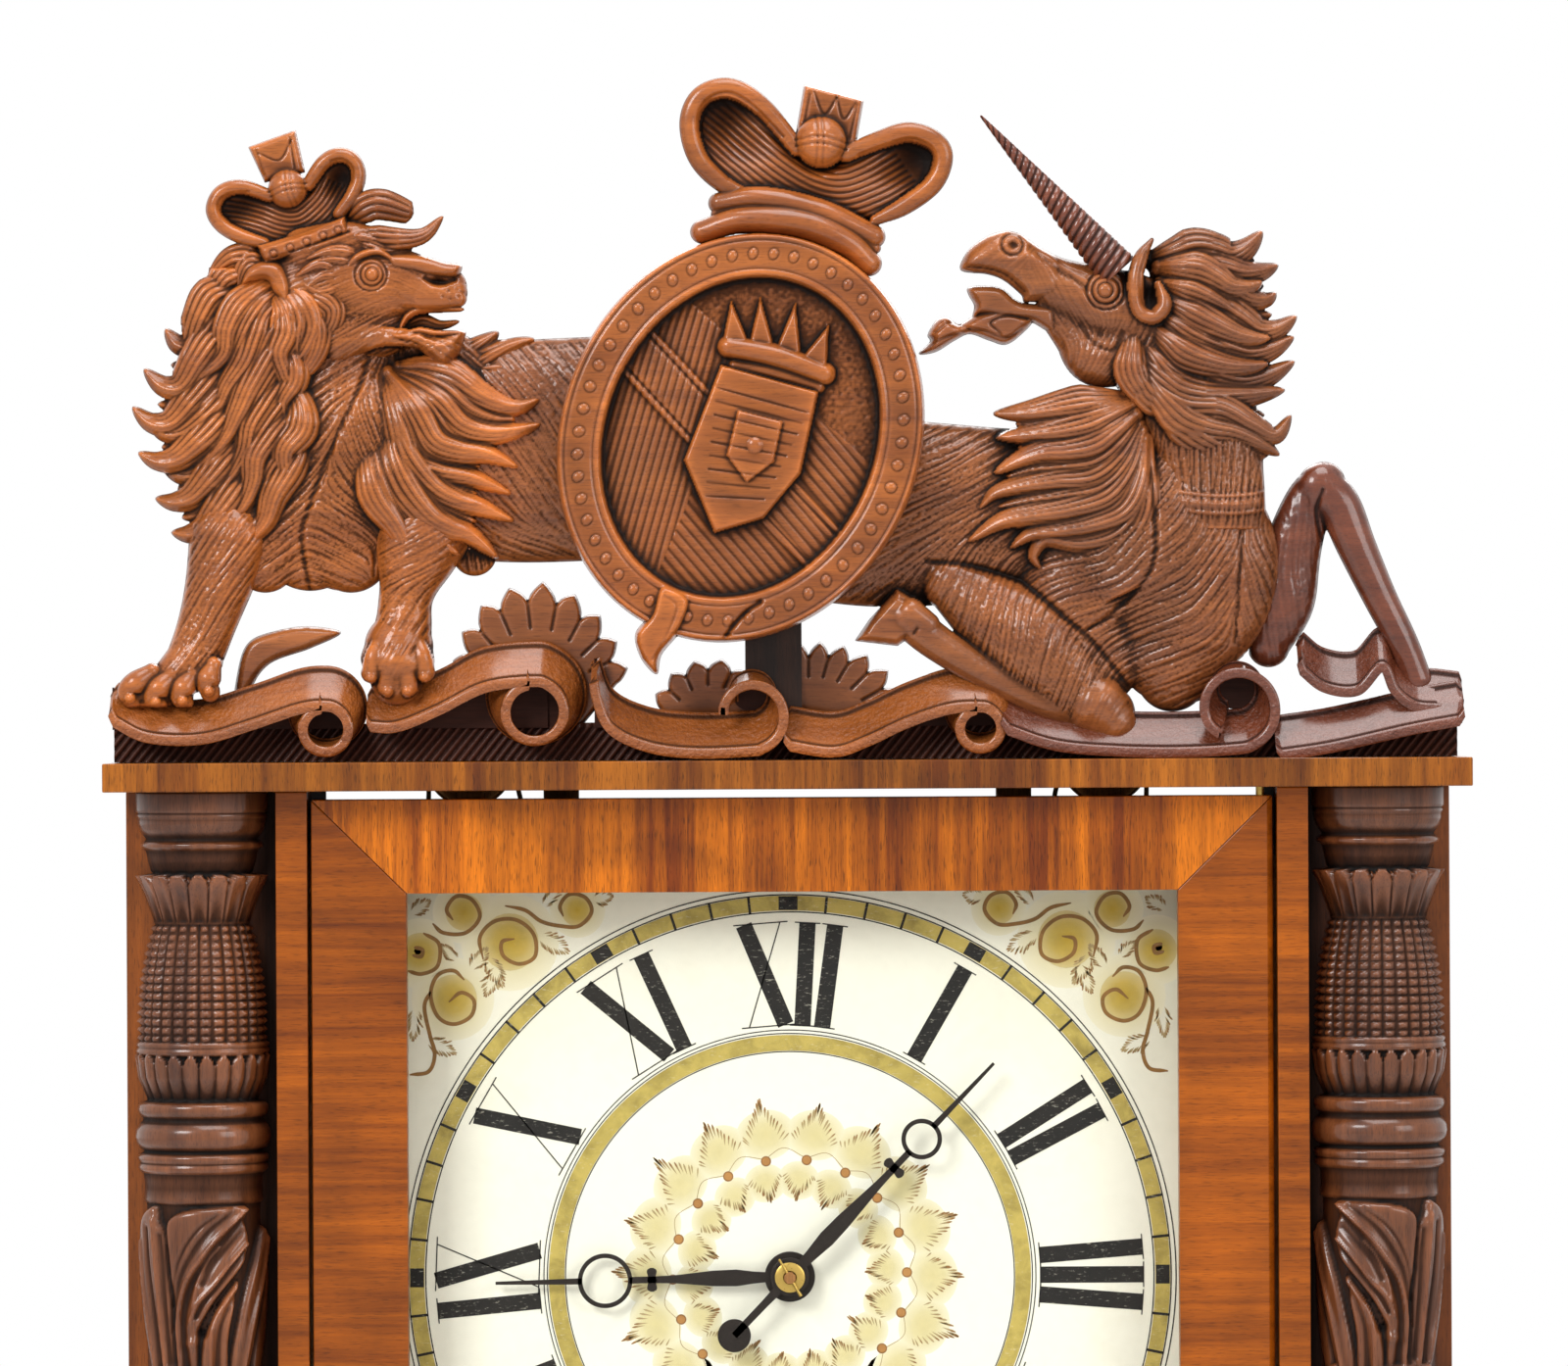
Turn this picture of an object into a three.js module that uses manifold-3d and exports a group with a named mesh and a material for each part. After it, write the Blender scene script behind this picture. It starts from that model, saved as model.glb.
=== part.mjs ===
// Shelf clock with a carved crest, weight driven. Units: mm. +Z up, the dial looks along -Y.
// X is left to right seen from the front; Y = 0 is the middle of the cornice depth; Z = 0 is the shelf.

import * as THREE from "three";
import { mergeVertices } from "three/addons/utils/BufferGeometryUtils.js";
import Module from "manifold-3d";

const wasm = await Module();
wasm.setup();

// Overall case
const CORNICE_WIDTH = 457;
const CORNICE_DEPTH = 150;
const CORNICE_THICK = 9.6;
const BOARD_OVERHANG = 5.7;
const PANEL_WIDTH = 49.7;
const SIDE_THICK = 10;
const FOOT_HEIGHT = 56;
const FOOT_RADIUS = 24;
const FOOT_INSET_X = 33;
const FOOT_INSET_Y = 26;
const BASE_THICK = 24;
const PANEL_THICK = 10;
const PANEL_SETBACK = 30;
const BACK_THICK = 7;
const BACK_INSET = 6;
const BACK_TOP_GAP = 15;
const GLUE_GAP = 0.2;
const FIT_GAP = 0.35;

// Door
const DOOR_SHIFT = 1.4;
const DOOR_THICK = 18;
const DOOR_SETBACK = 14.5;
const DOOR_SIDE_GAP = 1.35;
const DOOR_END_GAP = 3;
const STILE_WIDTH = 31.8;
const TOP_RAIL = 31.5;
const MIDDLE_RAIL = 34;
const BOTTOM_RAIL = 34;
const DIAL_OPENING = 261;
const LOWER_OPENING = 190;
const LIP_THICK = 10;
const REBATE = 6;
const GLASS_THICK = 2;
const GLASS_PLAY = 0.5;
const JAMB_WIDTH = 10.5;
const JAMB_PROUD = 1.5;
const JAMB_DEPTH = 42;
const PIVOT_INSET = 4;
const PIVOT_RADIUS = 1.5;
const PIVOT_DEPTH = 8;
const STILE_CHAMFER = 2;
const KNOB_RADIUS = 9;
const KNOB_LENGTH = 14;
const SPINDLE_RADIUS = 2.8;
const CATCH_LENGTH = 22;
const CATCH_WIDTH = 6;
const CATCH_THICK = 2.4;
const CATCH_CLEARANCE = 1.5;

// Dial and hands
const DIAL_HEIGHT = 300;
const DIAL_THICK = 6;
const DIAL_BEHIND_DOOR = 8.5;
const DIAL_HOLE = 8;
const WINDING_HOLE = 6.5;
const HAND_THICK = 1;
const MINUTE_HAND_LENGTH = 99.8;
const HOUR_HAND_LENGTH = 99.5;
const MINUTE_HAND_ANGLE = 43.9;
const HOUR_HAND_ANGLE = 269;

// Movement
const PLATE_MARGIN = 8.9;
const PLATE_FOOT = 5.6;
const PLATE_HEAD = 21.3;
const PLATE_THICK = 6;
const PLATE_SPACING = 30;
const MOVEMENT_BEHIND_DIAL = 10;
const ARBOR = 2;
const PIVOT_CLEARANCE = 0.6;
const DRUM_ARBOR = 4;
const PINION_LEAVES = 6;
const GREAT_TEETH = 60;
const GREAT_MODULE = 1.4;
const TRAIN_TEETH = 54;
const TRAIN_MODULE = 1.25;
const ESCAPE_TEETH = 42;
const ESCAPE_RADIUS = 18;
const CANNON_LEAVES = 8;
const MINUTE_TEETH = 24;
const MINUTE_MODULE = 1.25;
const HOUR_TEETH = 32;
const HOUR_MODULE = 1;
const TOOTH_TIP = 0.8;
const TOOTH_ROOT = 1.15;
const GREAT_DROP = 33.3;
const THIRD_SIDE = 19;
const VERGE_RISE = 22;
const PENDULUM_LENGTH = 278;
const BOB_RADIUS = 28;
const BOB_THICK = 14;
const ROD_RADIUS = 1;
const ROD_BEHIND_PLATE = 7.5;
const DRUM_RADIUS = 14;
const DRUM_LENGTH = 8;
const DRUM_LIP = 4;
const RAIL_WIDTH = 12;
const PULLEY_RADIUS = 13;
const PULLEY_LIP = 2.5;
const SLOT_CLEARANCE = 2;
const PULLEY_THICK = 6;
const PULLEY_OUT = 108.5;
const CORD_RADIUS = 0.9;
const CORD_GAP = 0.2;
const WEIGHT_RADIUS = 20;
const WEIGHT_LENGTH = 130;
const WEIGHT_FLOOR_GAP = 8;
const BELL_RADIUS = 30;
const BELL_WALL = 2.5;
const BELL_X = 30;
const BELL_RISE = 135;

// Derived heights and planes
const baseTop = FOOT_HEIGHT + BASE_THICK;
const doorBottom = baseTop + DOOR_END_GAP;
const lowerOpeningZ = doorBottom + BOTTOM_RAIL;
const middleRailZ = lowerOpeningZ + LOWER_OPENING;
const dialOpeningZ = middleRailZ + MIDDLE_RAIL;
const topRailZ = dialOpeningZ + DIAL_OPENING;
const doorTop = topRailZ + TOP_RAIL;
const corniceBottom = doorTop + DOOR_END_GAP;
const corniceTop = corniceBottom + CORNICE_THICK;
const dialZ = dialOpeningZ + DIAL_OPENING / 2;
const frontY = -CORNICE_DEPTH / 2;
const panelFront = frontY + PANEL_SETBACK;
const panelBack = panelFront + PANEL_THICK;
const backBoardBack = CORNICE_DEPTH / 2 - BACK_INSET;
const backBoardFront = backBoardBack - BACK_THICK;
const doorFront = frontY + DOOR_SETBACK;
const doorBack = doorFront + DOOR_THICK;
const boardHalf = CORNICE_WIDTH / 2;
const caseHalf = boardHalf - BOARD_OVERHANG;
const jambOuter = caseHalf - PANEL_WIDTH - GLUE_GAP;
const jambInner = jambOuter - JAMB_WIDTH;
const doorHalf = jambInner - DOOR_SIDE_GAP;
const doorLeft = DOOR_SHIFT - doorHalf;
const doorRight = DOOR_SHIFT + doorHalf;
const jambFront = doorFront - JAMB_PROUD;
const jambBack = jambFront + JAMB_DEPTH;
const escapeRise = 2 * Math.sqrt(((TRAIN_TEETH + PINION_LEAVES) * TRAIN_MODULE / 2) ** 2 - THIRD_SIDE ** 2);
const vergeRise = escapeRise + VERGE_RISE;
const greatDistance = (GREAT_TEETH + PINION_LEAVES) * GREAT_MODULE / 2;
const greatSide = Math.sqrt(greatDistance ** 2 - GREAT_DROP ** 2);
const minuteDistance = (CANNON_LEAVES + MINUTE_TEETH) * MINUTE_MODULE / 2;
const greatTip = GREAT_TEETH * GREAT_MODULE / 2 + TOOTH_TIP * GREAT_MODULE;
const plateHalf = greatSide + greatTip + PLATE_MARGIN;
const plateBelow = GREAT_DROP + greatTip + PLATE_FOOT;
const plateAbove = vergeRise + PLATE_HEAD;
const drumFlange = DRUM_RADIUS + DRUM_LIP;
const pulleyFlange = PULLEY_RADIUS + PULLEY_LIP;
const cordReach = CORD_RADIUS + CORD_GAP;
const pulleyRun = PULLEY_RADIUS + cordReach;
const drumRun = DRUM_RADIUS + cordReach;

// Depth stations, from the dial back to the pendulum
const dialFront = doorBack + DIAL_BEHIND_DOOR;
const frontPlateY = dialFront + DIAL_THICK + MOVEMENT_BEHIND_DIAL;
const frontPlateBack = frontPlateY + PLATE_THICK;
const backPlateY = frontPlateBack + PLATE_SPACING;
const plateBackFace = backPlateY + PLATE_THICK;
const rodY = plateBackFace + ROD_BEHIND_PLATE;
const between = (near, far) => [frontPlateBack + near, frontPlateBack + far];
const greatY = between(1.5, 5.5);
const drumY = between(6.5, 6.5 + DRUM_LENGTH);
const thirdY = between(7, 10);
const centreY = between(DRUM_LENGTH + 7.8, DRUM_LENGTH + 10.8);
const strikeY = between(DRUM_LENGTH + 12, DRUM_LENGTH + 16);
const escapeY = between(PLATE_SPACING - 5.5, PLATE_SPACING - 3);
const cordY = (drumY[0] + drumY[1]) / 2;

const group = new THREE.Group();
group.name = "shelf_clock";

// Closed surface as a solid: positions only, merged, no flattened triangles, facing out.
function solid(geometry) {
  const bare = new THREE.BufferGeometry();
  bare.setAttribute("position", geometry.getAttribute("position").clone());
  if (geometry.index) bare.setIndex(geometry.index.clone());
  const merged = mergeVertices(bare, 1e-4);
  const at = merged.getAttribute("position").array;
  const source = merged.index.array;
  const tris = [];
  let volume = 0;
  for (let i = 0; i < source.length; i += 3) {
    const [a, b, c] = [source[i], source[i + 1], source[i + 2]];
    if (a === b || b === c || a === c) continue;
    tris.push(a, b, c);
    const p = new THREE.Vector3(at[3 * a], at[3 * a + 1], at[3 * a + 2]);
    const q = new THREE.Vector3(at[3 * b], at[3 * b + 1], at[3 * b + 2]);
    const r = new THREE.Vector3(at[3 * c], at[3 * c + 1], at[3 * c + 2]);
    volume += p.dot(q.cross(r));
  }
  if (volume < 0) tris.reverse();
  return new wasm.Manifold(new wasm.Mesh({
    numProp: 3,
    vertProperties: new Float32Array(at),
    triVerts: new Uint32Array(tris),
  }));
}

function surface(body) {
  const mesh = body.getMesh();
  const at = new Float32Array(mesh.numVert * 3);
  for (let i = 0; i < mesh.numVert; i++) {
    for (let k = 0; k < 3; k++) at[3 * i + k] = mesh.vertProperties[i * mesh.numProp + k];
  }
  const geometry = new THREE.BufferGeometry();
  geometry.setAttribute("position", new THREE.BufferAttribute(at, 3));
  geometry.setIndex(new THREE.BufferAttribute(new Uint32Array(mesh.triVerts), 1));
  return geometry;
}

// The largest single body of a solid: offcuts left by a cut are thrown away.
function largest(body) {
  return body.decompose().sort((a, b) => b.volume() - a.volume())[0];
}

const join = (...parts) => surface(wasm.Manifold.union(parts.map(solid)));

function cut(geometry, ...tools) {
  let body = solid(geometry);
  for (const tool of tools) body = body.subtract(solid(tool));
  return surface(largest(body));
}

function box(x0, x1, y0, y1, z0, z1) {
  const g = new THREE.BoxGeometry(x1 - x0, y1 - y0, z1 - z0);
  return g.translate((x0 + x1) / 2, (y0 + y1) / 2, (z0 + z1) / 2);
}

// Flat outline in X and Z, given depth from y0 to y1.
function plate(outline, y0, y1, holes = []) {
  const shape = new THREE.Shape(outline.map(([x, z]) => new THREE.Vector2(x, z)));
  for (const hole of holes) shape.holes.push(new THREE.Path(hole.map(([x, z]) => new THREE.Vector2(x, z))));
  const g = new THREE.ExtrudeGeometry(shape, { depth: y1 - y0, bevelEnabled: false });
  return g.rotateX(Math.PI / 2).translate(0, y1, 0);
}

function circle(x, z, radius, sides, turn = 0) {
  return Array.from({ length: sides }, (_, i) => {
    const a = turn + (2 * Math.PI * i) / sides;
    return [x + radius * Math.cos(a), z + radius * Math.sin(a)];
  });
}

const rod = (x, z, radius, y0, y1, sides = 8) => plate(circle(x, z, radius, sides, Math.PI / sides), y0,
  y1);

// Turned form about a vertical axis from [radius, z] pairs.
function turned(profile, x, y, segments) {
  const g = new THREE.LatheGeometry(profile.map(([r, z]) => new THREE.Vector2(r, z)), segments);
  return g.rotateX(Math.PI / 2).translate(x, y, 0);
}

// Turned form about an axis along Y from [radius, y] pairs.
function turnedAcross(profile, x, z, segments) {
  const g = new THREE.LatheGeometry(profile.map(([r, y]) => new THREE.Vector2(r, y)), segments);
  return g.translate(x, 0, z);
}

// Skin through rings of equal point count, closed at each end by a fan.
function skin(rings) {
  const n = rings[0].length;
  const at = [];
  const tris = [];
  for (const ring of rings) for (const p of ring) at.push(p.x, p.y, p.z);
  for (let i = 0; i + 1 < rings.length; i++) {
    for (let j = 0; j < n; j++) {
      const a = i * n + j;
      const b = i * n + ((j + 1) % n);
      tris.push(a, b, a + n, b, b + n, a + n);
    }
  }
  for (const [index, flip] of [[0, true], [rings.length - 1, false]]) {
    const middle = new THREE.Vector3();
    for (const p of rings[index]) middle.addScaledVector(p, 1 / n);
    const centre = at.length / 3;
    at.push(middle.x, middle.y, middle.z);
    for (let j = 0; j < n; j++) {
      const a = index * n + j;
      const b = index * n + ((j + 1) % n);
      if (flip) tris.push(centre, b, a);
      else tris.push(centre, a, b);
    }
  }
  const g = new THREE.BufferGeometry();
  g.setAttribute("position", new THREE.Float32BufferAttribute(at, 3));
  g.setIndex(tris);
  return g;
}

// Carved limb: an oval section carried along a smooth path of [x, z, radius, depth shift] stations.
// The depth share flattens the section from front to back; the ends may be rounded off.
function limb(stations, sides, steps, depth = 1, grow = 0, rounded = true) {
  const path = new THREE.CatmullRomCurve3(
    stations.map(([x, z, , y]) => new THREE.Vector3(x, CREST_Y + (y ?? 0), corniceTop + z)),
    false,
    "centripetal",
  );
  const size = new THREE.CatmullRomCurve3(stations.map(([, , r], i) => new THREE.Vector3(i, r, 0)));
  const across = new THREE.Vector3(0, 1, 0);
  const rings = [];
  const addRing = (centre, tangent, radius) => {
    const side = new THREE.Vector3().crossVectors(across, tangent).normalize();
    const front = new THREE.Vector3().crossVectors(tangent, side).normalize();
    rings.push(Array.from({ length: sides }, (_, j) => {
      const a = (2 * Math.PI * (j + 0.5)) / sides;
      const p = centre.clone().addScaledVector(side, radius * Math.cos(a));
      return p.addScaledVector(front, radius * depth * Math.sin(a));
    }));
  };
  for (let i = 0; i <= steps; i++) {
    const t = i / steps;
    const centre = path.getPoint(t);
    const tangent = path.getTangent(t);
    const radius = Math.max(size.getPoint(t).y, 0.5) + grow;
    if (i === 0 && rounded) {
      addRing(centre.clone().addScaledVector(tangent, -0.75 * radius), tangent, 0.6 * radius);
    }
    addRing(centre, tangent, radius);
    if (i === steps && rounded) {
      addRing(centre.clone().addScaledVector(tangent, 0.75 * radius), tangent, 0.6 * radius);
    }
  }
  return skin(rings);
}

// Tapered lock of hair or leaf tip that ends in a point.
function lock(stations, depth = 1, sides = 3, steps = 2) {
  return limb(stations, sides, steps, depth, 0, false);
}

// Toothed wheel outline: pointed wooden teeth with backlash, one tooth centred on the given angle.
function toothed(teeth, module, phase, x, z, radiusShift = 0) {
  const pitch = (2 * Math.PI) / teeth;
  const radius = (teeth * module) / 2 + radiusShift;
  const root = radius - TOOTH_ROOT * module;
  const tip = radius + TOOTH_TIP * module;
  const outline = [];
  for (let i = 0; i < teeth; i++) {
    for (const [r, share] of [[root, -0.5], [tip, 0]]) {
      const a = phase + (i + share) * pitch;
      outline.push([x + r * Math.cos(a), z + r * Math.sin(a)]);
    }
  }
  return outline;
}

// Phase of the second wheel of a meshing pair, whose first wheel has a tooth at firstPhase.
function meshPhase(first, second) {
  const line = Math.atan2(second.z - first.z, second.x - first.x);
  const share = (first.phase - line) / ((2 * Math.PI) / first.teeth);
  const pitch = (2 * Math.PI) / second.teeth;
  return line + Math.PI + pitch / 2 - share * pitch;
}

const paint = {
  veneer: ["#8a4a20", 0.35, 0],
  carved: ["#7a4526", 0.45, 0],
  dark: ["#4d2416", 0.4, 0],
  pine: ["#b08a5a", 0.7, 0],
  cherry: ["#a9743f", 0.6, 0],
  brass: ["#c8a24a", 0.35, 1],
  iron: ["#2b2724", 0.6, 0.8],
  steel: ["#8d8f92", 0.35, 1],
  cream: ["#efe6cc", 0.5, 0],
  glass: ["#dfe7e6", 0.05, 0],
  mirror: ["#cfd4d6", 0.05, 1],
  cord: ["#6d5a40", 0.9, 0],
};

// Six times the volume enclosed by loose triangles, negative where they face inwards.
function enclosed(at) {
  let total = 0;
  for (let i = 0; i < at.length; i += 9) {
    const p = new THREE.Vector3().fromArray(at, i);
    const q = new THREE.Vector3().fromArray(at, i + 3);
    const r = new THREE.Vector3().fromArray(at, i + 6);
    total += p.dot(q.cross(r));
  }
  return total;
}

function add(name, geometry, kind) {
  const [color, roughness, metalness] = paint[kind];
  const material = new THREE.MeshStandardMaterial({ color, roughness, metalness });
  const flat = geometry.index ? geometry.toNonIndexed() : geometry;
  const at = flat.getAttribute("position").array;
  if (enclosed(at) < 0) {
    for (let i = 0; i < at.length; i += 9) {
      for (let k = 0; k < 3; k++) [at[i + 3 + k], at[i + 6 + k]] = [at[i + 6 + k], at[i + 3 + k]];
    }
  }
  flat.deleteAttribute("normal");
  flat.computeVertexNormals();
  const mesh = new THREE.Mesh(flat, material);
  mesh.name = name;
  group.add(mesh);
}

// CASE

const movementRailX = plateHalf - RAIL_WIDTH / 2;
const pulleyZ = corniceTop - 0.7;
const pivotX = doorRight - PIVOT_INSET;
const pivotY = doorFront + PIVOT_INSET;

const sideFront = panelBack + GLUE_GAP;
const sideBack = backBoardFront - GLUE_GAP;
const caseBottom = baseTop + GLUE_GAP;
const caseTop = corniceBottom - GLUE_GAP;
add("case_left_side", box(-caseHalf, -caseHalf + SIDE_THICK, sideFront, sideBack, caseBottom, caseTop),
  "veneer");
add("case_right_side", box(caseHalf - SIDE_THICK, caseHalf, sideFront, sideBack, caseBottom, caseTop),
  "veneer");
add("back_board", box(-caseHalf + 1, caseHalf - 1, backBoardFront, backBoardBack, caseBottom,
  corniceBottom - BACK_TOP_GAP), "pine");

const leftPanel = [-caseHalf, DOOR_SHIFT - jambOuter - GLUE_GAP];
const rightPanel = [DOOR_SHIFT + jambOuter + GLUE_GAP, caseHalf];
add("left_front_panel", box(...leftPanel, panelFront, panelBack, caseBottom, caseTop), "veneer");
add("right_front_panel", box(...rightPanel, panelFront, panelBack, caseBottom, caseTop), "veneer");

const knobX = doorLeft + STILE_WIDTH / 2;
const knobZ = middleRailZ + MIDDLE_RAIL / 2;
const catchFront = doorBack + GLUE_GAP;
const mortise = box(
  knobX - CATCH_LENGTH - CATCH_CLEARANCE, DOOR_SHIFT - jambInner + 1,
  catchFront - CATCH_CLEARANCE, catchFront + CATCH_THICK + CATCH_CLEARANCE,
  knobZ - CATCH_LENGTH, knobZ + CATCH_WIDTH / 2 + CATCH_CLEARANCE,
);
const leftJamb = box(DOOR_SHIFT - jambOuter, DOOR_SHIFT - jambInner, jambFront, jambBack, caseBottom,
  caseTop);
add("left_door_jamb", cut(leftJamb, mortise), "veneer");
add("right_door_jamb",
  box(DOOR_SHIFT + jambInner, DOOR_SHIFT + jambOuter, jambFront, jambBack, caseBottom, caseTop), "veneer");

const pivotHole = PIVOT_RADIUS + FIT_GAP;
const pivotBore = (z0, z1, radius) => turned([[0, z0], [radius, z0], [radius, z1], [0, z1]],
  pivotX, pivotY, 10);
const slots = [-1, 1].flatMap((side) => {
  const x = side * PULLEY_OUT;
  const reach = Math.max(pulleyFlange, pulleyRun + CORD_RADIUS) + SLOT_CLEARANCE;
  return [
    box(x - reach, x + reach, cordY - PULLEY_THICK / 2 - 2, cordY + PULLEY_THICK / 2 + 2,
      corniceBottom - 1, corniceTop + 1),
    box(x - 2, x + 2, cordY - 11, cordY + 11, pulleyZ - 2, corniceTop + 1),
  ];
});
add("cornice", cut(
  box(-boardHalf, boardHalf, frontY, -frontY, corniceBottom, corniceTop),
  pivotBore(corniceBottom - 1, corniceBottom + PIVOT_DEPTH - 2, pivotHole),
  ...slots,
), "veneer");
add("base_board", cut(
  box(-boardHalf, boardHalf, frontY, -frontY, FOOT_HEIGHT, baseTop),
  pivotBore(baseTop - PIVOT_DEPTH, baseTop + 1, pivotHole),
), "veneer");

// Turned foot: round pad, ball, collar and top disc.
const footTop = FOOT_HEIGHT - GLUE_GAP;
const footProfile = [
  [0, 0], [0.6, 0], [0.9, 0.17], [1, 0.36], [0.93, 0.54], [0.6, 0.7],
  [0.6, 0.76], [0.84, 0.81], [0.84, 0.9], [0.92, 0.92], [0.92, 1], [0, 1],
].map(([r, z]) => [r * FOOT_RADIUS, z * footTop]);
for (const [name, sx, sy] of [
  ["front_left_foot", -1, -1], ["front_right_foot", 1, -1], ["back_left_foot", -1, 1],
    ["back_right_foot", 1, 1],
]) {
  add(name, turned(footProfile, sx * (boardHalf - FOOT_INSET_X), sy * (-frontY - FOOT_INSET_Y), 10),
    "dark");
}

// Half column: a split turning against the front panel, from [depth below the top, radius, ripple] rows.
// The ripple share sets leaf tips in and out of the round on the two leaf cups.
const columnHeight = caseTop - caseBottom;
const COLUMN_UPPER = [
  [0, 22.6, 0], [5.4, 22.6, 0], [6.2, 21.2, 0], [15, 19.4, 0], [16, 21.4, 0], [19, 21.4, 0],
  [20, 19.2, 0], [24.6, 18.4, 0], [25, 21.4, 0.05], [32, 18.2, 0.05], [42, 14.4, 0],
  [60, 19.8, 0], [75, 21.8, 0], [84, 21.8, 0], [88.4, 22.4, 0], [89, 21.4, 0.05],
  [102.6, 17, 0.03], [103.6, 21.4, 0], [108.2, 21.4, 0], [109.6, 23, 0], [116.6, 23, 0],
  [118.4, 21.6, 0], [125.4, 21.4, 0], [126.4, 19.6, 0], [135, 19.8, 0], [136.4, 22.4, 0],
];
const COLUMN_LOWER = [
  [0, 23.2, 0], [18, 23.2, 0], [20, 21.4, 0], [25, 21.4, 0], [27, 23, 0], [33, 23, 0], [36, 20.4, 0],
  [49.4, 22.4, 0],
];
const middleRing = [[-9, 22.4, 0], [-7.6, 20, 0], [-5, 22.8, 0], [5, 22.8, 0], [7.6, 20, 0], [9, 22.4, 0]];
const columnRows = [
  ...COLUMN_UPPER,
  ...middleRing.map(([d, r, k]) => [columnHeight * 0.56 + d, r, k]),
  ...COLUMN_LOWER.map(([d, r, k]) => [columnHeight - d, r, k]).reverse(),
];
function halfColumn(x) {
  const sides = 8;
  return skin(columnRows.map(([d, r, ripple]) => Array.from({ length: sides + 1 }, (_, j) => {
    const a = (Math.PI * j) / sides;
    const radius = r * (1 + (j % 2 ? ripple : -ripple));
    const back = panelFront - GLUE_GAP;
    return new THREE.Vector3(x + radius * Math.cos(a), back - radius * Math.sin(a), caseTop - d);
  })));
}
add("left_column", halfColumn((leftPanel[0] + leftPanel[1]) / 2), "dark");
add("right_column", halfColumn((rightPanel[0] + rightPanel[1]) / 2), "dark");

// CREST: heights are above the cornice top, one carver's outline for every figure.

const CREST_Y = frontY + 31;
const CREST_BASE_FRONT = frontY + 9;
const CREST_BASE_BACK = frontY + 53;
const CREST_BASE_LEFT = 2 - boardHalf;
const CREST_BASE_RIGHT = boardHalf - 3;
const CREST_BASE_HEIGHT = 11.4;
const RIBBON_THICK = 5;
const OVAL = { x: -15.1, z: 108, a: 60.1, b: 69.9, tilt: 23, band: 14.4, front: frontY + 3,
  back: frontY + 25, recess: 7 };

// Ribbon: a flat strip carried along [x, z] stations, its width leaning forward and down.
function ribbon(stations, width, y, grow = 0) {
  const path = new THREE.CatmullRomCurve3(stations.map(([x, z]) => new THREE.Vector3(x, y,
    corniceTop + z)));
  const steps = (stations.length - 1) * 2;
  const rings = [];
  for (let i = 0; i <= steps; i++) {
    const t = i / steps;
    const centre = path.getPoint(t);
    const tangent = path.getTangent(t);
    const normal = new THREE.Vector3(-tangent.z, 0, tangent.x);
    const lean = new THREE.Vector3(0, -0.86, 0).addScaledVector(normal, -0.5).normalize();
    const thick = new THREE.Vector3().crossVectors(tangent, lean).normalize();
    rings.push([[-1, -1], [1, -1], [1, 1], [-1, 1]].map(([u, v]) => centre.clone()
      .addScaledVector(lean, u * (width / 2 + grow))
      .addScaledVector(thick, v * (RIBBON_THICK / 2 + grow))));
  }
  return skin(rings);
}
const RIBBONS = [
  [[-222, 20], [-206, 12], [-186, 14], [-168, 22], [-152, 21], [-146, 11], [-154, 5]],
  [[-142, 10], [-124, 16], [-106, 28], [-88, 33], [-73, 26], [-74, 13], [-87, 10]],
  [[-63, 23], [-52, 13], [-34, 7], [-14, 7], [-6, 18], [-14, 26], [-22, 20]],
  [[-2, 8], [18, 14], [36, 21], [54, 24], [68, 19], [68, 9], [58, 8]],
  [[72, 20], [92, 11], [116, 6], [140, 6], [156, 12], [154, 24], [144, 24]],
  [[160, 6], [182, 9], [204, 15], [223, 19]],
];
// Leaf spray: a fan of rounded leaf tips standing behind the ribbons.
function leafFan(x, z, radius, from, to, tips, y0, y1) {
  const outline = [[x + 6, z - 8], [x - 6, z - 8]];
  for (let i = 0; i < tips; i++) {
    for (const [share, r] of [[0.05, 0.82], [0.5, 1], [0.95, 0.82]]) {
      const a = from + ((to - from) * (i + share)) / tips;
      outline.push([x + radius * r * Math.cos(a), z + radius * r * Math.sin(a)]);
    }
  }
  return plate(outline.map(([px, pz]) => [px, corniceTop + pz]).reverse(), y0, y1);
}
function crestBase(grow) {
  const base = box(
    CREST_BASE_LEFT - grow, CREST_BASE_RIGHT + grow, CREST_BASE_FRONT - grow, CREST_BASE_BACK + grow,
    corniceTop + GLUE_GAP, corniceTop + CREST_BASE_HEIGHT + grow,
  );
  const strips = RIBBONS.map((stations, i) => ribbon(stations, 18, CREST_Y + (i % 2 ? -9.3 : -12.7), grow));
  const fans = [
    leafFan(-79, 24, 33 + grow, Math.PI * 1.02, -Math.PI * 0.02, 8, CREST_Y - 2 - grow,
      CREST_Y + 10 + grow),
    leafFan(-26, 16, 22 + grow, Math.PI * 1.0, Math.PI * 0.1, 5, CREST_Y - 1 - grow, CREST_Y + 11 + grow),
    leafFan(8, 18, 24 + grow, Math.PI * 0.85, 0, 6, CREST_Y - grow, CREST_Y + 12 + grow),
  ];
  const trim = box(-300, 300, -200, 200, corniceTop - 100, corniceTop + GLUE_GAP);
  return cut(join(base, ...strips, ...fans), trim);
}
add("crest_base", crestBase(0), "carved");
const baseRoom = crestBase(FIT_GAP);

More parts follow.
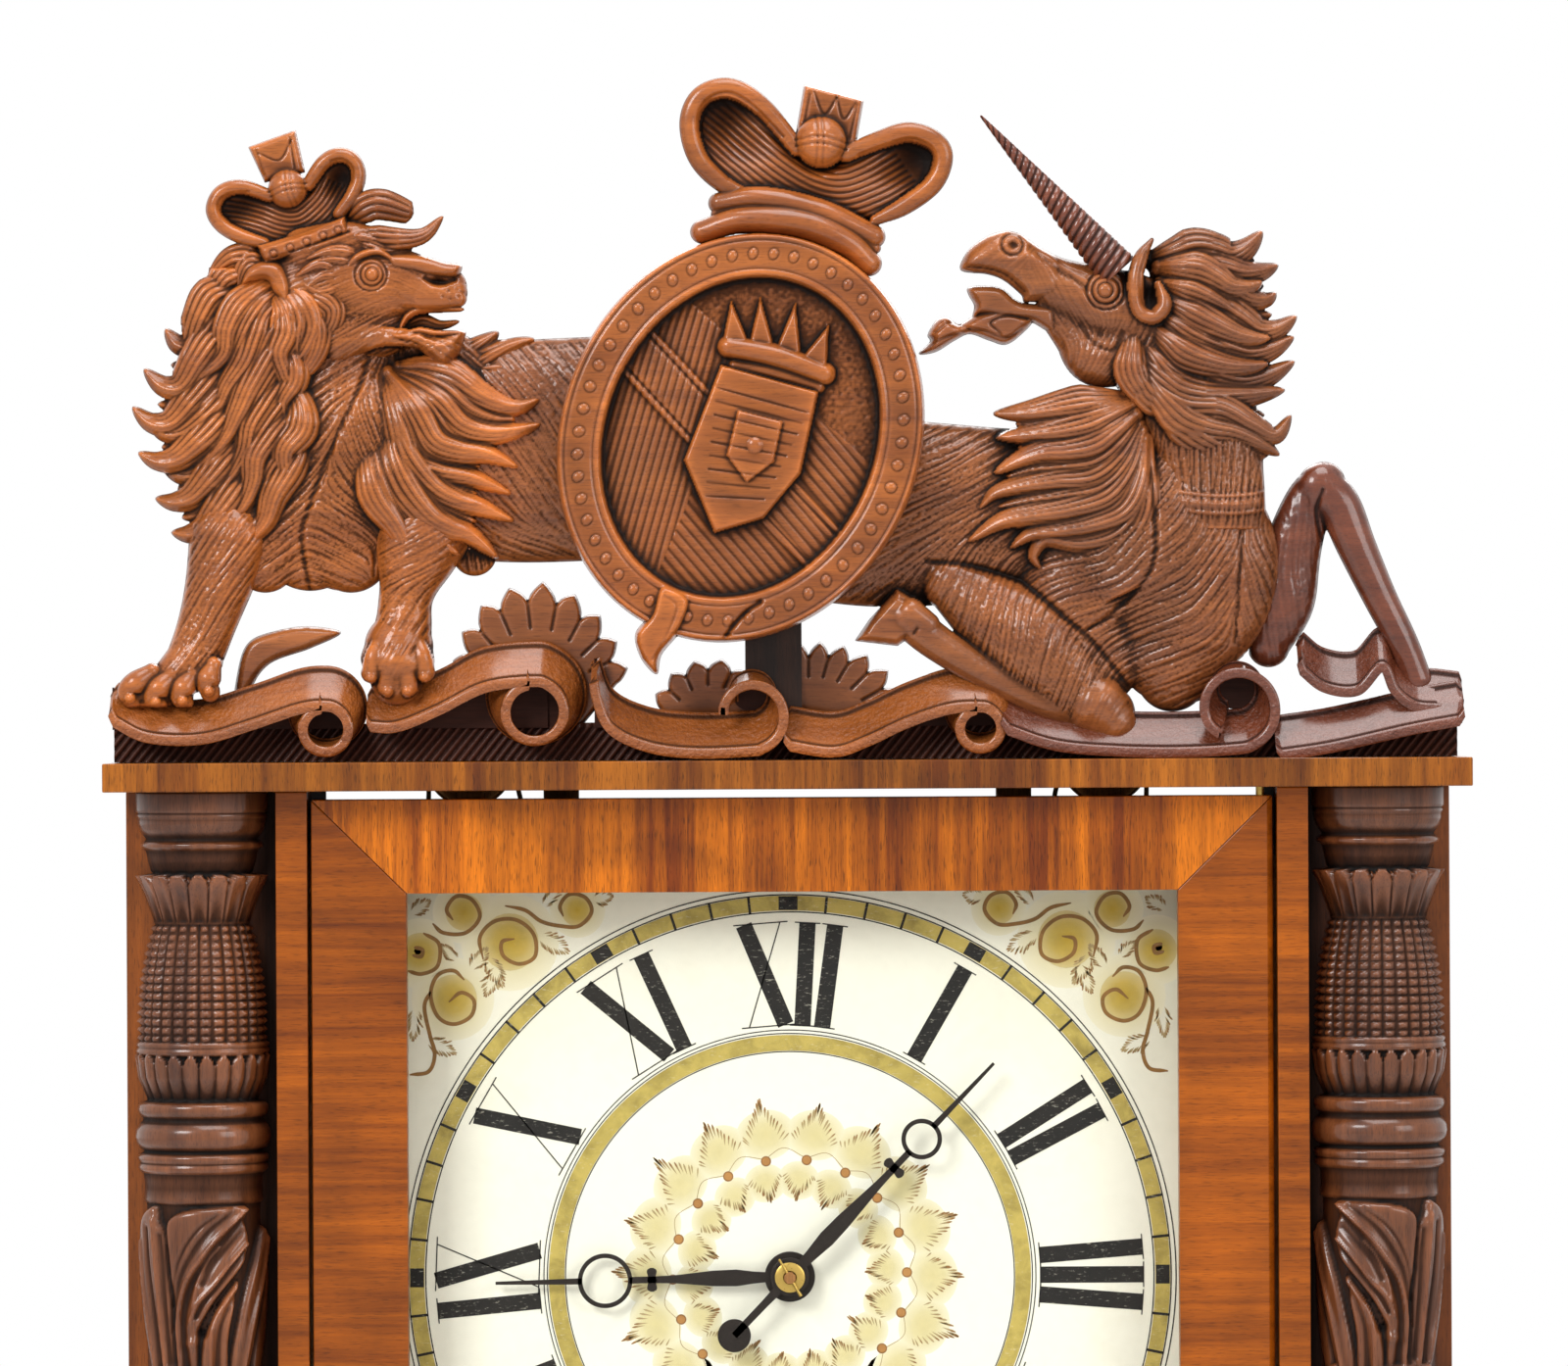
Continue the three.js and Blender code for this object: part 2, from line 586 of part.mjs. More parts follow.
function ovalRing(a, b, sides, grow = 0) {
  const turn = THREE.MathUtils.degToRad(-OVAL.tilt);
  return Array.from({ length: sides }, (_, i) => {
    const t = (2 * Math.PI * i) / sides;
    const u = (a + grow) * Math.cos(t);
    const v = (b + grow) * Math.sin(t);
    return [OVAL.x + u * Math.cos(turn) - v * Math.sin(turn),
      corniceTop + OVAL.z + u * Math.sin(turn) + v * Math.cos(turn)];
  });
}
const innerA = OVAL.a - OVAL.band;
const innerB = OVAL.b - OVAL.band;
const SHIELD = [[-26, 26], [0, 32], [24, 20], [20, -14], [-4, -38], [-24, -10]];
const shieldOutline = SHIELD.map(([x, z]) => [OVAL.x + 4 + x, corniceTop + OVAL.z + 2 + z]).reverse();
const strapTail = [[-42, 57], [-33, 57], [-36, 40], [-44, 30],
  [-49, 44]].map(([x, z]) => [x, corniceTop + z]).reverse();
const cartouche = join(
  cut(
    plate(ovalRing(OVAL.a, OVAL.b, 28), OVAL.front, OVAL.back),
    plate(ovalRing(innerA, innerB, 24), OVAL.front - 1, OVAL.front + OVAL.recess),
  ),
  plate(shieldOutline, OVAL.front + 1.5, OVAL.front + OVAL.recess + 1),
  plate(strapTail, OVAL.front - 1, OVAL.front + 8),
);
const ovalRoom = join(
  plate(ovalRing(OVAL.a, OVAL.b, 28, FIT_GAP), OVAL.front - 1, OVAL.back + FIT_GAP),
  plate(strapTail.map(([x, z]) => [-41 + (x + 41) * 1.1, corniceTop + 44 + (z - corniceTop - 44) * 1.05]),
    OVAL.front - 1.4, OVAL.front + 8.4),
);
add("cartouche", cut(cartouche, baseRoom), "carved");

// Crown of the cartouche: oval collar, two open loops, orb and flared cross.
function collar(x, z, radius, height, tilt, y, squash, segments) {
  const g = new THREE.LatheGeometry([
    [0, -0.5], [0.94, -0.5], [1, -0.3], [0.94, -0.08], [0.86, 0], [0.92, 0.2], [0.86, 0.42], [0, 0.5],
  ].map(([r, h]) => new THREE.Vector2(r * radius, h * height)), segments);
  g.rotateX(Math.PI / 2).scale(1, squash, 1).rotateY(THREE.MathUtils.degToRad(tilt));
  return g.translate(x, y, corniceTop + z);
}
function loop(outer, inner, y0, y1) {
  const smooth = (points, n) => new THREE.CatmullRomCurve3(
    points.map(([x, z]) => new THREE.Vector3(x, 0, corniceTop + z)), true).getPoints(n).slice(0,
      n).map((p) => [p.x, p.z]);
  return cut(plate(smooth(outer, 12), y0, y1), plate(smooth(inner, 8), y0 - 1, y1 + 1));
}
const crownBody = join(
  collar(-1, 177.5, 31, 24, 12, CREST_Y - 12, 0.55, 12),
  loop([[8, 202], [-6, 222], [-22, 229], [-35, 221], [-36, 208], [-26, 196], [-6, 188], [8, 191]],
    [[-2, 203], [-11, 215], [-22, 221], [-29, 216], [-29, 208], [-21, 200], [-8, 195]],
      CREST_Y - 23, CREST_Y - 1),
  loop([[4, 190], [20, 198], [34, 208], [48, 213], [55, 205], [51, 193], [38, 184], [18, 182]],
    [[17, 192], [30, 199], [40, 206], [48, 205], [46, 196], [36, 190], [22, 188]],
      CREST_Y - 23, CREST_Y - 1),
  new THREE.SphereGeometry(8.8, 8, 6).translate(11.8, CREST_Y - 18, corniceTop + 207.3),
  plate([[5, 227], [26, 223], [22, 210],
    [8, 212]].map(([x, z]) => [x, corniceTop + z]).reverse(), CREST_Y - 22, CREST_Y - 14),
);
add("cartouche_crown", cut(crownBody, ovalRoom), "carved");

const behindLeft = box(OVAL.x - 2, 400, -200, 200, corniceTop - 10, corniceTop + 400);
const behindRight = box(-400, OVAL.x - 2 + FIT_GAP, -200, 200, corniceTop - 10, corniceTop + 400);

// Lion: body, chest under the mane, head, jaw, two forelegs with paws, mane locks and small crown.
const lionParts = [
  limb([[-160, 98, 33], [-126, 101, 33], [-96, 105, 33], [-60, 106, 33], [-20, 106, 28]], 8, 3, 0.62),
  limb([[-172, 92, 30], [-170, 116, 41], [-158, 142, 30]], 8, 3, 0.6),
  limb([[-156, 156, 21, -4], [-141, 158, 19, -6], [-126, 159, 13, -8], [-113, 160, 8.5, -8]], 7, 3, 0.8),
  limb([[-140, 142, 11, -4], [-122, 140, 7, -7], [-112, 143, 3.5, -8]], 6, 2, 0.8),
  limb([[-190, 84, 18, -2], [-191, 62, 16, -4], [-195, 42, 12, -6], [-199, 28, 11, -8],
    [-207, 21, 8.5, -12]], 6, 4, 0.85),
  limb([[-120, 78, 18, -4], [-125, 57, 15, -8], [-129, 42, 11, -10], [-130, 32, 11.5, -13],
    [-131, 27, 9, -16]], 6, 4, 0.85),
  lock([[-184, 150, 9], [-196, 147, 6], [-206, 143, 1]]),
  lock([[-186, 138, 10], [-203, 135, 7], [-218, 130, 1]]),
  lock([[-190, 125, 10], [-206, 121, 7], [-221, 117, 1]]),
  lock([[-188, 112, 10], [-205, 108, 7], [-219, 103, 1]]),
  lock([[-186, 99, 10], [-202, 95, 7], [-212, 90, 1]]),
  lock([[-186, 88, 10], [-199, 82, 7], [-208, 76, 1]]),
  lock([[-112, 122, 12], [-96, 120, 8], [-80, 121, 1]]),
  lock([[-114, 108, 12], [-98, 102, 8], [-86, 104, 1]]),
  lock([[-118, 92, 12], [-104, 82, 8], [-94, 74, 1]]),
  lock([[-136, 171, 8], [-120, 174, 5], [-112, 178, 1]], 0.8),
  lock([[-140, 180, 8], [-128, 188, 5], [-116, 185, 1]], 0.8),
  collar(-162, 178, 16, 13, -12, CREST_Y - 2, 0.65, 8),
  loop([[-164, 190], [-176, 196], [-188, 200], [-196, 193], [-192, 184], [-178, 179], [-164, 181]],
    [[-171, 189], [-180, 193], [-188, 194], [-189, 189], [-180, 185], [-171, 185]],
      CREST_Y - 10, CREST_Y + 4),
  loop([[-164, 187], [-158, 201], [-148, 207], [-141, 201], [-143, 191], [-152, 183]],
    [[-158, 190], [-154, 199], [-148, 201], [-147, 195], [-152, 189]], CREST_Y - 10, CREST_Y + 4),
  new THREE.SphereGeometry(6.6, 8, 5).translate(-167.6, CREST_Y - 6, corniceTop + 192.8),
  plate([[-181, 207], [-166, 212], [-164, 197],
    [-174, 194]].map(([x, z]) => [x, corniceTop + z]).reverse(), CREST_Y - 9, CREST_Y - 2),
];
const lionSolid = cut(join(...lionParts), baseRoom, ovalRoom, behindLeft);
add("lion", lionSolid, "carved");

// Unicorn: body, neck, head, jaw with beard, mane, folded foreleg with hoof and raised foreleg.
const hornStations = [[108, 160, 7, -6], [112.3, 167, 6.6, -6], [90, 190, 4, -6], [65.3, 215, 1.2, -6]];
const hornBody = limb(hornStations.slice(1), 8, 4);
const hornRoom = limb(hornStations.slice(1), 8, 4, 1, FIT_GAP);
const unicornParts = [
  limb([[-4, 92, 26], [32, 85, 29], [65, 83, 31], [98, 76, 35], [126, 60, 38]], 7, 3, 0.62),
  limb([[130, 62, 36], [141, 82, 29], [143, 105, 25], [133, 126, 25], [120, 142, 19]], 7, 3, 0.65),
  limb([[116, 148, 18, -4], [104, 154, 15, -6], [90, 161, 11, -8], [75, 168, 8.5, -8], [64, 169, 6, -8]],
    7, 3, 0.8),
  limb([[108, 138, 12, -4], [95, 145, 7, -7], [84, 150, 4, -8]], 6, 2, 0.8),
  lock([[86, 150, 4, -7], [74, 145, 7, -7], [62, 146, 5, -7], [52, 142, 5, -7], [45, 137, 1, -7]],
    0.6, 4, 4),
  limb([[146, 112, 20], [148, 132, 24], [142, 156, 16], [132, 166, 9]], 7, 2, 0.6),
  lock([[140, 165, 8], [150, 172, 6], [162, 179, 1]]),
  lock([[146, 156, 9], [156, 163, 6], [166, 167, 1]]),
  lock([[150, 145, 10], [162, 148, 7], [172, 147, 1]]),
  lock([[152, 134, 10], [163, 132, 7], [173, 132, 1]]),
  lock([[152, 122, 10], [162, 119, 7], [171, 120, 1]]),
  lock([[150, 112, 10], [160, 107, 7], [168, 102, 1]]),
  lock([[104, 128, 12, -8], [84, 122, 9, -12], [66, 115, 1, -12]]),
  lock([[104, 112, 14, -10], [86, 98, 11, -14], [70, 78, 2, -14]]),
  lock([[112, 100, 12, -12], [98, 82, 9, -16], [83, 62, 1, -16]]),
  lock([[121, 154, 5, -14], [126, 165, 4, -16], [122, 176, 1, -16]]),
  limb([[56, 62, 13, -10], [80, 47, 16, -14], [100, 30, 12, -16], [111, 19, 9, -16]], 6, 3, 0.8),
  limb([[110, 13.5, 6, -17], [78, 27, 5.5, -17], [52, 38.5, 6, -16], [44, 43, 7, -16]], 6, 3, 0.9),
  limb([[46, 43, 7.5, -16], [36, 48, 8.5, -16], [27, 46, 6, -16]], 6, 2, 0.8),
  limb([[160, 44, 13], [171, 66, 14], [178, 86, 12], [182, 95, 10], [190, 80, 8.5], [203, 50, 6.5],
    [211, 31, 6.5]], 6, 6, 0.9),
  limb([[214, 27, 6.5, -6], [200, 31, 6.5, -10], [184, 36, 3.5, -10]], 6, 2, 0.9),
];
add("unicorn", cut(join(...unicornParts), baseRoom, ovalRoom, behindRight, hornRoom), "carved");
add("unicorn_horn", hornBody, "carved");

// Upright behind the sprays that carries the cartouche.
const brace = box(-14, 5, OVAL.back + FIT_GAP, OVAL.back + FIT_GAP + 3, corniceTop + CREST_BASE_HEIGHT,
  corniceTop + 62);
add("crest_brace", cut(brace, baseRoom, ovalRoom), "dark");

// DOOR

const half = GLUE_GAP / 2;
const openLeft = doorLeft + STILE_WIDTH;
const openRight = doorRight - STILE_WIDTH;
// A frame member: full outline for the front lip, outline short of the rebate behind it.
function member(outer, rebated) {
  return join(plate(outer, doorFront, doorFront + LIP_THICK), plate(rebated, doorFront + LIP_THICK - 0.5,
    doorBack));
}
const pinBores = [
  pivotBore(doorTop - PIVOT_DEPTH - 0.4, doorTop + 1, pivotHole),
  pivotBore(doorBottom - 1, doorBottom + PIVOT_DEPTH + 0.4, pivotHole),
];
const edgeChamfer = plate([[-4, -40], [4, -40], [4, 40], [-4, 40]], -4, 4);
edgeChamfer.scale(1, 1, 20).rotateZ(Math.PI / 4);
edgeChamfer.translate(doorRight - STILE_CHAMFER / 2 + 2.828, doorFront + STILE_CHAMFER / 2 - 2.828,
  (doorTop + doorBottom) / 2);
function stile(side) {
  const outerX = side < 0 ? doorLeft : doorRight;
  const at = (w) => outerX - side * w;
  const share = (STILE_WIDTH - REBATE) / STILE_WIDTH;
  const outline = (w, f) => [
    [outerX, doorBottom + half], [at(w), doorBottom + BOTTOM_RAIL * f + half],
    [at(w), doorTop - TOP_RAIL * f - half], [outerX, doorTop - half],
  ];
  const order = (points) => (side < 0 ? points : points.reverse());
  return member(order(outline(STILE_WIDTH, 1)), order(outline(STILE_WIDTH - REBATE, share)));
}
const knobBore = rod(knobX, knobZ, SPINDLE_RADIUS + FIT_GAP + 0.15, doorFront - 1, doorBack + 1, 12);
add("door_left_stile", cut(stile(-1), knobBore), "veneer");
add("door_right_stile", cut(stile(1), ...pinBores, edgeChamfer), "veneer");
function endRail(z0, z1, height) {
  const share = (height - REBATE) / height;
  const w = STILE_WIDTH;
  const toward = Math.sign(z1 - z0);
  const outline = (f) => [
    [doorLeft + half, z0], [doorRight - half, z0],
    [doorRight - half - w * f, z0 + toward * height * f],
      [doorLeft + half + w * f, z0 + toward * height * f],
  ];
  const order = (points) => (toward > 0 ? points : points.reverse());
  return member(order(outline(1)), order(outline(share)));
}
add("door_top_rail", cut(endRail(doorTop, topRailZ, TOP_RAIL), ...pinBores, edgeChamfer), "veneer");
add("door_bottom_rail", cut(endRail(doorBottom, lowerOpeningZ, BOTTOM_RAIL), ...pinBores, edgeChamfer),
  "veneer");
const middleLip = box(openLeft + half, openRight - half, doorFront, doorFront + LIP_THICK, middleRailZ,
  dialOpeningZ);
const middleCore = box(
  openLeft - REBATE + half, openRight + REBATE - half, doorFront + LIP_THICK + GLUE_GAP, doorBack,
  middleRailZ + REBATE, dialOpeningZ - REBATE,
);
const middleWeb = box(openLeft + half, openRight - half, doorFront + LIP_THICK - 0.5, doorBack - 1,
  middleRailZ + REBATE, dialOpeningZ - REBATE);
add("door_middle_rail", join(middleLip, middleWeb, middleCore), "veneer");
const glassFront = doorFront + LIP_THICK + GLUE_GAP;
function pane(z0, z1) {
  const spread = REBATE - GLASS_PLAY;
  return box(openLeft - spread, openRight + spread, glassFront, glassFront + GLASS_THICK, z0 - spread,
    z1 + spread);
}
add("dial_glass", pane(dialOpeningZ, topRailZ), "glass");
add("mirror_glass", pane(lowerOpeningZ, middleRailZ), "mirror");

// Catch: turned knob, spindle through the stile and a turn-bar behind it, hanging free of the jamb.
const knobFront = doorFront - FIT_GAP;
add("door_catch", join(
  turnedAcross([
    [0, knobFront - KNOB_LENGTH], [0.55 * KNOB_RADIUS, knobFront - KNOB_LENGTH],
      [KNOB_RADIUS, knobFront - 0.65 * KNOB_LENGTH],
    [0.9 * KNOB_RADIUS, knobFront - 0.42 * KNOB_LENGTH],
      [0.45 * KNOB_RADIUS, knobFront - 0.2 * KNOB_LENGTH],
    [0.7 * KNOB_RADIUS, knobFront - 0.1 * KNOB_LENGTH], [0.7 * KNOB_RADIUS, knobFront],
      [SPINDLE_RADIUS, knobFront],
    [SPINDLE_RADIUS, catchFront + CATCH_THICK], [0, catchFront + CATCH_THICK],
  ], knobX, knobZ, 12),
  box(knobX - CATCH_WIDTH / 2, knobX + CATCH_WIDTH / 2, catchFront, catchFront + CATCH_THICK,
    knobZ - CATCH_LENGTH, knobZ + CATCH_WIDTH / 2),
), "brass");
const pin = (z0, z1) => turned([[0, z0], [PIVOT_RADIUS, z0], [PIVOT_RADIUS, z1], [0, z1]],
  pivotX, pivotY, 10);
add("upper_door_pivot", pin(doorTop - PIVOT_DEPTH, corniceBottom + PIVOT_DEPTH - 2.4), "iron");
add("lower_door_pivot", pin(baseTop - PIVOT_DEPTH + 0.4, doorBottom + PIVOT_DEPTH), "iron");

// DIAL AND HANDS

const great = { x: -greatSide, z: dialZ - GREAT_DROP, teeth: GREAT_TEETH, phase: 0 };
const strikeX = greatSide;
const dialHalf = jambInner - FIT_GAP;
const dialHole = circle(0, dialZ, DIAL_HOLE, 16).reverse();
const windHoles = [-1, 1].map((side) => circle(side * greatSide, great.z, WINDING_HOLE, 16).reverse());
add("dial", plate(
  [[DOOR_SHIFT - dialHalf, dialZ - DIAL_HEIGHT / 2], [DOOR_SHIFT + dialHalf, dialZ - DIAL_HEIGHT / 2],
    [DOOR_SHIFT + dialHalf, dialZ + DIAL_HEIGHT / 2], [DOOR_SHIFT - dialHalf, dialZ + DIAL_HEIGHT / 2]],
  dialFront, dialFront + DIAL_THICK, [dialHole, ...windHoles],
), "cream");

const CANNON_RADIUS = 3;
const PIPE_INNER = 3.6;
const PIPE_OUTER = 5.4;
const hourHandY = dialFront - 4.2;
const minuteHandY = hourHandY - 3.2;
const washerY = minuteHandY - 1.2;
const tipY = washerY - 3.4;
// A hand lying along +Z from [half width, radius] stations, with a ring, a crossbar and a collet.
function hand(stations, ring, bar, collet, bore, y, extra) {
  const right = stations.map(([w, r]) => [w, dialZ + r]);
  const left = stations.map(([w, r]) => [-w, dialZ + r]).reverse();
  const parts = [
    plate([...right, ...left], y, y + HAND_THICK),
    rod(0, dialZ + ring.r, ring.outer, y, y + HAND_THICK, 12),
    plate([[-bar.half, dialZ + bar.r - 0.9], [bar.half, dialZ + bar.r - 0.9],
      [bar.half, dialZ + bar.r + 0.9],
      [-bar.half, dialZ + bar.r + 0.9]], y, y + HAND_THICK),
    rod(0, dialZ, collet, y - 0.3, y + HAND_THICK + 0.5, 12),
    ...extra,
  ];
  return cut(join(...parts),
    rod(0, dialZ + ring.r, ring.inner, y - 1, y + HAND_THICK + 1, 10),
    rod(0, dialZ, bore, y - 2, y + HAND_THICK + 2, 12));
}
function setHand(geometry, degrees) {
  return geometry.translate(0, 0, -dialZ).rotateY(THREE.MathUtils.degToRad(degrees)).translate(0, 0, dialZ);
}
const hourHand = hand(
  [[1.6, 0], [1.6, 9], [2.5, 17], [1.5, 34], [0.9, 45], [0.9, 58], [0.5, 72], [0.35, HOUR_HAND_LENGTH]],
  { r: 62.4, outer: 9.2, inner: 7.4 }, { r: 46.6, half: 4.4 }, 8.7, PIPE_OUTER + GLUE_GAP, hourHandY, [],
);
add("hour_hand", setHand(hourHand, HOUR_HAND_ANGLE), "iron");
const minuteHand = hand(
  [[1.5, -24], [1.4, 0], [1.6, 9], [2.4, 24], [1.5, 42], [0.9, 49], [0.9, 60], [0.5, 72],
    [0.35, MINUTE_HAND_LENGTH]],
  { r: 64.4, outer: 6.8, inner: 5.1 }, { r: 50.9, half: 4.2 }, 6.7, ARBOR + GLUE_GAP, minuteHandY,
  [rod(0, dialZ - 27.2, 5.6, minuteHandY, minuteHandY + HAND_THICK, 12)],
);
add("minute_hand", setHand(minuteHand, MINUTE_HAND_ANGLE), "iron");
const washerHole = circle(0, dialZ, ARBOR + GLUE_GAP, 12).reverse();
add("hand_washer", plate(circle(0, dialZ, 5.06, 14), washerY, washerY + 0.7, [washerHole]), "brass");
const PIN_RADIUS = 0.6;
const pinY = washerY - GLUE_GAP - PIN_RADIUS - 0.1;
function crossPin(radius, length) {
  const g = new THREE.CylinderGeometry(radius * 0.85, radius, length, 8).rotateZ(Math.PI / 2);
  return g.rotateY(THREE.MathUtils.degToRad(-62)).translate(0, pinY, dialZ);
}
add("hand_pin", crossPin(PIN_RADIUS, 13.5), "brass");

// MOTION WORK AND GOING TRAIN

const centre = { x: 0, z: dialZ, teeth: PINION_LEAVES };
centre.phase = meshPhase(great, centre);
const centreWheel = { x: 0, z: dialZ, teeth: TRAIN_TEETH, phase: 0 };
const third = { x: -THIRD_SIDE, z: dialZ + escapeRise / 2, teeth: PINION_LEAVES };
third.phase = meshPhase(centreWheel, third);
const thirdWheel = { x: third.x, z: third.z, teeth: TRAIN_TEETH, phase: 0 };
const escape = { x: 0, z: dialZ + escapeRise, teeth: PINION_LEAVES };
escape.phase = meshPhase(thirdWheel, escape);
const cannon = { x: 0, z: dialZ, teeth: CANNON_LEAVES, phase: 0 };
const minute = { x: minuteDistance, z: dialZ, teeth: MINUTE_TEETH };
minute.phase = meshPhase(cannon, minute);
const minutePinion = { x: minuteDistance, z: dialZ, teeth: CANNON_LEAVES, phase: 0 };
const hour = { x: 0, z: dialZ, teeth: HOUR_TEETH };
hour.phase = meshPhase(minutePinion, hour);
const gear = (wheel, module, y0, y1) => plate(toothed(wheel.teeth, module, wheel.phase, wheel.x,
  wheel.z), y0, y1);
const motionY = [frontPlateY - 4.6, frontPlateY - 1.2];
const hourY = [frontPlateY - 8.8, frontPlateY - 5.4];

const pivotEnds = [frontPlateY + 1.5, plateBackFace - 1.5];
add("centre_arbor", cut(join(
  rod(0, dialZ, ARBOR, tipY, pivotEnds[1], 8),
  rod(0, dialZ, CANNON_RADIUS, minuteHandY + HAND_THICK + 0.8, frontPlateY - 1, 10),
  gear(cannon, MINUTE_MODULE, ...motionY),
  gear(centre, GREAT_MODULE, greatY[0] - 0.5, greatY[1] + 0.5),
  gear(centreWheel, TRAIN_MODULE, ...centreY),
), crossPin(PIN_RADIUS + GLUE_GAP, 14)), "cherry");
const pipeFront = hourHandY - 0.6;
add("hour_wheel", cut(
  join(gear(hour, HOUR_MODULE, ...hourY), rod(0, dialZ, PIPE_OUTER, pipeFront, hourY[1], 12)),
  rod(0, dialZ, PIPE_INNER, pipeFront - 1, hourY[1] + 1, 12),
), "cherry");
const STUD_RADIUS = 1.8;
add("minute_wheel", cut(
  join(gear(minute, MINUTE_MODULE, ...motionY), gear(minutePinion, HOUR_MODULE, hourY[0],
    motionY[0] + 0.2)),
  rod(minute.x, minute.z, STUD_RADIUS + PIVOT_CLEARANCE, hourY[0] - 1, motionY[1] + 1, 10),
), "cherry");
add("time_great_wheel", cut(
  gear(great, GREAT_MODULE, ...greatY),
  rod(great.x, great.z, DRUM_ARBOR + PIVOT_CLEARANCE, greatY[0] - 1, greatY[1] + 1, 12),
), "cherry");
add("third_wheel", join(
  rod(third.x, third.z, ARBOR, ...pivotEnds),
  gear(third, TRAIN_MODULE, centreY[0] - 0.6, centreY[1] + 0.6),
  gear(thirdWheel, TRAIN_MODULE, ...thirdY),
), "cherry");
// Escape wheel: raked pointed teeth.
const escapeOutline = [];
for (let i = 0; i < ESCAPE_TEETH; i++) {
  for (const [r, share] of [[ESCAPE_RADIUS - 2.6, 0], [ESCAPE_RADIUS, 0.25]]) {
    const a = ((i + share) * 2 * Math.PI) / ESCAPE_TEETH;
    escapeOutline.push([escape.x + r * Math.cos(a), escape.z + r * Math.sin(a)]);
  }
}
add("escape_wheel", join(
  rod(escape.x, escape.z, ARBOR, ...pivotEnds),
  gear(escape, TRAIN_MODULE, thirdY[0] - 0.6, thirdY[1] + 0.6),
  plate(escapeOutline, ...escapeY),
), "cherry");

// Verge: arbor through both plates, anchor over the escape wheel, crutch with a fork behind.
const vergeZ = dialZ + vergeRise;
const PALLET_CLEAR = 1.9;
const ANCHOR_DEPTH = 4.6;
const ANCHOR_SPREAD = 52;
const anchorArc = (radius, from, to) => Array.from({ length: 9 }, (_, i) => {
  const a = THREE.MathUtils.degToRad(from + ((to - from) * i) / 8);
  return [escape.x + radius * Math.sin(a), escape.z + radius * Math.cos(a)];
});
const anchorOutline = [
  ...anchorArc(ESCAPE_RADIUS + PALLET_CLEAR, -ANCHOR_SPREAD, ANCHOR_SPREAD),
  ...anchorArc(ESCAPE_RADIUS + PALLET_CLEAR + ANCHOR_DEPTH, ANCHOR_SPREAD - 5, -ANCHOR_SPREAD + 5),
];
const crutchY = [plateBackFace + 2.6, plateBackFace + 4.6];
const forkZ = vergeZ - 46;
const forkSide = ROD_RADIUS + 0.5;
add("verge", join(
  rod(0, vergeZ, ARBOR, frontPlateY + 1.5, crutchY[1], 10),
  plate(anchorOutline, ...escapeY),
  box(-1.2, 1.2, ...crutchY, forkZ, vergeZ),
  box(-forkSide - 2, forkSide + 2, ...crutchY, forkZ - 1, forkZ + 3),
  box(forkSide, forkSide + 2, crutchY[0], rodY + 2.5, forkZ - 1, forkZ + 3),
  box(-forkSide - 2, -forkSide, crutchY[0], rodY + 2.5, forkZ - 1, forkZ + 3),
), "iron");

// Pendulum: wire rod with a flat hook above, lens bob with a bore.
const bobZ = vergeZ - PENDULUM_LENGTH;
const upright = (radius, z0, z1, sides) => turned([[0, z0], [radius, z0], [radius, z1], [0, z1]],
  0, rodY, sides);
add("pendulum_rod", join(
  upright(ROD_RADIUS, bobZ - BOB_RADIUS - 6, vergeZ, 8),
  box(-2.4, 2.4, rodY - 0.4, rodY + 0.4, vergeZ - 8, vergeZ + 3),
  upright(3.2, bobZ - BOB_RADIUS - 5.4, bobZ - BOB_RADIUS - 1.4, 10),
), "steel");
add("pendulum_bob", cut(
  turnedAcross([
    [0, rodY - BOB_THICK / 2], [0.4 * BOB_RADIUS, rodY - 0.46 * BOB_THICK],
      [0.75 * BOB_RADIUS, rodY - 0.3 * BOB_THICK],
    [BOB_RADIUS, rodY - 0.06 * BOB_THICK], [BOB_RADIUS, rodY + 0.06 * BOB_THICK],
    [0.75 * BOB_RADIUS, rodY + 0.3 * BOB_THICK], [0.4 * BOB_RADIUS, rodY + 0.46 * BOB_THICK],
      [0, rodY + BOB_THICK / 2],
  ], 0, bobZ, 14),
  upright(ROD_RADIUS + FIT_GAP, bobZ - BOB_RADIUS - 1, bobZ + BOB_RADIUS + 1, 8),
), "brass");

// Plates: the pillars and the suspension post are one piece with the back plate.
const HAMMER_OUT = 20;
const HAMMER_CLEARANCE = 3.1;
const hammerX = greatSide + HAMMER_OUT;
const hammerZ = great.z - Math.sqrt((greatTip + HAMMER_CLEARANCE) ** 2 - HAMMER_OUT ** 2);
const plateOutline = [
  [-plateHalf, dialZ - plateBelow], [plateHalf, dialZ - plateBelow],
  [plateHalf, dialZ + plateAbove], [-plateHalf, dialZ + plateAbove],
];
const arborHoles = [[0, dialZ], [third.x, third.z], [escape.x, escape.z], [0, vergeZ], [hammerX, hammerZ]]
  .map(([x, z]) => circle(x, z, ARBOR + PIVOT_CLEARANCE, 8).reverse());
const drumHoles = [-1, 1].map((side) => circle(side * greatSide, great.z, DRUM_ARBOR + PIVOT_CLEARANCE,
  10).reverse());
const holes = [...arborHoles, ...drumHoles];
add("front_plate", join(
  plate(plateOutline, frontPlateY, frontPlateBack, holes),
  rod(minute.x, minute.z, STUD_RADIUS, hourY[0] + 0.4, frontPlateY + 1, 10),
), "cherry");
const PILLAR_RADIUS = 4.5;
const PILLAR_CLEARANCE = 6.3;
const thirdReach = THIRD_SIDE + TRAIN_TEETH * TRAIN_MODULE / 2 + TOOTH_TIP * TRAIN_MODULE;
const pillarRows = [[thirdReach + PILLAR_CLEARANCE, plateAbove - 8], [plateHalf - 12, 8 - plateBelow]];
const pillars = pillarRows.flatMap(([x, z]) => [[-x, z], [x, z]]);
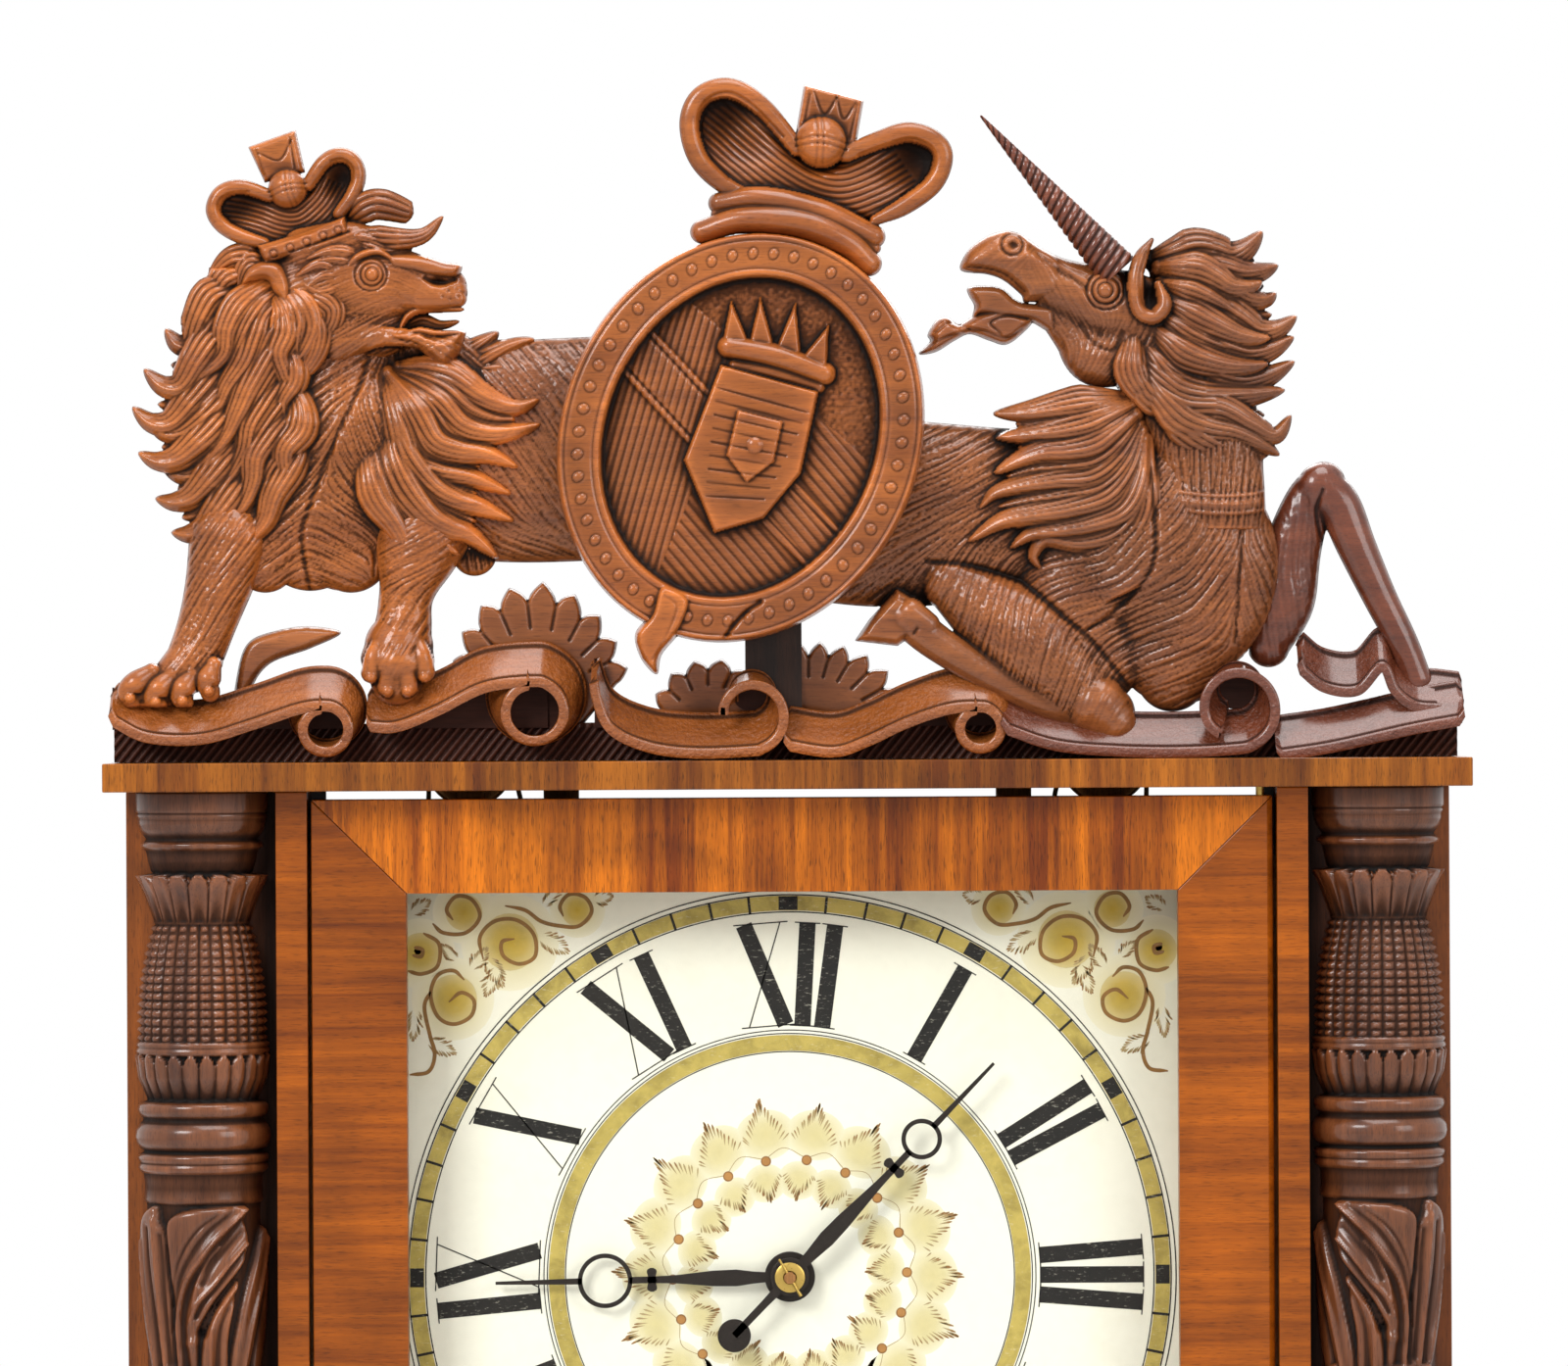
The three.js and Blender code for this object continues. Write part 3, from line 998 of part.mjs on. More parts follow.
const postZ = vergeZ + 3 + FIT_GAP;
add("back_plate", join(
  plate(plateOutline, backPlateY, plateBackFace, holes),
  ...pillars.map(([x, z]) => rod(x, dialZ + z, PILLAR_RADIUS, frontPlateBack + GLUE_GAP, backPlateY + 1,
    8)),
  box(-7, 7, plateBackFace - 1, rodY + 5, postZ, postZ + 12),
), "cherry");
for (const [name, side] of [["left_movement_rail", -1], ["right_movement_rail", 1]]) {
  const x = side * movementRailX;
  add(name, box(x - RAIL_WIDTH / 2, x + RAIL_WIDTH / 2, plateBackFace + GLUE_GAP,
    plateBackFace + GLUE_GAP + RAIL_WIDTH,
    caseBottom, caseTop), "pine");
}

// WEIGHTS, CORDS, DRUMS AND PULLEYS

const weightX = PULLEY_OUT + pulleyRun;
const weightBottom = baseTop + WEIGHT_FLOOR_GAP;
const weightTop = weightBottom + WEIGHT_LENGTH;
const HOOK_HEIGHT = 10;
const KEY_SQUARE = 2.4;

// Round cord carried along a chain of points in the plane of its drum and pulley.
function cord(points) {
  const rings = points.map((p, i) => {
    const before = points[Math.max(i - 1, 0)];
    const after = points[Math.min(i + 1, points.length - 1)];
    const dx = after[0] - before[0];
    const dz = after[1] - before[1];
    const size = Math.hypot(dx, dz);
    return Array.from({ length: 6 }, (_, j) => {
      const a = (2 * Math.PI * j) / 6;
      const out = CORD_RADIUS * Math.cos(a);
      return new THREE.Vector3(p[0] - (dz / size) * out, cordY + CORD_RADIUS * Math.sin(a),
        p[1] + (dx / size) * out);
    });
  });
  return skin(rings);
}
for (const [name, side] of [["time", -1], ["strike", 1]]) {
  const drumX = side * greatSide;
  const pulleyX = side * PULLEY_OUT;
  const isTime = name === "time";
  const wheelParts = isTime ? [] : [
    plate(toothed(GREAT_TEETH, GREAT_MODULE, 0, drumX, great.z), ...strikeY),
  ];
  add(`${name}_drum`, join(
    rod(drumX, great.z, DRUM_ARBOR, frontPlateY - 0.5, pivotEnds[1], 10),
    rod(drumX, great.z, KEY_SQUARE * Math.SQRT2, dialFront + DIAL_THICK + 1, frontPlateY, 4),
    turnedAcross([
      [0, drumY[0]], [drumFlange, drumY[0]], [drumFlange, drumY[0] + 1.2], [DRUM_RADIUS, drumY[0] + 1.2],
      [DRUM_RADIUS, drumY[1] - 1.2], [drumFlange, drumY[1] - 1.2], [drumFlange, drumY[1]], [0, drumY[1]],
    ], drumX, great.z, 12),
    ...wheelParts,
  ), "cherry");
  add(`${name}_pulley`, join(
    turnedAcross([
      [0, cordY - PULLEY_THICK / 2], [pulleyFlange, cordY - PULLEY_THICK / 2], [PULLEY_RADIUS, cordY - 0.8],
      [PULLEY_RADIUS, cordY + 0.8], [pulleyFlange, cordY + PULLEY_THICK / 2], [0, cordY + PULLEY_THICK / 2],
    ], pulleyX, pulleyZ, 14),
    rod(pulleyX, pulleyZ, 1.5, cordY - 10, cordY + 10, 8),
  ), "cherry");
  // Straight run between the inner side of the pulley and the outer side of the drum.
  const dx = drumX - pulleyX;
  const dz = great.z - pulleyZ;
  const lean = Math.asin((pulleyRun + drumRun) / Math.hypot(dx, dz));
  const run = Math.atan2(dz, -side * dx) - lean;
  const normal = [Math.sin(run) * side, Math.cos(run)];
  const points = [[drumX + normal[0] * -drumRun * 1, great.z - normal[1] * drumRun]];
  const startAngle = Math.atan2(normal[1], normal[0]);
  const endAngle = side < 0 ? Math.PI : 0;
  for (let i = 0; i <= 8; i++) {
    const a = startAngle + ((endAngle - startAngle) * i) / 8;
    points.push([pulleyX + pulleyRun * Math.cos(a), pulleyZ + pulleyRun * Math.sin(a)]);
  }
  points.push([side * weightX, weightTop + HOOK_HEIGHT + GLUE_GAP]);
  add(`${name}_cord`, cord(points), "cord");
  const weight = join(
    turned([
      [0, weightBottom], [WEIGHT_RADIUS - 1.5, weightBottom], [WEIGHT_RADIUS, weightBottom + 1.5],
      [WEIGHT_RADIUS, weightTop - 6], [WEIGHT_RADIUS - 6, weightTop], [0, weightTop],
    ], side * weightX, cordY, 14),
    turned([[0, weightTop - 1], [1.6, weightTop - 1], [1.6, weightTop + HOOK_HEIGHT],
      [0, weightTop + HOOK_HEIGHT]],
      side * weightX, cordY, 8),
  );
  add(`${name}_weight`, weight, "iron");
}

// STRIKE

const bellZ = baseTop + BELL_RISE;
const bellBack = backBoardFront - GLUE_GAP;
const bellMouth = bellBack - 20;
add("bell", turnedAcross([
  [0, bellBack], [3, bellBack], [3, bellBack - 5], [0.45 * BELL_RADIUS, bellBack - 5.8],
    [0.8 * BELL_RADIUS, bellBack - 9],
  [0.95 * BELL_RADIUS, bellMouth + 5], [BELL_RADIUS, bellMouth], [BELL_RADIUS - BELL_WALL, bellMouth],
  [0.95 * BELL_RADIUS - BELL_WALL, bellMouth + 5], [0.8 * BELL_RADIUS - BELL_WALL * 0.8, bellBack - 11],
  [0.42 * BELL_RADIUS, bellBack - 8.2], [0, bellBack - 7.6],
], BELL_X, bellZ, 12), "brass");
const hammerArmY = bellMouth + 3;
const headX = BELL_X + BELL_RADIUS + 2.4;
const hammerHead = new THREE.CylinderGeometry(5, 5, 13, 10).rotateZ(Math.PI / 2);
hammerHead.translate(headX + 6.5, hammerArmY, bellZ);
const armShift = headX + 6.5 - hammerX;
const arm = plate([
  [hammerX - 1.3, hammerZ], [hammerX - 1.3 + armShift, bellZ], [hammerX + 1.3 + armShift, bellZ],
    [hammerX + 1.3, hammerZ],
], hammerArmY - 1.3, hammerArmY + 1.3);
add("hammer", join(
  rod(hammerX, hammerZ, ARBOR, frontPlateY + 1.5, hammerArmY + 1.3, 10),
  arm,
  hammerHead,
), "steel");

export default group;
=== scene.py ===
"""Looks of a weight-driven shelf clock with a carved crest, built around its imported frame.

Sizes inside the shape functions are millimetres in the frame's axes: X to the right, Y to the back, Z up.
"""

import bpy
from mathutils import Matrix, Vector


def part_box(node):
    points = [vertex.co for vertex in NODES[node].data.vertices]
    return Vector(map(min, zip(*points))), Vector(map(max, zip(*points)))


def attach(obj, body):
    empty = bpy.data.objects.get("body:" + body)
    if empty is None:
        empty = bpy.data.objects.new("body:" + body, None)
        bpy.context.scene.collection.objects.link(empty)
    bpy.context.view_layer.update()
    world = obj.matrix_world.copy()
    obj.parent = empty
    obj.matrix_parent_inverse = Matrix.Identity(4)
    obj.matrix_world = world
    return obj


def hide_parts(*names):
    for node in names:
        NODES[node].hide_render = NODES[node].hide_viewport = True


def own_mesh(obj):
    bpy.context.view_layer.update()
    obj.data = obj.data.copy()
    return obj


bl_info = {
    "name": "Carved shelf clock",
    "version": (1, 0, 0),
    "blender": (4, 5, 0),
    "location": "View3D > Sidebar > Clock",
    "description": "Carved crest, columns, dial and finishes of a shelf clock",
    "category": "Object",
}

import math

import bpy
import numpy as np

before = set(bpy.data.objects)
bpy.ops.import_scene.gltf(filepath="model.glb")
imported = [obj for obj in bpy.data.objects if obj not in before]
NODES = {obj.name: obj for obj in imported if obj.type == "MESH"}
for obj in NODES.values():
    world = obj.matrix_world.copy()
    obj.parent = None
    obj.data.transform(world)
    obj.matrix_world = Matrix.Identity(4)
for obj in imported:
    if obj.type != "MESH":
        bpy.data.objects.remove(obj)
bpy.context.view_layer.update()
MM = 0.001


def node_box(name):
    """Lowest and highest corner of a CAD node in millimetres."""
    low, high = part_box(name)
    return np.array(low) / MM, np.array(high) / MM


def node_middle(name):
    """Middle of a CAD node's box in millimetres."""
    low, high = node_box(name)
    return (low + high) / 2


# The crest's figures stand a setback behind the cornice's front edge.
CREST_SETBACK = 31.0
CREST_Y = node_box("cornice")[0][1] + CREST_SETBACK
CORNICE_TOP = node_box("cornice")[1][2]
DIAL_FRONT = node_box("dial")[0][1]
DIAL_Z = node_middle("dial")[2]

# Picture plane: one picture unit in millimetres where the crest stands, and its origin on the cornice.
PICTURE_WIDTH, PICTURE_HEIGHT = 1600, 1394
PICTURE_UNIT = 0.3283
PICTURE_ZERO = (803.0, 779.0)
PICTURE_ROLL = math.radians(0.29)
PLANE_Y = -60.0
CAMERA_DISTANCE = 3000.0


# SETTINGS

def colour_prop(label, value):
    """Colour property in linear RGB from a hex string in sRGB."""
    return bpy.props.FloatVectorProperty(
        name=label, description=f"Colour of the {label.lower()}", subtype="COLOR", size=3,
        min=0.0, max=1.0, default=linear(value))


def length_prop(label, text, value):
    """Length property in metres from a value in millimetres."""
    return bpy.props.FloatProperty(name=label, description=text, default=value * MM, unit="LENGTH", min=0.0)


def linear(hexa):
    """Linear RGB of an sRGB hex colour: each channel raised by the sRGB curve."""
    raw = np.array([int(hexa[i:i + 2], 16) for i in (1, 3, 5)]) / 255
    return tuple(np.where(raw <= 0.04045, raw / 12.92, ((raw + 0.055) / 1.055) ** 2.4))


class ClockFinish(bpy.types.PropertyGroup):
    """Colours of the clock's finishes"""
    veneer_pale: colour_prop("Veneer, pale grain", "#e07a16")
    veneer_deep: colour_prop("Veneer, deep grain", "#7c3608")
    carved_pale: colour_prop("Carved wood, pale", "#ac6129")
    carved_deep: colour_prop("Carved wood, deep", "#733a16")
    dark_pale: colour_prop("Dark turned wood, pale", "#7f4a2a")
    dark_deep: colour_prop("Dark turned wood, deep", "#482411")
    cream: colour_prop("Dial ground", "#fffbe8")
    ink: colour_prop("Dial ink", "#1d1a17")
    gilt: colour_prop("Dial gilding", "#c9b25e")
    sepia: colour_prop("Dial leaf paint", "#b9a072")


class ClockSizes(bpy.types.PropertyGroup):
    """Sizes of the clock's added forms"""
    fur_depth: length_prop("Fur depth", "Depth of the gouge strokes on the figures", 0.52)
    strand_depth: length_prop("Strand depth", "Depth of the grooves in a lock of hair", 0.95)
    column_step: length_prop("Column step", "Grid step of the carved columns", 0.72)
    ribbon_width: length_prop("Ribbon width", "Width of the carved ribbon", 17.0)
    numeral_outer: length_prop("Numeral top", "Radius of the top of the dial numerals", 119.4)
    numeral_inner: length_prop("Numeral foot", "Radius of the foot of the dial numerals", 84.8)
    hand_thickness: length_prop("Hand thickness", "Thickness of the two hands", 1.0)
    camera_distance: length_prop("Camera distance", "From the middle of the clock to the camera",
                                 CAMERA_DISTANCE)


def sizes():
    """The scene's own sizes."""
    return bpy.context.scene.clock_sizes


def finish():
    """The scene's own colours."""
    return bpy.context.scene.clock_finish


# ARRAYS AND MESHES

FINISHES = {}


def smooth_path(points, count, closed=False):
    """Catmull-Rom curve in count samples: spans blend their ends and neighbours with cubic weights."""
    p = np.asarray(points, float)
    if closed:
        p = np.vstack([p[-1:], p, p[:2]])
        t = np.linspace(0, len(p) - 3, count, endpoint=False)
    else:
        p = np.vstack([2 * p[0] - p[1], p, 2 * p[-1] - p[-2]])
        t = np.linspace(0, len(p) - 3, count)
    i = np.minimum(t.astype(int), len(p) - 4)
    u = (t - i)[:, None]
    a, b, c, d = (p[i + k] for k in range(4))
    square, cube = 2 * a - 5 * b + 4 * c - d, 3 * b - a - 3 * c + d
    return 0.5 * (2 * b + (c - a) * u + square * u ** 2 + cube * u ** 3)


def grid_quads(rows, columns, wrap=False):
    """Corner numbers of the quads of a grid stored row by row; wrap joins the last column to the first."""
    wide = columns if wrap else columns - 1
    i, j = np.meshgrid(np.arange(rows - 1), np.arange(wide), indexing="ij")
    k = (j + 1) % columns
    corners = i * columns + j, i * columns + k, (i + 1) * columns + k, (i + 1) * columns + j
    return np.stack(corners, -1).reshape(-1, 4)


def sweep_faces(rows, columns, flip=False):
    """Faces of a run of closed sections: quads between them and one face over each end, or all flipped."""
    ring = np.arange(columns)
    faces = grid_quads(rows, columns, True), ring[None, ::-1], (ring + (rows - 1) * columns)[None]
    return tuple(f[:, ::-1] for f in faces) if flip else faces


def unit(ways):
    """Directions scaled to length one."""
    return ways / (np.linalg.norm(ways, axis=1, keepdims=True) + 1e-12)


def circle(count):
    """Points of a circle of radius one, from the right and anticlockwise."""
    a = np.linspace(0, 2 * np.pi, count, endpoint=False)
    return np.stack([np.cos(a), np.sin(a)], -1)


def quarter_round(inside, width):
    """Rise from nought at an outline to one at a width inside it, along a quarter of a circle."""
    return np.sqrt(np.clip(1 - (1 - np.clip(inside / width, 0, 1)) ** 2, 0, 1))


class Form:
    """Vertices and faces gathered from several surfaces, with a cavity value at each vertex."""

    def __init__(self):
        self.points, self.faces, self.cavity, self.count = [], [], [], 0

    def add(self, points, *faces, cavity=0.5):
        points = np.asarray(points, float).reshape(-1, 3)
        self.points.append(points)
        self.faces += [np.asarray(f, int) + self.count for f in faces if len(f)]
        self.cavity.append(np.broadcast_to(np.asarray(cavity, float), (len(points),)))
        self.count += len(points)
        return self

    def piece(self, name, finish_name, body, slot, replaces=(), sharp=40):
        """Writes the arrays into a mesh object at the origin, in metres, and puts it on its CAD body."""
        points = np.vstack(self.points) * MM
        mesh = bpy.data.meshes.new(name)
        mesh.vertices.add(len(points))
        mesh.vertices.foreach_set("co", points.astype(np.float32).ravel())
        size = np.concatenate([np.full(len(f), f.shape[1]) for f in self.faces])
        corners = np.concatenate([f.ravel() for f in self.faces])
        mesh.loops.add(len(corners))
        mesh.loops.foreach_set("vertex_index", corners.astype(np.int32))
        mesh.polygons.add(len(size))
        mesh.polygons.foreach_set("loop_start", (np.cumsum(size) - size).astype(np.int32))
        mesh.polygons.foreach_set("use_smooth", np.ones(len(size), bool))
        mesh.update(calc_edges=True)
        if mesh.validate():
            raise RuntimeError(f"{name} has faces that can't be kept")
        mesh.attributes.new("cavity", "FLOAT", "POINT").data.foreach_set(
            "value", np.concatenate(self.cavity).astype(np.float32))
        if sharp:
            mesh.set_sharp_from_angle(angle=math.radians(sharp))
        mesh.materials.append(FINISHES[finish_name])
        obj = bpy.data.objects.new(name, mesh)
        bpy.context.scene.collection.objects.link(obj)
        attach(obj, body)
        if replaces:
            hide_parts(*replaces)
        return obj


def lathe(profile, centre, axis="Z", sides=48, closed=False):
    """Surface of revolution: each (radius, height) pair of the profile goes round the axis.

    Flat discs close its ends, unless the profile is itself closed.
    """
    profile = np.asarray(profile, float)
    a = np.linspace(0, 2 * np.pi, sides, endpoint=False)
    r, h = profile[:, :1], profile[:, 1:]
    ring = np.stack([r * np.cos(a), r * np.sin(a), h + 0 * a], -1)
    if axis == "Y":
        ring = np.stack([ring[..., 0], ring[..., 2], -ring[..., 1]], -1)
    points = (ring + np.asarray(centre, float)).reshape(-1, 3)
    if closed:
        return points, grid_quads(len(profile) + 1, sides, wrap=True) % len(points)
    return points, *sweep_faces(len(profile), sides)


def swell(profile, each=6):
    """Profile with rounded turns: Catmull-Rom samples between its (radius, height) pairs."""
    return smooth_path(profile, (len(profile) - 1) * each + 1)


def tube(path, radius, sides=12, lay=None):
    """Closed tube: a round section along a path; with a lay, three strands wind round it once per lay."""
    path = np.asarray(path, float)
    tangent = unit(np.gradient(path, axis=0))
    across = unit(np.cross(tangent, [0.0, 1.0, 0.0]))
    up = np.cross(across, tangent)
    a = np.linspace(0, 2 * np.pi, sides, endpoint=False)
    r = np.broadcast_to(np.asarray(radius, float), (len(path),))[:, None] * np.ones(sides)
    if lay:
        along = np.concatenate([[0], np.cumsum(np.linalg.norm(np.diff(path, axis=0), axis=1))])
        r = r * (0.86 + 0.14 * np.abs(np.cos(1.5 * (a + 2 * np.pi * along[:, None] / lay))))
    out = np.cos(a)[:, None] * across[:, None] + np.sin(a)[:, None] * up[:, None]
    rings = path[:, None] + r[..., None] * out
    return rings.reshape(-1, 3), *sweep_faces(len(path), sides, True)


def level(outline, y):
    """Points of an outline in X and Z at one Y."""
    return np.column_stack([outline[:, 0], np.full(len(outline), y), outline[:, 1]])


def strip(path, half, front, back, closed=False):
    """Flat bar in the dial's plane: a box section of varying half width carried along a path in X and Z."""
    p = np.asarray(path, float)
    way = unit((np.roll(p, -1, 0) - np.roll(p, 1, 0)) if closed else np.gradient(p, axis=0))
    halves = np.broadcast_to(np.asarray(half, float), (len(p),))
    side = np.stack([-way[:, 1], way[:, 0]], -1) * halves[:, None]
    a, b = p + side, p - side
    corners = (a, front), (b, front), (b, back), (a, back)
    points = np.stack([level(q, y) for q, y in corners], 1).reshape(-1, 3)
    if closed:
        return points, grid_quads(len(p) + 1, 4, True) % len(points)
    return points, *sweep_faces(len(p), 4)


def slab(outline, y0, y1, bevel=0.0):
    """Flat plate: a closed outline in X and Z carried from y0 to y1, its two rims drawn in by a bevel."""
    p = np.asarray(outline, float)
    tangent = np.roll(p, -1, 0) - np.roll(p, 1, 0)
    normal = unit(np.stack([tangent[:, 1], -tangent[:, 0]], -1))
    area = np.sum(p[:, 0] * np.roll(p[:, 1], -1) - np.roll(p[:, 0], -1) * p[:, 1])
    inner = p - normal * bevel * np.sign(area)
    levels = [(inner, y0), (p, y0 + bevel), (p, y1 - bevel), (inner, y1)] if bevel else [(p, y0), (p, y1)]
    points = np.concatenate([level(q, y) for q, y in levels])
    return points, *sweep_faces(len(levels), len(p), area >= 0)


# MATERIALS

class Mixer:
    """Small helper that adds nodes to one material and links them."""

    def __init__(self, name):
        self.material = bpy.data.materials.new(name)
        self.material.use_nodes = True
        self.tree = self.material.node_tree
        self.shader = self.tree.nodes["Principled BSDF"]

    def node(self, kind, inputs=None, **settings):
        made = self.tree.nodes.new(kind)
        for key, value in settings.items():
            setattr(made, key, value)
        for key, value in (inputs or {}).items():
            self.set(made.inputs[key], value)
        return made

    def set(self, socket, value):
        """Links a socket or a node's first output, or writes a value; a hex string is a colour in sRGB."""
        if isinstance(value, bpy.types.NodeSocket):
            self.tree.links.new(value, socket)
        elif isinstance(value, bpy.types.Node):
            self.tree.links.new(value.outputs[0], socket)
        else:
            if isinstance(value, str):
                value = linear(value)
            opaque = socket.type == "RGBA" and len(value) == 3
            socket.default_value = (*value, 1.0) if opaque else value

    def ramp(self, value, *stops):
        made = self.node("ShaderNodeValToRGB", {"Fac": value})
        elements = made.color_ramp.elements
        while len(elements) < len(stops):
            elements.new(0.5)
        for element, (at, shade) in zip(elements, stops):
            element.position = at
            element.color = (shade, shade, shade, 1) if not hasattr(shade, "__len__") else (*shade, 1)
        return made.outputs["Color"]

    def mix(self, factor, a, b, kind="MIX"):
        made = self.node("ShaderNodeMix", data_type="RGBA", blend_type=kind)
        self.set(made.inputs[0], factor)
        self.set(made.inputs[6], a)
        self.set(made.inputs[7], b)
        return made.outputs[2]

    def math(self, operation, a, b=0.5):
        made = self.node("ShaderNodeMath", operation=operation)
        self.set(made.inputs[0], a)
        self.set(made.inputs[1], b)
        return made.outputs[0]

    def noise(self, scale, detail=4.0, rough=0.55, twist=0.0, turn=(0, 0, 0)):
        """Noise on Object coordinates, stretched by three scales per metre."""
        place = self.node("ShaderNodeTexCoord").outputs["Object"]
        place = self.node("ShaderNodeMapping", {"Vector": place, "Scale": scale, "Rotation": turn})
        return self.node("ShaderNodeTexNoise", {
            "Vector": place, "Scale": 1.0, "Detail": detail, "Roughness": rough, "Distortion": twist,
        }).outputs["Fac"]

    def finish(self, **inputs):
        for key, value in inputs.items():
            self.set(self.shader.inputs[key.replace("_", " ")], value)
        return self.material

    def bump(self, height, distance, strength=1.0):
        made = self.node("ShaderNodeBump", {"Height": height, "Distance": distance, "Strength": strength})
        self.set(self.shader.inputs["Normal"], made.outputs["Normal"])


def wood(name, pale, deep, grain="Z", figure=0.4, gloss=0.3, coat=0.2, carved=False, quiet=1.0, recess_shade=False,
         stipple=False, striped=0.55):
    """Polished wood: stripes and streaks along the grain, short pores, slow bands and a shellac coat.

    Carved wood darkens in its hollows as painted shade, together with old shellac there, and lightens on its
    ridges as painted highlight; a recess near the door darkens as painted shade, and a stipple roughens the
    surface.
    """
    m = Mixer(name)

    def scales(across, length):
        made = [across, across, across]
        made["XYZ".index(grain)] = length
        return made

    stripe = m.noise(scales(48, 2.6), 3, 0.5, 0.7)
    streak = m.noise(scales(260, 8), 6, 0.62, 0.5)
    fine = m.noise(scales(1100, 45), 3, 0.6)
    pore = m.noise(scales(2400, 210), 2, 0.5)
    band = m.noise(scales(20, 24), 3, 0.5, 0.8)
    blend = m.math("ADD", m.math("MULTIPLY", stripe, striped), m.math("MULTIPLY", streak, 1 - striped))
    colour = m.mix(m.ramp(blend, (0.5 - 0.13 / quiet, 0.0), (0.5 + 0.13 / quiet, 1.0)), deep, pale)
    colour = m.mix(1.0, colour, m.ramp(fine, (0.25, 1 - 0.22 * quiet), (0.70, 1 + 0.1 * quiet)), "MULTIPLY")
    colour = m.mix(1.0, colour, m.ramp(pore, (0.34, 1 - 0.4 * quiet), (0.44, 1.0)), "MULTIPLY")
    colour = m.mix(figure, colour, m.ramp(band, (0.30, 0.45), (0.68, 1.25)), "MULTIPLY")
    if carved:
        hollow = m.node("ShaderNodeAttribute", attribute_name="cavity").outputs["Fac"]
        # Painted shade and painted highlight: a low cavity darkens hollows, standing in for their shadow
        # along with old shellac, and a high cavity lightens ridges.
        colour = m.mix(1.0, colour, m.ramp(hollow, (0.0, 0.03), (0.34, 0.34), (0.5, 0.95), (1.0, 1.75)),
                       "MULTIPLY")
    if recess_shade:
        side = m.node("ShaderNodeSeparateXYZ",
                      {0: m.node("ShaderNodeTexCoord").outputs["Object"]}).outputs[0]
        # Painted shade: within a few millimetres of the jambs the colour falls almost to black, where the
        # columns and jambs shade the recess.
        grime = m.ramp(m.math("MULTIPLY", m.math("ABSOLUTE", side), 2.0), (0.352, 0.06), (0.372, 1.0))
        colour = m.mix(1.0, colour, grime, "MULTIPLY")
    if stipple:
        m.bump(m.noise((560, 560, 560), 2, 0.6), 0.0014, 0.8)
    else:
        m.bump(m.math("ADD", m.math("MULTIPLY", pore, 0.6), fine), 0.00012, 0.3)
    rough = m.ramp(fine, (0.2, gloss + 0.12), (0.8, gloss - 0.06))
    if recess_shade:
        # In that painted shade the coat fades and the surface turns rough.
        coat = m.math("MULTIPLY", grime, coat)
        rough = m.math("ADD", rough, m.ramp(grime, (0.06, 0.5), (1.0, 0.0)))
    if carved:
        rough = m.math("ADD", rough, m.ramp(hollow, (0.3, 0.35), (0.52, 0.0)))
        coat = m.math("MULTIPLY", m.ramp(hollow, (0.36, 0.0), (0.6, 1.0)), coat)
    return m.finish(Base_Color=colour, Roughness=rough, Coat_Weight=coat, Coat_Roughness=0.16,
                    Specular_IOR_Level=0.18)


def metal(name, colour, rough, wear=0.25, bright=1.0):
    """Aged metal: slow stains in the colour and fine scratches in the roughness."""
    m = Mixer(name)
    stain = m.noise((60, 60, 60), 5, 0.65, 0.6)
    fine = m.noise((900, 900, 900), 3, 0.6)
    shade = m.mix(1.0, colour, m.ramp(stain, (0.3, 1.0 - wear), (0.7, 1.0)), "MULTIPLY")
    m.bump(fine, 0.00008, 0.3)
    return m.finish(Base_Color=shade, Metallic=bright,
                    Roughness=m.ramp(fine, (0.3, rough - 0.08), (0.7, rough + 0.12)))


def paint(name, colour, crease_dirt_and_shade, share=0.25, rough=0.5, wear=0.0, scale=14.0, ground=None):
    """Aged paint: stains, fine grime and, where worn, bare flecks; a ground shows through at soft rims."""
    m = Mixer(name)
    stain = m.noise((scale, scale, scale), 6, 0.65, 0.4)
    grime = m.noise((260, 260, 260), 5, 0.7)
    shade = m.mix(m.ramp(stain, (0.42, 0.0), (0.72, share)), colour, crease_dirt_and_shade)
    shade = m.mix(1.0, shade, m.ramp(grime, (0.2, 0.9), (0.6, 1.02)), "MULTIPLY")
    if wear:
        fleck = m.noise((420, 420, 1500), 4, 0.7)
        shade = m.mix(m.ramp(fleck, (0.60, 0.0), (0.68, wear)), shade, (0.8, 0.75, 0.6))
    if ground:
        cover = m.node("ShaderNodeAttribute", attribute_name="cavity").outputs["Fac"]
        shade = m.mix(cover, ground, shade)
    m.bump(grime, 0.00005, 0.3)
    return m.finish(Base_Color=shade, Roughness=rough, Specular_IOR_Level=0.3)


def dial_ground(colour):
    """Dial ground: cream paint that darkens softly to olive with the distance from the dial's middle, as
    painted shade.
    """
    m = Mixer("dial_ground")
    place = m.node("ShaderNodeTexCoord").outputs["Object"]
    place = m.node("ShaderNodeMapping", {"Vector": place, "Location": (0, 0, -DIAL_Z * MM),
                                         "Scale": (1, 0, 1)})
    away = m.node("ShaderNodeVectorMath", {0: place}, operation="LENGTH").outputs["Value"]
    cloud = m.noise((30, 30, 30), 6, 0.65, 0.6)
    grime = m.noise((300, 300, 300), 5, 0.7)
    # Painted shade: the ground darkens towards the dial's edges and corners, broken up by the cloud.
    edge = m.math("ADD", m.math("MULTIPLY", away, 5.0), m.math("MULTIPLY", cloud, 0.22))
    shade = m.mix(m.ramp(edge, (0.62, 0.0), (0.80, 0.22), (0.98, 0.55)), colour, "#c9c19a")
    shade = m.mix(1.0, shade, m.ramp(grime, (0.2, 0.95), (0.6, 1.0)), "MULTIPLY")
    shade = m.mix(m.ramp(cloud, (0.55, 0.0), (0.8, 0.12)), shade, "#e0d6b0")
    m.bump(grime, 0.00004, 0.25)
    return m.finish(Base_Color=shade, Roughness=0.42, Specular_IOR_Level=0.3)


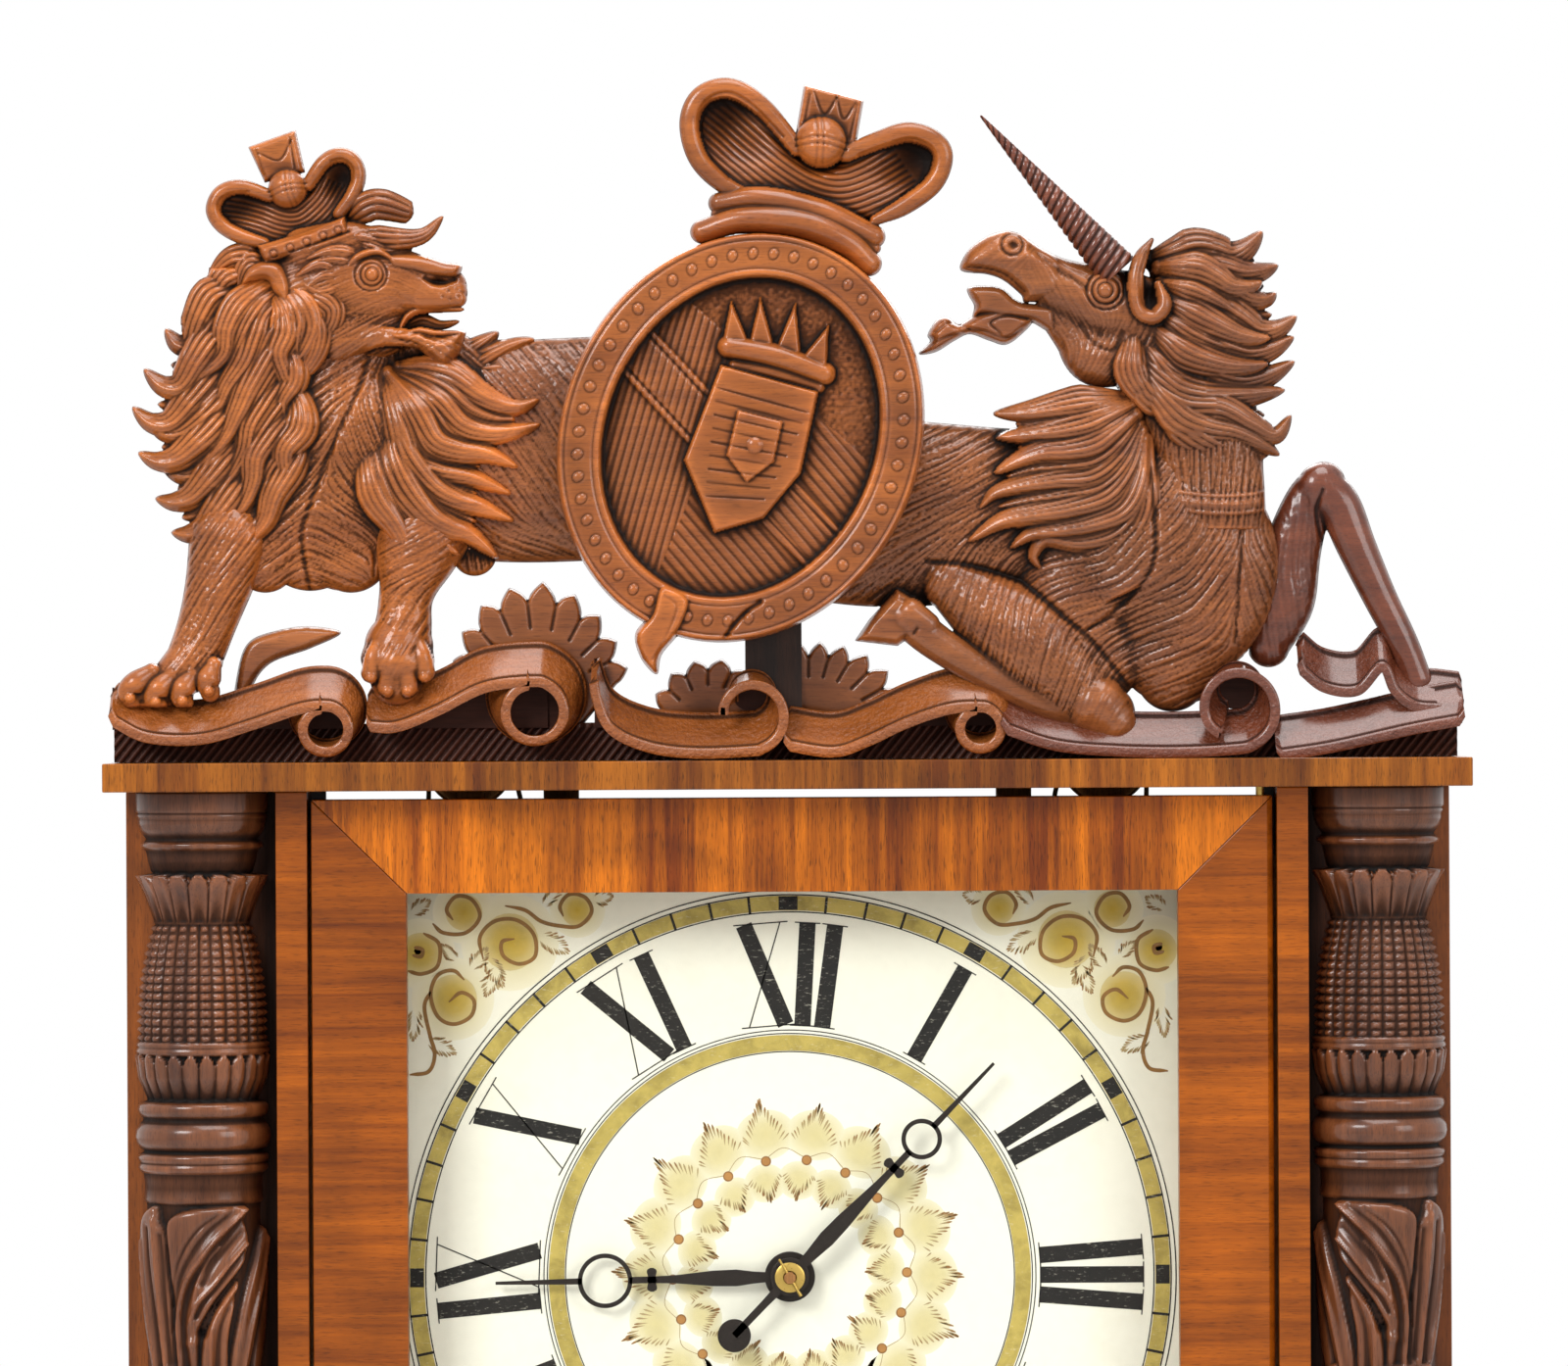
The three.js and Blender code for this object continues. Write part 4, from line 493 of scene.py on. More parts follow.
def make_finishes():
    """Every finish of the clock, by name."""
    f = finish()
    carved = f.carved_pale, f.carved_deep
    red = "#7a4028", "#4a2014"
    FINISHES.update({
        "veneer_upright": wood("veneer_upright", f.veneer_pale, f.veneer_deep, "Z", 0.55, quiet=1.25),
        "veneer_edge": wood("veneer_edge", "#a9611a", "#66310c", "Z", 0.55, quiet=1.25),
        "veneer_level": wood("veneer_level", "#ba6010", "#672d06", "X", 0.5, quiet=0.75, striped=0.42),
        "carved": wood("carved_wood", *carved, "X", 0.5, 0.3, 0.5, True, 0.7),
        "carved_shade": wood("carved_wood_shade", "#9a5a2e", "#643318", "X", 0.5, 0.3, 0.5, True, 0.7),
        "ribbon": wood("ribbon_wood", *carved, "X", 0.4, 0.3, 0.8, True, 0.6, stipple=True),
        "ribbon_dark": wood("ribbon_wood_dark", *red, "X", 0.4, 0.24, 0.9, True, 0.6, stipple=True),
        "carved_dark": wood("carved_wood_dark", *red, "X", 0.4, 0.26, 0.7, True, 0.7),
        # Front panels: a darker copy of the veneer, as painted shade for the recess behind the columns.
        "veneer_painted_shade": wood("veneer_painted_shade", "#96501a", "#5c2b0c", "Z", 0.5, recess_shade=True),
        "dark_plain": wood("dark_plain_wood", "#3a2216", "#20120c", "Z", 0.3, 0.45, 0.1),
        "turned": wood("turned_wood", f.dark_pale, f.dark_deep, "Z", 0.5, 0.3, 0.6, True, 0.8),
        "pine": wood("pine_board", "#b98f5c", "#8a6238", "Z", 0.3, 0.6, 0.0),
        "cherry": wood("cherry_works", "#b5814d", "#8a5a30", "Z", 0.25, 0.55, 0.05),
        "brass": metal("aged_brass", "#c9a75a", 0.32),
        "iron": metal("cast_iron", "#34302d", 0.62, 0.4, 0.7),
        "blued": metal("blued_steel", "#2e2621", 0.5, 0.3, 0.55),
        "steel": metal("drawn_steel", "#8f9194", 0.34),
        "dial_ground": dial_ground(f.cream),
        "ink": paint("dial_ink", f.ink, "#3a332b", 0.3, 0.55, 0.35),
        "gilt": paint("dial_gilt", f.gilt, "#8d7b3c", 0.8, 0.38, 0.3, 110),
        "gilt_warm": paint("dial_gilt_warm", "#c8a63a", "#a08a3a", 0.5, 0.42, 0.1, 90, "#e2d3a0"),
        "scroll": paint("dial_scroll", "#946a38", "#6f542c", 0.7, 0.45, 0.1, 150),
        "wash": paint("dial_wash", "#dccb86", "#c9b568", 0.6, 0.5, 0.0, 120, "#f0e8c8"),
        "sepia": paint("dial_sepia", f.sepia, "#8f7a4a", 0.6, 0.55, 0.0, 90),
        "umber": paint("dial_umber", "#9c7042", "#6f4a2a", 0.6, 0.5, 0.0, 90),
        "orange": paint("dial_orange", "#c08a4e", "#8f5a2c", 0.5, 0.5, 0.0, 90),
        "cord": cord_finish(),
        "glass": glass_finish(),
        "mirror": mirror_finish(),
    })


def cord_finish():
    """Laid cord: slanting strand bands round and along a vertical run, with dusty fibre noise."""
    m = Mixer("laid_cord")
    fibre = m.noise((1500, 1500, 700), 4, 0.7, turn=(0.5, 0.5, 0))
    shade = m.mix(m.ramp(fibre, (0.35, 0.0), (0.65, 1.0)), "#4a3a28", "#8d7654")
    m.bump(fibre, 0.0002, 0.6)
    return m.finish(Base_Color=shade, Roughness=0.9)


def glass_finish():
    """Old window glass: clear, with a slow ripple."""
    m = Mixer("old_glass")
    m.bump(m.noise((9, 9, 9), 2, 0.5), 0.0006, 0.12)
    clear = m.node("ShaderNodeBsdfTransparent", {"Color": (0.985, 0.99, 0.985)})
    blend = m.node("ShaderNodeMixShader", {0: m.node("ShaderNodeFresnel", {"IOR": 1.06}), 1: clear,
                                           2: m.shader})
    m.set(m.tree.nodes["Material Output"].inputs["Surface"], blend)
    return m.finish(Base_Color=(0.9, 0.95, 0.93), Roughness=0.03, Transmission_Weight=1.0, IOR=1.06)


def mirror_finish():
    """Old looking glass: silvering with grey foxing."""
    m = Mixer("old_mirror")
    fox = m.noise((45, 45, 45), 7, 0.7, 0.8)
    shade = m.mix(m.ramp(fox, (0.66, 0.0), (0.76, 1.0)), (0.78, 0.8, 0.8), (0.25, 0.23, 0.2))
    return m.finish(Base_Color=shade, Metallic=1.0, Roughness=m.ramp(fox, (0.6, 0.04), (0.76, 0.5)))


# RELIEF

def picture(points):
    """Millimetres in X and Z on the crest plane from picture places, turned level about its middle."""
    p = np.asarray(points, float)
    x, y = p[..., 0] - PICTURE_WIDTH / 2, p[..., 1] - PICTURE_HEIGHT / 2
    x, y = x - y * math.tan(PICTURE_ROLL), y + x * math.tan(PICTURE_ROLL)
    return np.stack([(x + PICTURE_WIDTH / 2 - PICTURE_ZERO[0]) * PICTURE_UNIT,
                     CORNICE_TOP + (PICTURE_ZERO[1] - y - PICTURE_HEIGHT / 2) * PICTURE_UNIT], -1)


class Drawing:
    """Turns the carver's drawing units into millimetres on the crest plane."""

    def __init__(self, left, top, per_unit):
        self.left, self.top, self.per = left, top, per_unit
        self.size = PICTURE_UNIT / per_unit

    def __call__(self, points):
        return picture(np.asarray(points, float) / self.per + (self.left, self.top))


def soft_max(a, b, width):
    """The larger of two fields, with a fillet of the given width where they cross."""
    m = np.clip(0.5 + 0.5 * (a - b) / width, 0, 1)
    return b + (a - b) * m + width * m * (1 - m)


def blurred(field, weight, rounds, reach=1):
    """Field averaged in rounds with its neighbours a reach away, counting only where the weight is set."""
    for _ in range(rounds):
        for axis in (0, 1):
            total = field * weight
            count = weight.astype(float)
            both = total + np.roll(total, reach, axis) + np.roll(total, -reach, axis)
            near = count + np.roll(count, reach, axis) + np.roll(count, -reach, axis)
            field = np.where(near > 0, both / np.maximum(near, 1e-9), field)
    return field


def around_nodes(cells):
    """The four cells that meet at each node of the grid."""
    wide = np.pad(cells, 1)
    return wide[:-1, :-1], wide[1:, :-1], wide[:-1, 1:], wide[1:, 1:]


def opened(keep):
    """Cells that touch a node with four kept cells, and both missing cells where two meet at a corner."""
    for turn in range(5):
        a, b, c, d = around_nodes(keep)
        node = a & b & c & d if turn == 0 else (a & d & ~b & ~c) | (b & c & ~a & ~d)
        grown = node[:-1, :-1] | node[1:, :-1] | node[:-1, 1:] | node[1:, 1:]
        keep = grown if turn == 0 else keep | grown
    return keep


def cell_faces(keep, number, rim):
    """Each kept cell as a face, or as two triangles where two opposite corners both lie on the outline."""
    i, j = np.nonzero(keep)
    nodes = [(i, j), (i + 1, j), (i + 1, j + 1), (i, j + 1)]
    corner = np.stack([number[n] for n in nodes], -1)
    a, b, c, d = [rim[n] for n in nodes]
    first = corner[a & c]
    second = corner[b & d & ~(a & c)]
    return [corner[~(a & c) & ~(b & d)], first[:, [0, 1, 3]], first[:, [1, 2, 3]], second[:, [0, 1, 2]],
            second[:, [0, 2, 3]]]


class Carving:
    """Relief over a grid in X and Z: front height to the viewer, distance inside the outline, edge height.

    Every form raises the height to the larger of what is there and its own surface, so later forms lie over
    earlier ones. The outline is where the distance field crosses zero, and edge vertices are moved on to it.
    """

    def __init__(self, drawing, low, high, step, axes=None):
        self.d = drawing
        self.step = step
        if axes is None:
            a, b = drawing(np.array([low, high], float))
            axes = (np.arange(min(a[0], b[0]), max(a[0], b[0]), self.step),
                    np.arange(min(a[1], b[1]), max(a[1], b[1]), self.step))
        self.x, self.z = axes
        self.X, self.Z = np.meshgrid(self.x, self.z, indexing="ij")
        shape = self.X.shape
        self.h = np.full(shape, -60.0)
        self.f = np.full(shape, -60.0)
        self.e = np.zeros(shape)
        self.fur = np.zeros(shape)

    def window(self, points, reach):
        """Part of the grid that holds some points and a reach round them."""
        low, high = points.min(0) - reach, points.max(0) + reach
        return tuple(slice(np.searchsorted(line, a), np.searchsorted(line, b) + 1) for line, a,
                     b in zip((self.x, self.z), low, high))

    def beside(self, path, reach):
        """Window round a path, and at each of its nodes the place along the path, the distance and the side.

        The nearest of the path's straight spans counts.
        """
        win = self.window(path, reach)
        x, z = self.X[win][..., None], self.Z[win][..., None]
        a, b = path[:-1], path[1:]
        span = b - a
        long = np.hypot(*span.T) + 1e-9
        t = np.clip(((x - a[:, 0]) * span[:, 0] + (z - a[:, 1]) * span[:, 1]) / long ** 2, 0, 1)
        dx, dz = x - a[:, 0] - t * span[:, 0], z - a[:, 1] - t * span[:, 1]
        gap = np.hypot(dx, dz)
        k = np.argmin(gap, -1)
        pick = k[..., None]
        take = lambda field: np.take_along_axis(field, pick, -1)[..., 0]
        side = np.sign(span[k, 0] * take(dz) - span[k, 1] * take(dx))
        start = np.concatenate([[0], np.cumsum(long)])
        s = (start[k] + take(t) * long[k]) / start[-1]
        return win, s, take(gap), side

    def lay(self, win, h, f, e, fur=0.0, fillet=0.0):
        """Lays a form over the window: height, distance inside its outline, edge height and share of fur."""
        inside = f > 0
        wins = inside & (h > self.h[win])
        base = self.h[win]
        raised = soft_max(h, base, fillet) if fillet else np.maximum(h, base)
        self.h[win] = np.where(inside, raised, base)
        edge = f > self.f[win]
        self.e[win] = np.where(edge, e, self.e[win])
        self.f[win] = np.maximum(self.f[win], f)
        self.fur[win] = np.where(wins, fur, self.fur[win])

    def limb(self, stations, flat=0.8, fur=1.0, fillet=2.0):
        """Rounded limb: half an oval section along the path of stations (x, y, radius, axis height)."""
        q = smooth_path(stations, 8 * len(stations))
        path = self.d(q[:, :2])
        radius, height = q[:, 2] * self.d.size, q[:, 3]
        win, s, gap, _ = self.beside(path, radius.max() + 2)
        at = np.linspace(0, 1, len(q))
        r, y = np.interp(s, at, radius), np.interp(s, at, height)
        f = r - gap
        h = y + flat * np.sqrt(np.maximum(r * r - gap * gap, 0))
        self.lay(win, h, f, y, fur, fillet)

    def lock(self, points, half, heights, strands=5, rise=4.0, blunt=0.0, sink=5.0):
        """Lock of hair: a strip that widens from its root, runs to a point, arched across and grooved along.

        heights are its floor at root, middle and tip; the root dips by sink, to grow out of what is there.
        """
        path = self.d(smooth_path(points, 10 * len(points)))
        half = half * self.d.size
        win, s, gap, side = self.beside(path, half + 2)
        grow = np.clip(0.45 + s / 0.3 * 0.55, 0, 1)
        taper = np.clip(1 - s, 0, 1) ** 0.55 * (1 - blunt) + blunt * np.clip((1 - s) / 0.06, 0, 1) ** 0.5
        w = half * grow * np.minimum(taper * 1.28, 1)
        floor = np.interp(s, [0, 0.5, 1], heights) - sink * np.clip(1 - s / 0.3, 0, 1) ** 2
        t = side * gap / np.maximum(w, 0.05)
        crest = np.clip(np.where(t > 0.25, (1 - t) / 0.75, (1 + t) / 1.25), 0, 1)
        arch = rise * (0.5 * np.sqrt(np.clip(1 - t * t, 0, 1)) + 0.5 * crest) * np.clip(w / half, 0.25,
                                                                                        1) ** 0.5
        ripple = (1 - np.abs(np.sin(np.pi * strands * (0.5 * t + 0.5)))) ** 1.4
        cut = sizes().strand_depth / MM * ripple * np.clip(w / half, 0.2, 1)
        self.lay(win, floor + arch - cut, w - gap, floor)

    def tress(self, paths, half, heights, strands=5, rise=4.0, fill=0.8):
        """Row of locks: each path in turn, over a lower lock along the middle of each neighbouring pair."""
        curves = [smooth_path(path, 14) for path in paths]
        heights = np.asarray(heights, float)
        for a, b in zip(curves, curves[1:]):
            self.lock((0.5 * a + 0.5 * b)[:11:2], half * 0.9, heights - fill, strands, rise)
        for n, curve in enumerate(curves):
            self.lock(curve[::2], half, heights + 0.7 * (n % 3 - 1), strands, rise)

    def dome(self, centre, radius, height, floor):
        """Dome on a floor: its height times the root of one less the squared distance from its middle."""
        c = self.d(np.array([centre], float))
        r = radius * self.d.size
        win = self.window(c, r + 1)
        gap = np.hypot(self.X[win] - c[0, 0], self.Z[win] - c[0, 1])
        h = floor + height * np.sqrt(np.clip(1 - (gap / r) ** 2, 0, 1))
        self.lay(win, h, r - gap, floor)

    def groove(self, points, width, depth, closed=False):
        """Cut line: lowers the surface by the depth times a bell curve of the distance from the path."""
        path = self.d(smooth_path(points, 10 * len(points), closed))
        if closed:
            path = np.vstack([path, path[:1]])
        win, _, gap, _ = self.beside(path, width * 3)
        self.h[win] -= np.where(self.f[win] > 0, depth * np.exp(-(gap / width) ** 2), 0)

    def grooves(self, width, depth, *paths):
        """Several cut lines of one width and depth."""
        for path in paths:
            self.groove(path, width, depth)

    def ring(self, centre, radius, width, depth):
        """Cut circle."""
        self.groove(np.asarray(centre, float) + radius * circle(12), width, depth, True)

    def pit(self, centre, radius, depth, stretch=1.0, turn=0.0):
        """Hollow: lowers the surface by the depth times a bell curve of the distance from its middle."""
        c = self.d(np.array([centre], float))
        r = radius * self.d.size
        win = self.window(c, 2.5 * r * max(stretch, 1))
        x, z = self.X[win] - c[0, 0], self.Z[win] - c[0, 1]
        u, v = x * math.cos(turn) + z * math.sin(turn), z * math.cos(turn) - x * math.sin(turn)
        self.h[win] -= depth * np.exp(-(u / stretch) ** 2 / r ** 2 - v ** 2 / r ** 2)

    def board(self, outline, floor, top, bevel=1.5, curve=False, fur=0.0, tilt=0.0):
        """Raised flat: inside a closed outline the surface stands at its top, rounded off over the bevel."""
        q = np.asarray(outline, float)
        q = smooth_path(q, 8 * len(q), True) if curve else q
        path = self.d(np.vstack([q, q[:1]]))
        win, _, gap, _ = self.beside(path, 2.0)
        x, z = self.X[win][..., None], self.Z[win][..., None]
        a, b = path[:-1], path[1:]
        crosses = (a[:, 1] > z) != (b[:, 1] > z)
        with np.errstate(divide="ignore", invalid="ignore"):
            at = a[:, 0] + (z - a[:, 1]) * (b[:, 0] - a[:, 0]) / (b[:, 1] - a[:, 1])
        within = np.sum(crosses & (x < at), -1) % 2 == 1
        f = np.where(within, gap, -gap)
        lift = quarter_round(f, bevel)
        lean = tilt * (self.Z[win] - path[:, 1].mean())
        self.lay(win, floor + (top - floor + lean) * lift, f, floor, fur)

    def gouge(self, guides, share, seed, length=18):
        """Fur: noise smeared along the nearest guide strokes (x, y to x, y), added where forms are furred.

        The strokes' headings are doubled before they are averaged, so opposite strokes count as one way.
        """
        rng = np.random.default_rng(seed)
        depth = sizes().fur_depth / MM * share
        g = np.asarray(guides, float)
        a, b = self.d(g[:, :2]), self.d(g[:, 2:4])
        middle, way = (a + b) / 2, np.exp(2j * np.angle((b - a)[:, 0] + 1j * (b - a)[:, 1]))
        total, weight = np.zeros(self.h.shape, complex), np.zeros(self.h.shape)
        for (mx, mz), turn in zip(middle, way):
            near = 1 / ((self.X - mx) ** 2 + (self.Z - mz) ** 2 + 9) ** 1.5
            total += near * turn
            weight += near
        doubled = blurred(total / weight, np.ones(self.h.shape), 3)
        way = np.exp(0.5j * np.angle(doubled + 1e-9))
        seed_noise = rng.standard_normal(self.h.shape)
        seed_noise = seed_noise + 0.5 * (np.roll(seed_noise, 1, 0) + np.roll(seed_noise, 1, 1))
        total = np.zeros(self.h.shape)
        rows, columns = np.meshgrid(*map(np.arange, self.h.shape), indexing="ij")
        for sign in (1, -1):
            u, v = rows.astype(float), columns.astype(float)
            heading = sign * way
            for _ in range(length):
                i = np.clip(np.rint(u).astype(int), 0, self.h.shape[0] - 1)
                j = np.clip(np.rint(v).astype(int), 0, self.h.shape[1] - 1)
                total += seed_noise[i, j]
                here = way[i, j]
                here = np.where((here * np.conj(heading)).real < 0, -here, here)
                heading = here
                u, v = u + here.real, v + here.imag
        total -= blurred(total, np.ones(self.h.shape), 2, 2)
        total /= total.std() + 1e-9
        ridge = np.tanh(total * 0.9)
        soft = np.clip(self.f / 1.2, 0, 1)
        self.h += np.where(self.f > 0, depth * ridge * self.fur * soft, 0)

    def form(self, back, rim):
        """Closed mesh: the front on the fine grid, the back on blocks of four, sharing the moved outline.

        The back lies a depth behind the crest plane, rounded up to the outline over the rim.
        """
        step, f = self.step, self.f
        keep = (f[:-1, :-1] + f[1:, :-1] + f[:-1, 1:] + f[1:, 1:]) > 0
        keep[0], keep[-1], keep[:, 0], keep[:, -1] = False, False, False, False
        keep = opened(keep)
        around = around_nodes(keep)
        used = np.any(around, 0)
        rim_node = used & ~np.all(around, 0)
        inner = used & ~rim_node
        gx, gz = np.gradient(f, step)
        size = gx ** 2 + gz ** 2 + 1e-6
        reach = np.clip(-f / np.sqrt(size), -0.7 * step, 0.7 * step) * rim_node
        x = self.X + reach * gx / np.sqrt(size)
        z = self.Z + reach * gz / np.sqrt(size)
        e = blurred(self.e, used, 6)
        front = np.where(rim_node, e, np.maximum(self.h, e - 1.0))
        front = np.where(rim_node, e, 0.5 * front + 0.5 * blurred(front, used, 1))
        rear = blurred(np.where(rim_node, e, e * 0.4 - back * quarter_round(f, rim)), used, 3)
        small = blurred(front, used, 2)
        large = blurred(small, used, 2, 3)
        broad = blurred(large, used, 3, 8)
        within = np.clip(f / 4, 0.2, 1)
        # Cavity: raised on ridges and lowered in hollows at three sizes, and lowered on the outline; the
        # carved finishes turn it into painted shade in the hollows, with old shellac there, and painted
        # highlight on the ridges.
        cavity = 0.5 + 0.8 * (front - small) + within * (0.2 * (front - large) + 0.07 * (front - broad))
        cavity = np.clip(np.where(rim_node, 0.35, cavity), 0, 1)
        number = np.full(used.shape, -1)
        number[used] = np.arange(used.sum())
        behind = np.full(used.shape, -1)
        behind[rim_node] = number[rim_node]
        behind[inner] = used.sum() + np.arange(inner.sum())
        ahead = np.column_stack([x[used], CREST_Y - front[used], z[used]])
        after = np.column_stack([x[inner], CREST_Y - rear[inner], z[inner]])
        faces = cell_faces(keep, number, rim_node) + self.back_faces(keep, behind, inner)
        return Form().add(np.vstack([ahead, after]), *faces,
                          cavity=np.concatenate([cavity[used], np.full(int(inner.sum()), 0.42)]))

    @staticmethod
    def back_faces(keep, behind, inner):
        """Back faces: whole 4 by 4 blocks become one face that keeps side nodes only beside finer cells."""
        k = 4
        rows, columns = keep.shape[0] // k, keep.shape[1] // k
        body = keep[:rows * k, :columns * k].reshape(rows, k, columns, k).all((1, 3))
        i0, j0 = np.meshgrid(np.arange(rows) * k, np.arange(columns) * k, indexing="ij")
        whole = np.all([inner[i0 + a, j0 + b] for a in range(k + 1) for b in range(k + 1)], 0)
        block = body & whole
        near = np.pad(block, 1)
        sides = [near[1:-1, :-2], near[2:, 1:-1], near[1:-1, 2:], near[:-2, 1:-1]]
        fine = keep.copy()
        fine[:rows * k, :columns * k] &= ~np.repeat(np.repeat(block, k, 0), k, 1)
        faces = [f[:, ::-1] for f in cell_faces(fine, behind, ~inner)]
        edge = [[(a, 0) for a in range(k)], [(k, a) for a in range(k)], [(k - a, k) for a in range(k)],
                [(0, k - a) for a in range(k)]]
        for pattern in range(16):
            match = block.copy()
            walk = []
            for n in range(4):
                open_side = pattern >> n & 1
                match &= ~sides[n] if open_side else sides[n]
                walk += edge[n] if open_side else edge[n][:1]
            if match.any():
                a, b = i0[match], j0[match]
                faces.append(np.stack([behind[a + u, b + v] for u, v in walk[::-1]], -1))
        return faces


# CREST FIGURES

LION = Drawing(100, 120, 2.6135)
LION_CLOSE = Drawing(100, 110, 1.827)
UNICORN_CLOSE = Drawing(840, 100, 1.397)
UNICORN = Drawing(860, 100, 2.311)
SHIELD = Drawing(560, 60, 2.177)


def lion_trunk():
    """Lion's trunk: one barrel that runs behind the oval, under slanting gouge strokes."""
    c = Carving(LION, (600, 560), (1600, 1240), 0.5)
    c.limb([(900, 900, 285, 0), (1150, 895, 298, 0), (1400, 885, 300, 0), (1580, 880, 300, 0)], 0.36)
    c.gouge([(1120, 720, 1190, 800), (1180, 800, 1260, 930), (1150, 980, 1230, 1110),
             (1100, 1120, 1240, 1160), (1420, 760, 1500, 860), (1420, 1000, 1500, 1100)], 0.75, 11)
    return c.form(13, 8)


def lion_legs():
    """Lion's forelegs: rounded limbs under combed gouge strokes, with four toes on each paw."""
    c = Carving(LION, (30, 960), (1040, 1580), 0.45)
    c.limb([(345, 1130, 110, 3), (315, 1260, 92, 5), (275, 1390, 78, 6), (245, 1470, 74, 7)], 0.95)
    c.limb([(250, 1455, 72, 7), (190, 1515, 62, 9), (120, 1545, 50, 10)], 0.95, 0.5)
    c.limb([(860, 1120, 130, 4), (838, 1200, 104, 6), (818, 1290, 74, 7), (812, 1360, 76, 8),
            (800, 1440, 92, 9)], 0.95)
    c.limb([(800, 1420, 92, 8), (795, 1480, 98, 9), (795, 1510, 70, 10)], 0.95, 0.3)
    for x, y, way in ((82, 1548, -60), (150, 1560, -45), (222, 1556, -30), (292, 1530, -15)):
        c.limb([(x - way, y - 62, 22, 14), (x, y - 14, 32, 15), (x + 6, y + 12, 26, 14)], 1.0, 0.0, 0.6)
        c.dome((x + 4, y + 8), 15, 2.2, 17.2)
    for x, y, way in ((728, 1490, -26), (772, 1526, -10), (826, 1526, 10), (872, 1488, 26)):
        c.limb([(x - way, y - 92, 18, 14.0), (x - way / 3, y - 46, 25, 16), (x, y, 27, 15.5)], 1.0, 0.0, 0.6)
        c.dome((x, y + 12), 16, 2.2, 17.4)
    c.gouge([(340, 1180, 260, 1290), (310, 1290, 250, 1400), (270, 1400, 215, 1470), (850, 1200, 780, 1230),
             (850, 1290, 800, 1370), (830, 1380, 790, 1450)], 0.75, 14)
    return c.form(13, 8)


def lion_mane():
    """Lion's mane and chest: swelling masses under rows of locks, parted down the middle of the chest."""
    c = Carving(LION, (40, 400), (1240, 1320), 0.45)
    c.limb([(480, 540, 150, 1), (430, 680, 200, 1), (420, 840, 215, 1), (470, 1040, 205, 1),
            (560, 1130, 140, 2)], 0.42)
    c.limb([(640, 660, 180, 2), (700, 860, 250, 2), (700, 1020, 225, 2), (650, 1140, 130, 2)], 0.46)
    c.limb([(600, 1000, 190, 2), (480, 1120, 150, 3), (440, 1190, 85, 3)], 0.5)
    c.limb([(640, 1040, 200, 2), (670, 1170, 105, 3)], 0.5)
    c.limb([(900, 760, 190, 2), (980, 930, 180, 2), (980, 1100, 120, 2), (1000, 1170, 60, 2)], 0.5)
    c.d = LION_CLOSE
    c.tress((((300, 280), (250, 282), (196, 322)), ((275, 330), (205, 362), (160, 448), (108, 402)),
             ((270, 390), (205, 440), (140, 528), (62, 476)),
             ((260, 460), (205, 510), (120, 596), (40, 548)),
             ((262, 490), (210, 560), (140, 612), (78, 592)),
             ((265, 530), (210, 600), (130, 664), (52, 640)),
             ((272, 580), (225, 640), (170, 688), (102, 676)),
             ((275, 610), (225, 670), (160, 736), (84, 730)),
             ((285, 670), (240, 735), (185, 795), (116, 796)),
             ((310, 730), (275, 790), (230, 838), (176, 836))), 40, (8, 8, 3), 6, 5.4)
    c.tress((((335, 325), (290, 350), (245, 400), (235, 460), (190, 505), (140, 545)),
             ((350, 350), (300, 400), (285, 460), (245, 520), (215, 570), (150, 612)),
             ((352, 390), (325, 450), (290, 510), (262, 570), (230, 630), (170, 700)),
             ((345, 455), (335, 520), (290, 580), (275, 640), (240, 700), (185, 762)),
             ((352, 530), (345, 590), (300, 640), (290, 700), (260, 760), (205, 815)),
             ((375, 600), (370, 660), (335, 710), (315, 770), (285, 810), (255, 842))),
            35, (12, 12.5, 8), 6, 5.2)
    c.tress((((340, 330), (385, 370), (398, 425), (362, 485), (330, 545)),
             ((325, 350), (352, 410), (335, 475), (360, 540), (322, 600)),
             ((360, 520), (384, 590), (345, 655), (352, 710), (300, 755))), 34, (14, 14.5, 11), 6, 4.6)
    c.tress((((640, 500), (690, 462), (720, 440), (752, 415)),
             ((660, 520), (720, 480), (770, 450), (825, 430)),
             ((640, 520), (720, 500), (790, 490), (846, 468))), 30, (5, 5, 2), 5, 4.4)
    c.tress((((560, 490), (640, 500), (720, 548), (780, 565), (842, 540)),
             ((550, 500), (620, 540), (690, 605), (770, 610), (850, 588)),
             ((540, 500), (590, 560), (640, 635), (720, 650), (815, 690)),
             ((535, 505), (560, 590), (600, 675), (690, 695), (810, 742)),
             ((545, 560), (575, 650), (640, 725), (710, 750), (806, 790)),
             ((540, 600), (565, 690), (630, 775), (690, 800), (772, 868)),
             ((520, 620), (545, 710), (600, 780), (640, 815), (690, 852)),
             ((500, 640), (515, 720), (560, 790), (572, 840), (520, 880))), 36, (16, 16, 13.5), 6, 5.4)
    c.d = LION
    c.pit((820, 676), 66, 5.5, 1.9, -0.1)
    c.groove([(722, 640), (690, 740), (625, 880), (560, 1050), (540, 1130), (560, 1270)], 1.0, 1.1)
    c.gouge([(690, 690, 570, 760), (640, 760, 540, 880), (600, 860, 520, 960), (560, 950, 470, 1040),
             (520, 1080, 420, 1160), (520, 1180, 420, 1250), (680, 800, 720, 900), (650, 900, 720, 1000),
             (600, 1020, 720, 1100), (580, 1120, 700, 1180), (580, 1210, 690, 1260), (760, 760, 790, 870),
             (760, 950, 790, 1060), (900, 780, 980, 830), (800, 1160, 780, 1250)], 0.8, 12)
    return c.form(14, 9)


def flutes(c, path, count, gap, width=0.4, depth=0.7):
    """Fluting: a fan of cut lines, copies of one path pushed to both sides along its normal."""
    line = smooth_path(path, 24)
    way = np.gradient(line, axis=0)
    normal = np.stack([-way[:, 1], way[:, 0]], -1) / np.linalg.norm(way, axis=1, keepdims=True)
    for k in range(count):
        c.groove((line + normal * gap * (k - (count - 1) / 2))[::3], width, depth)


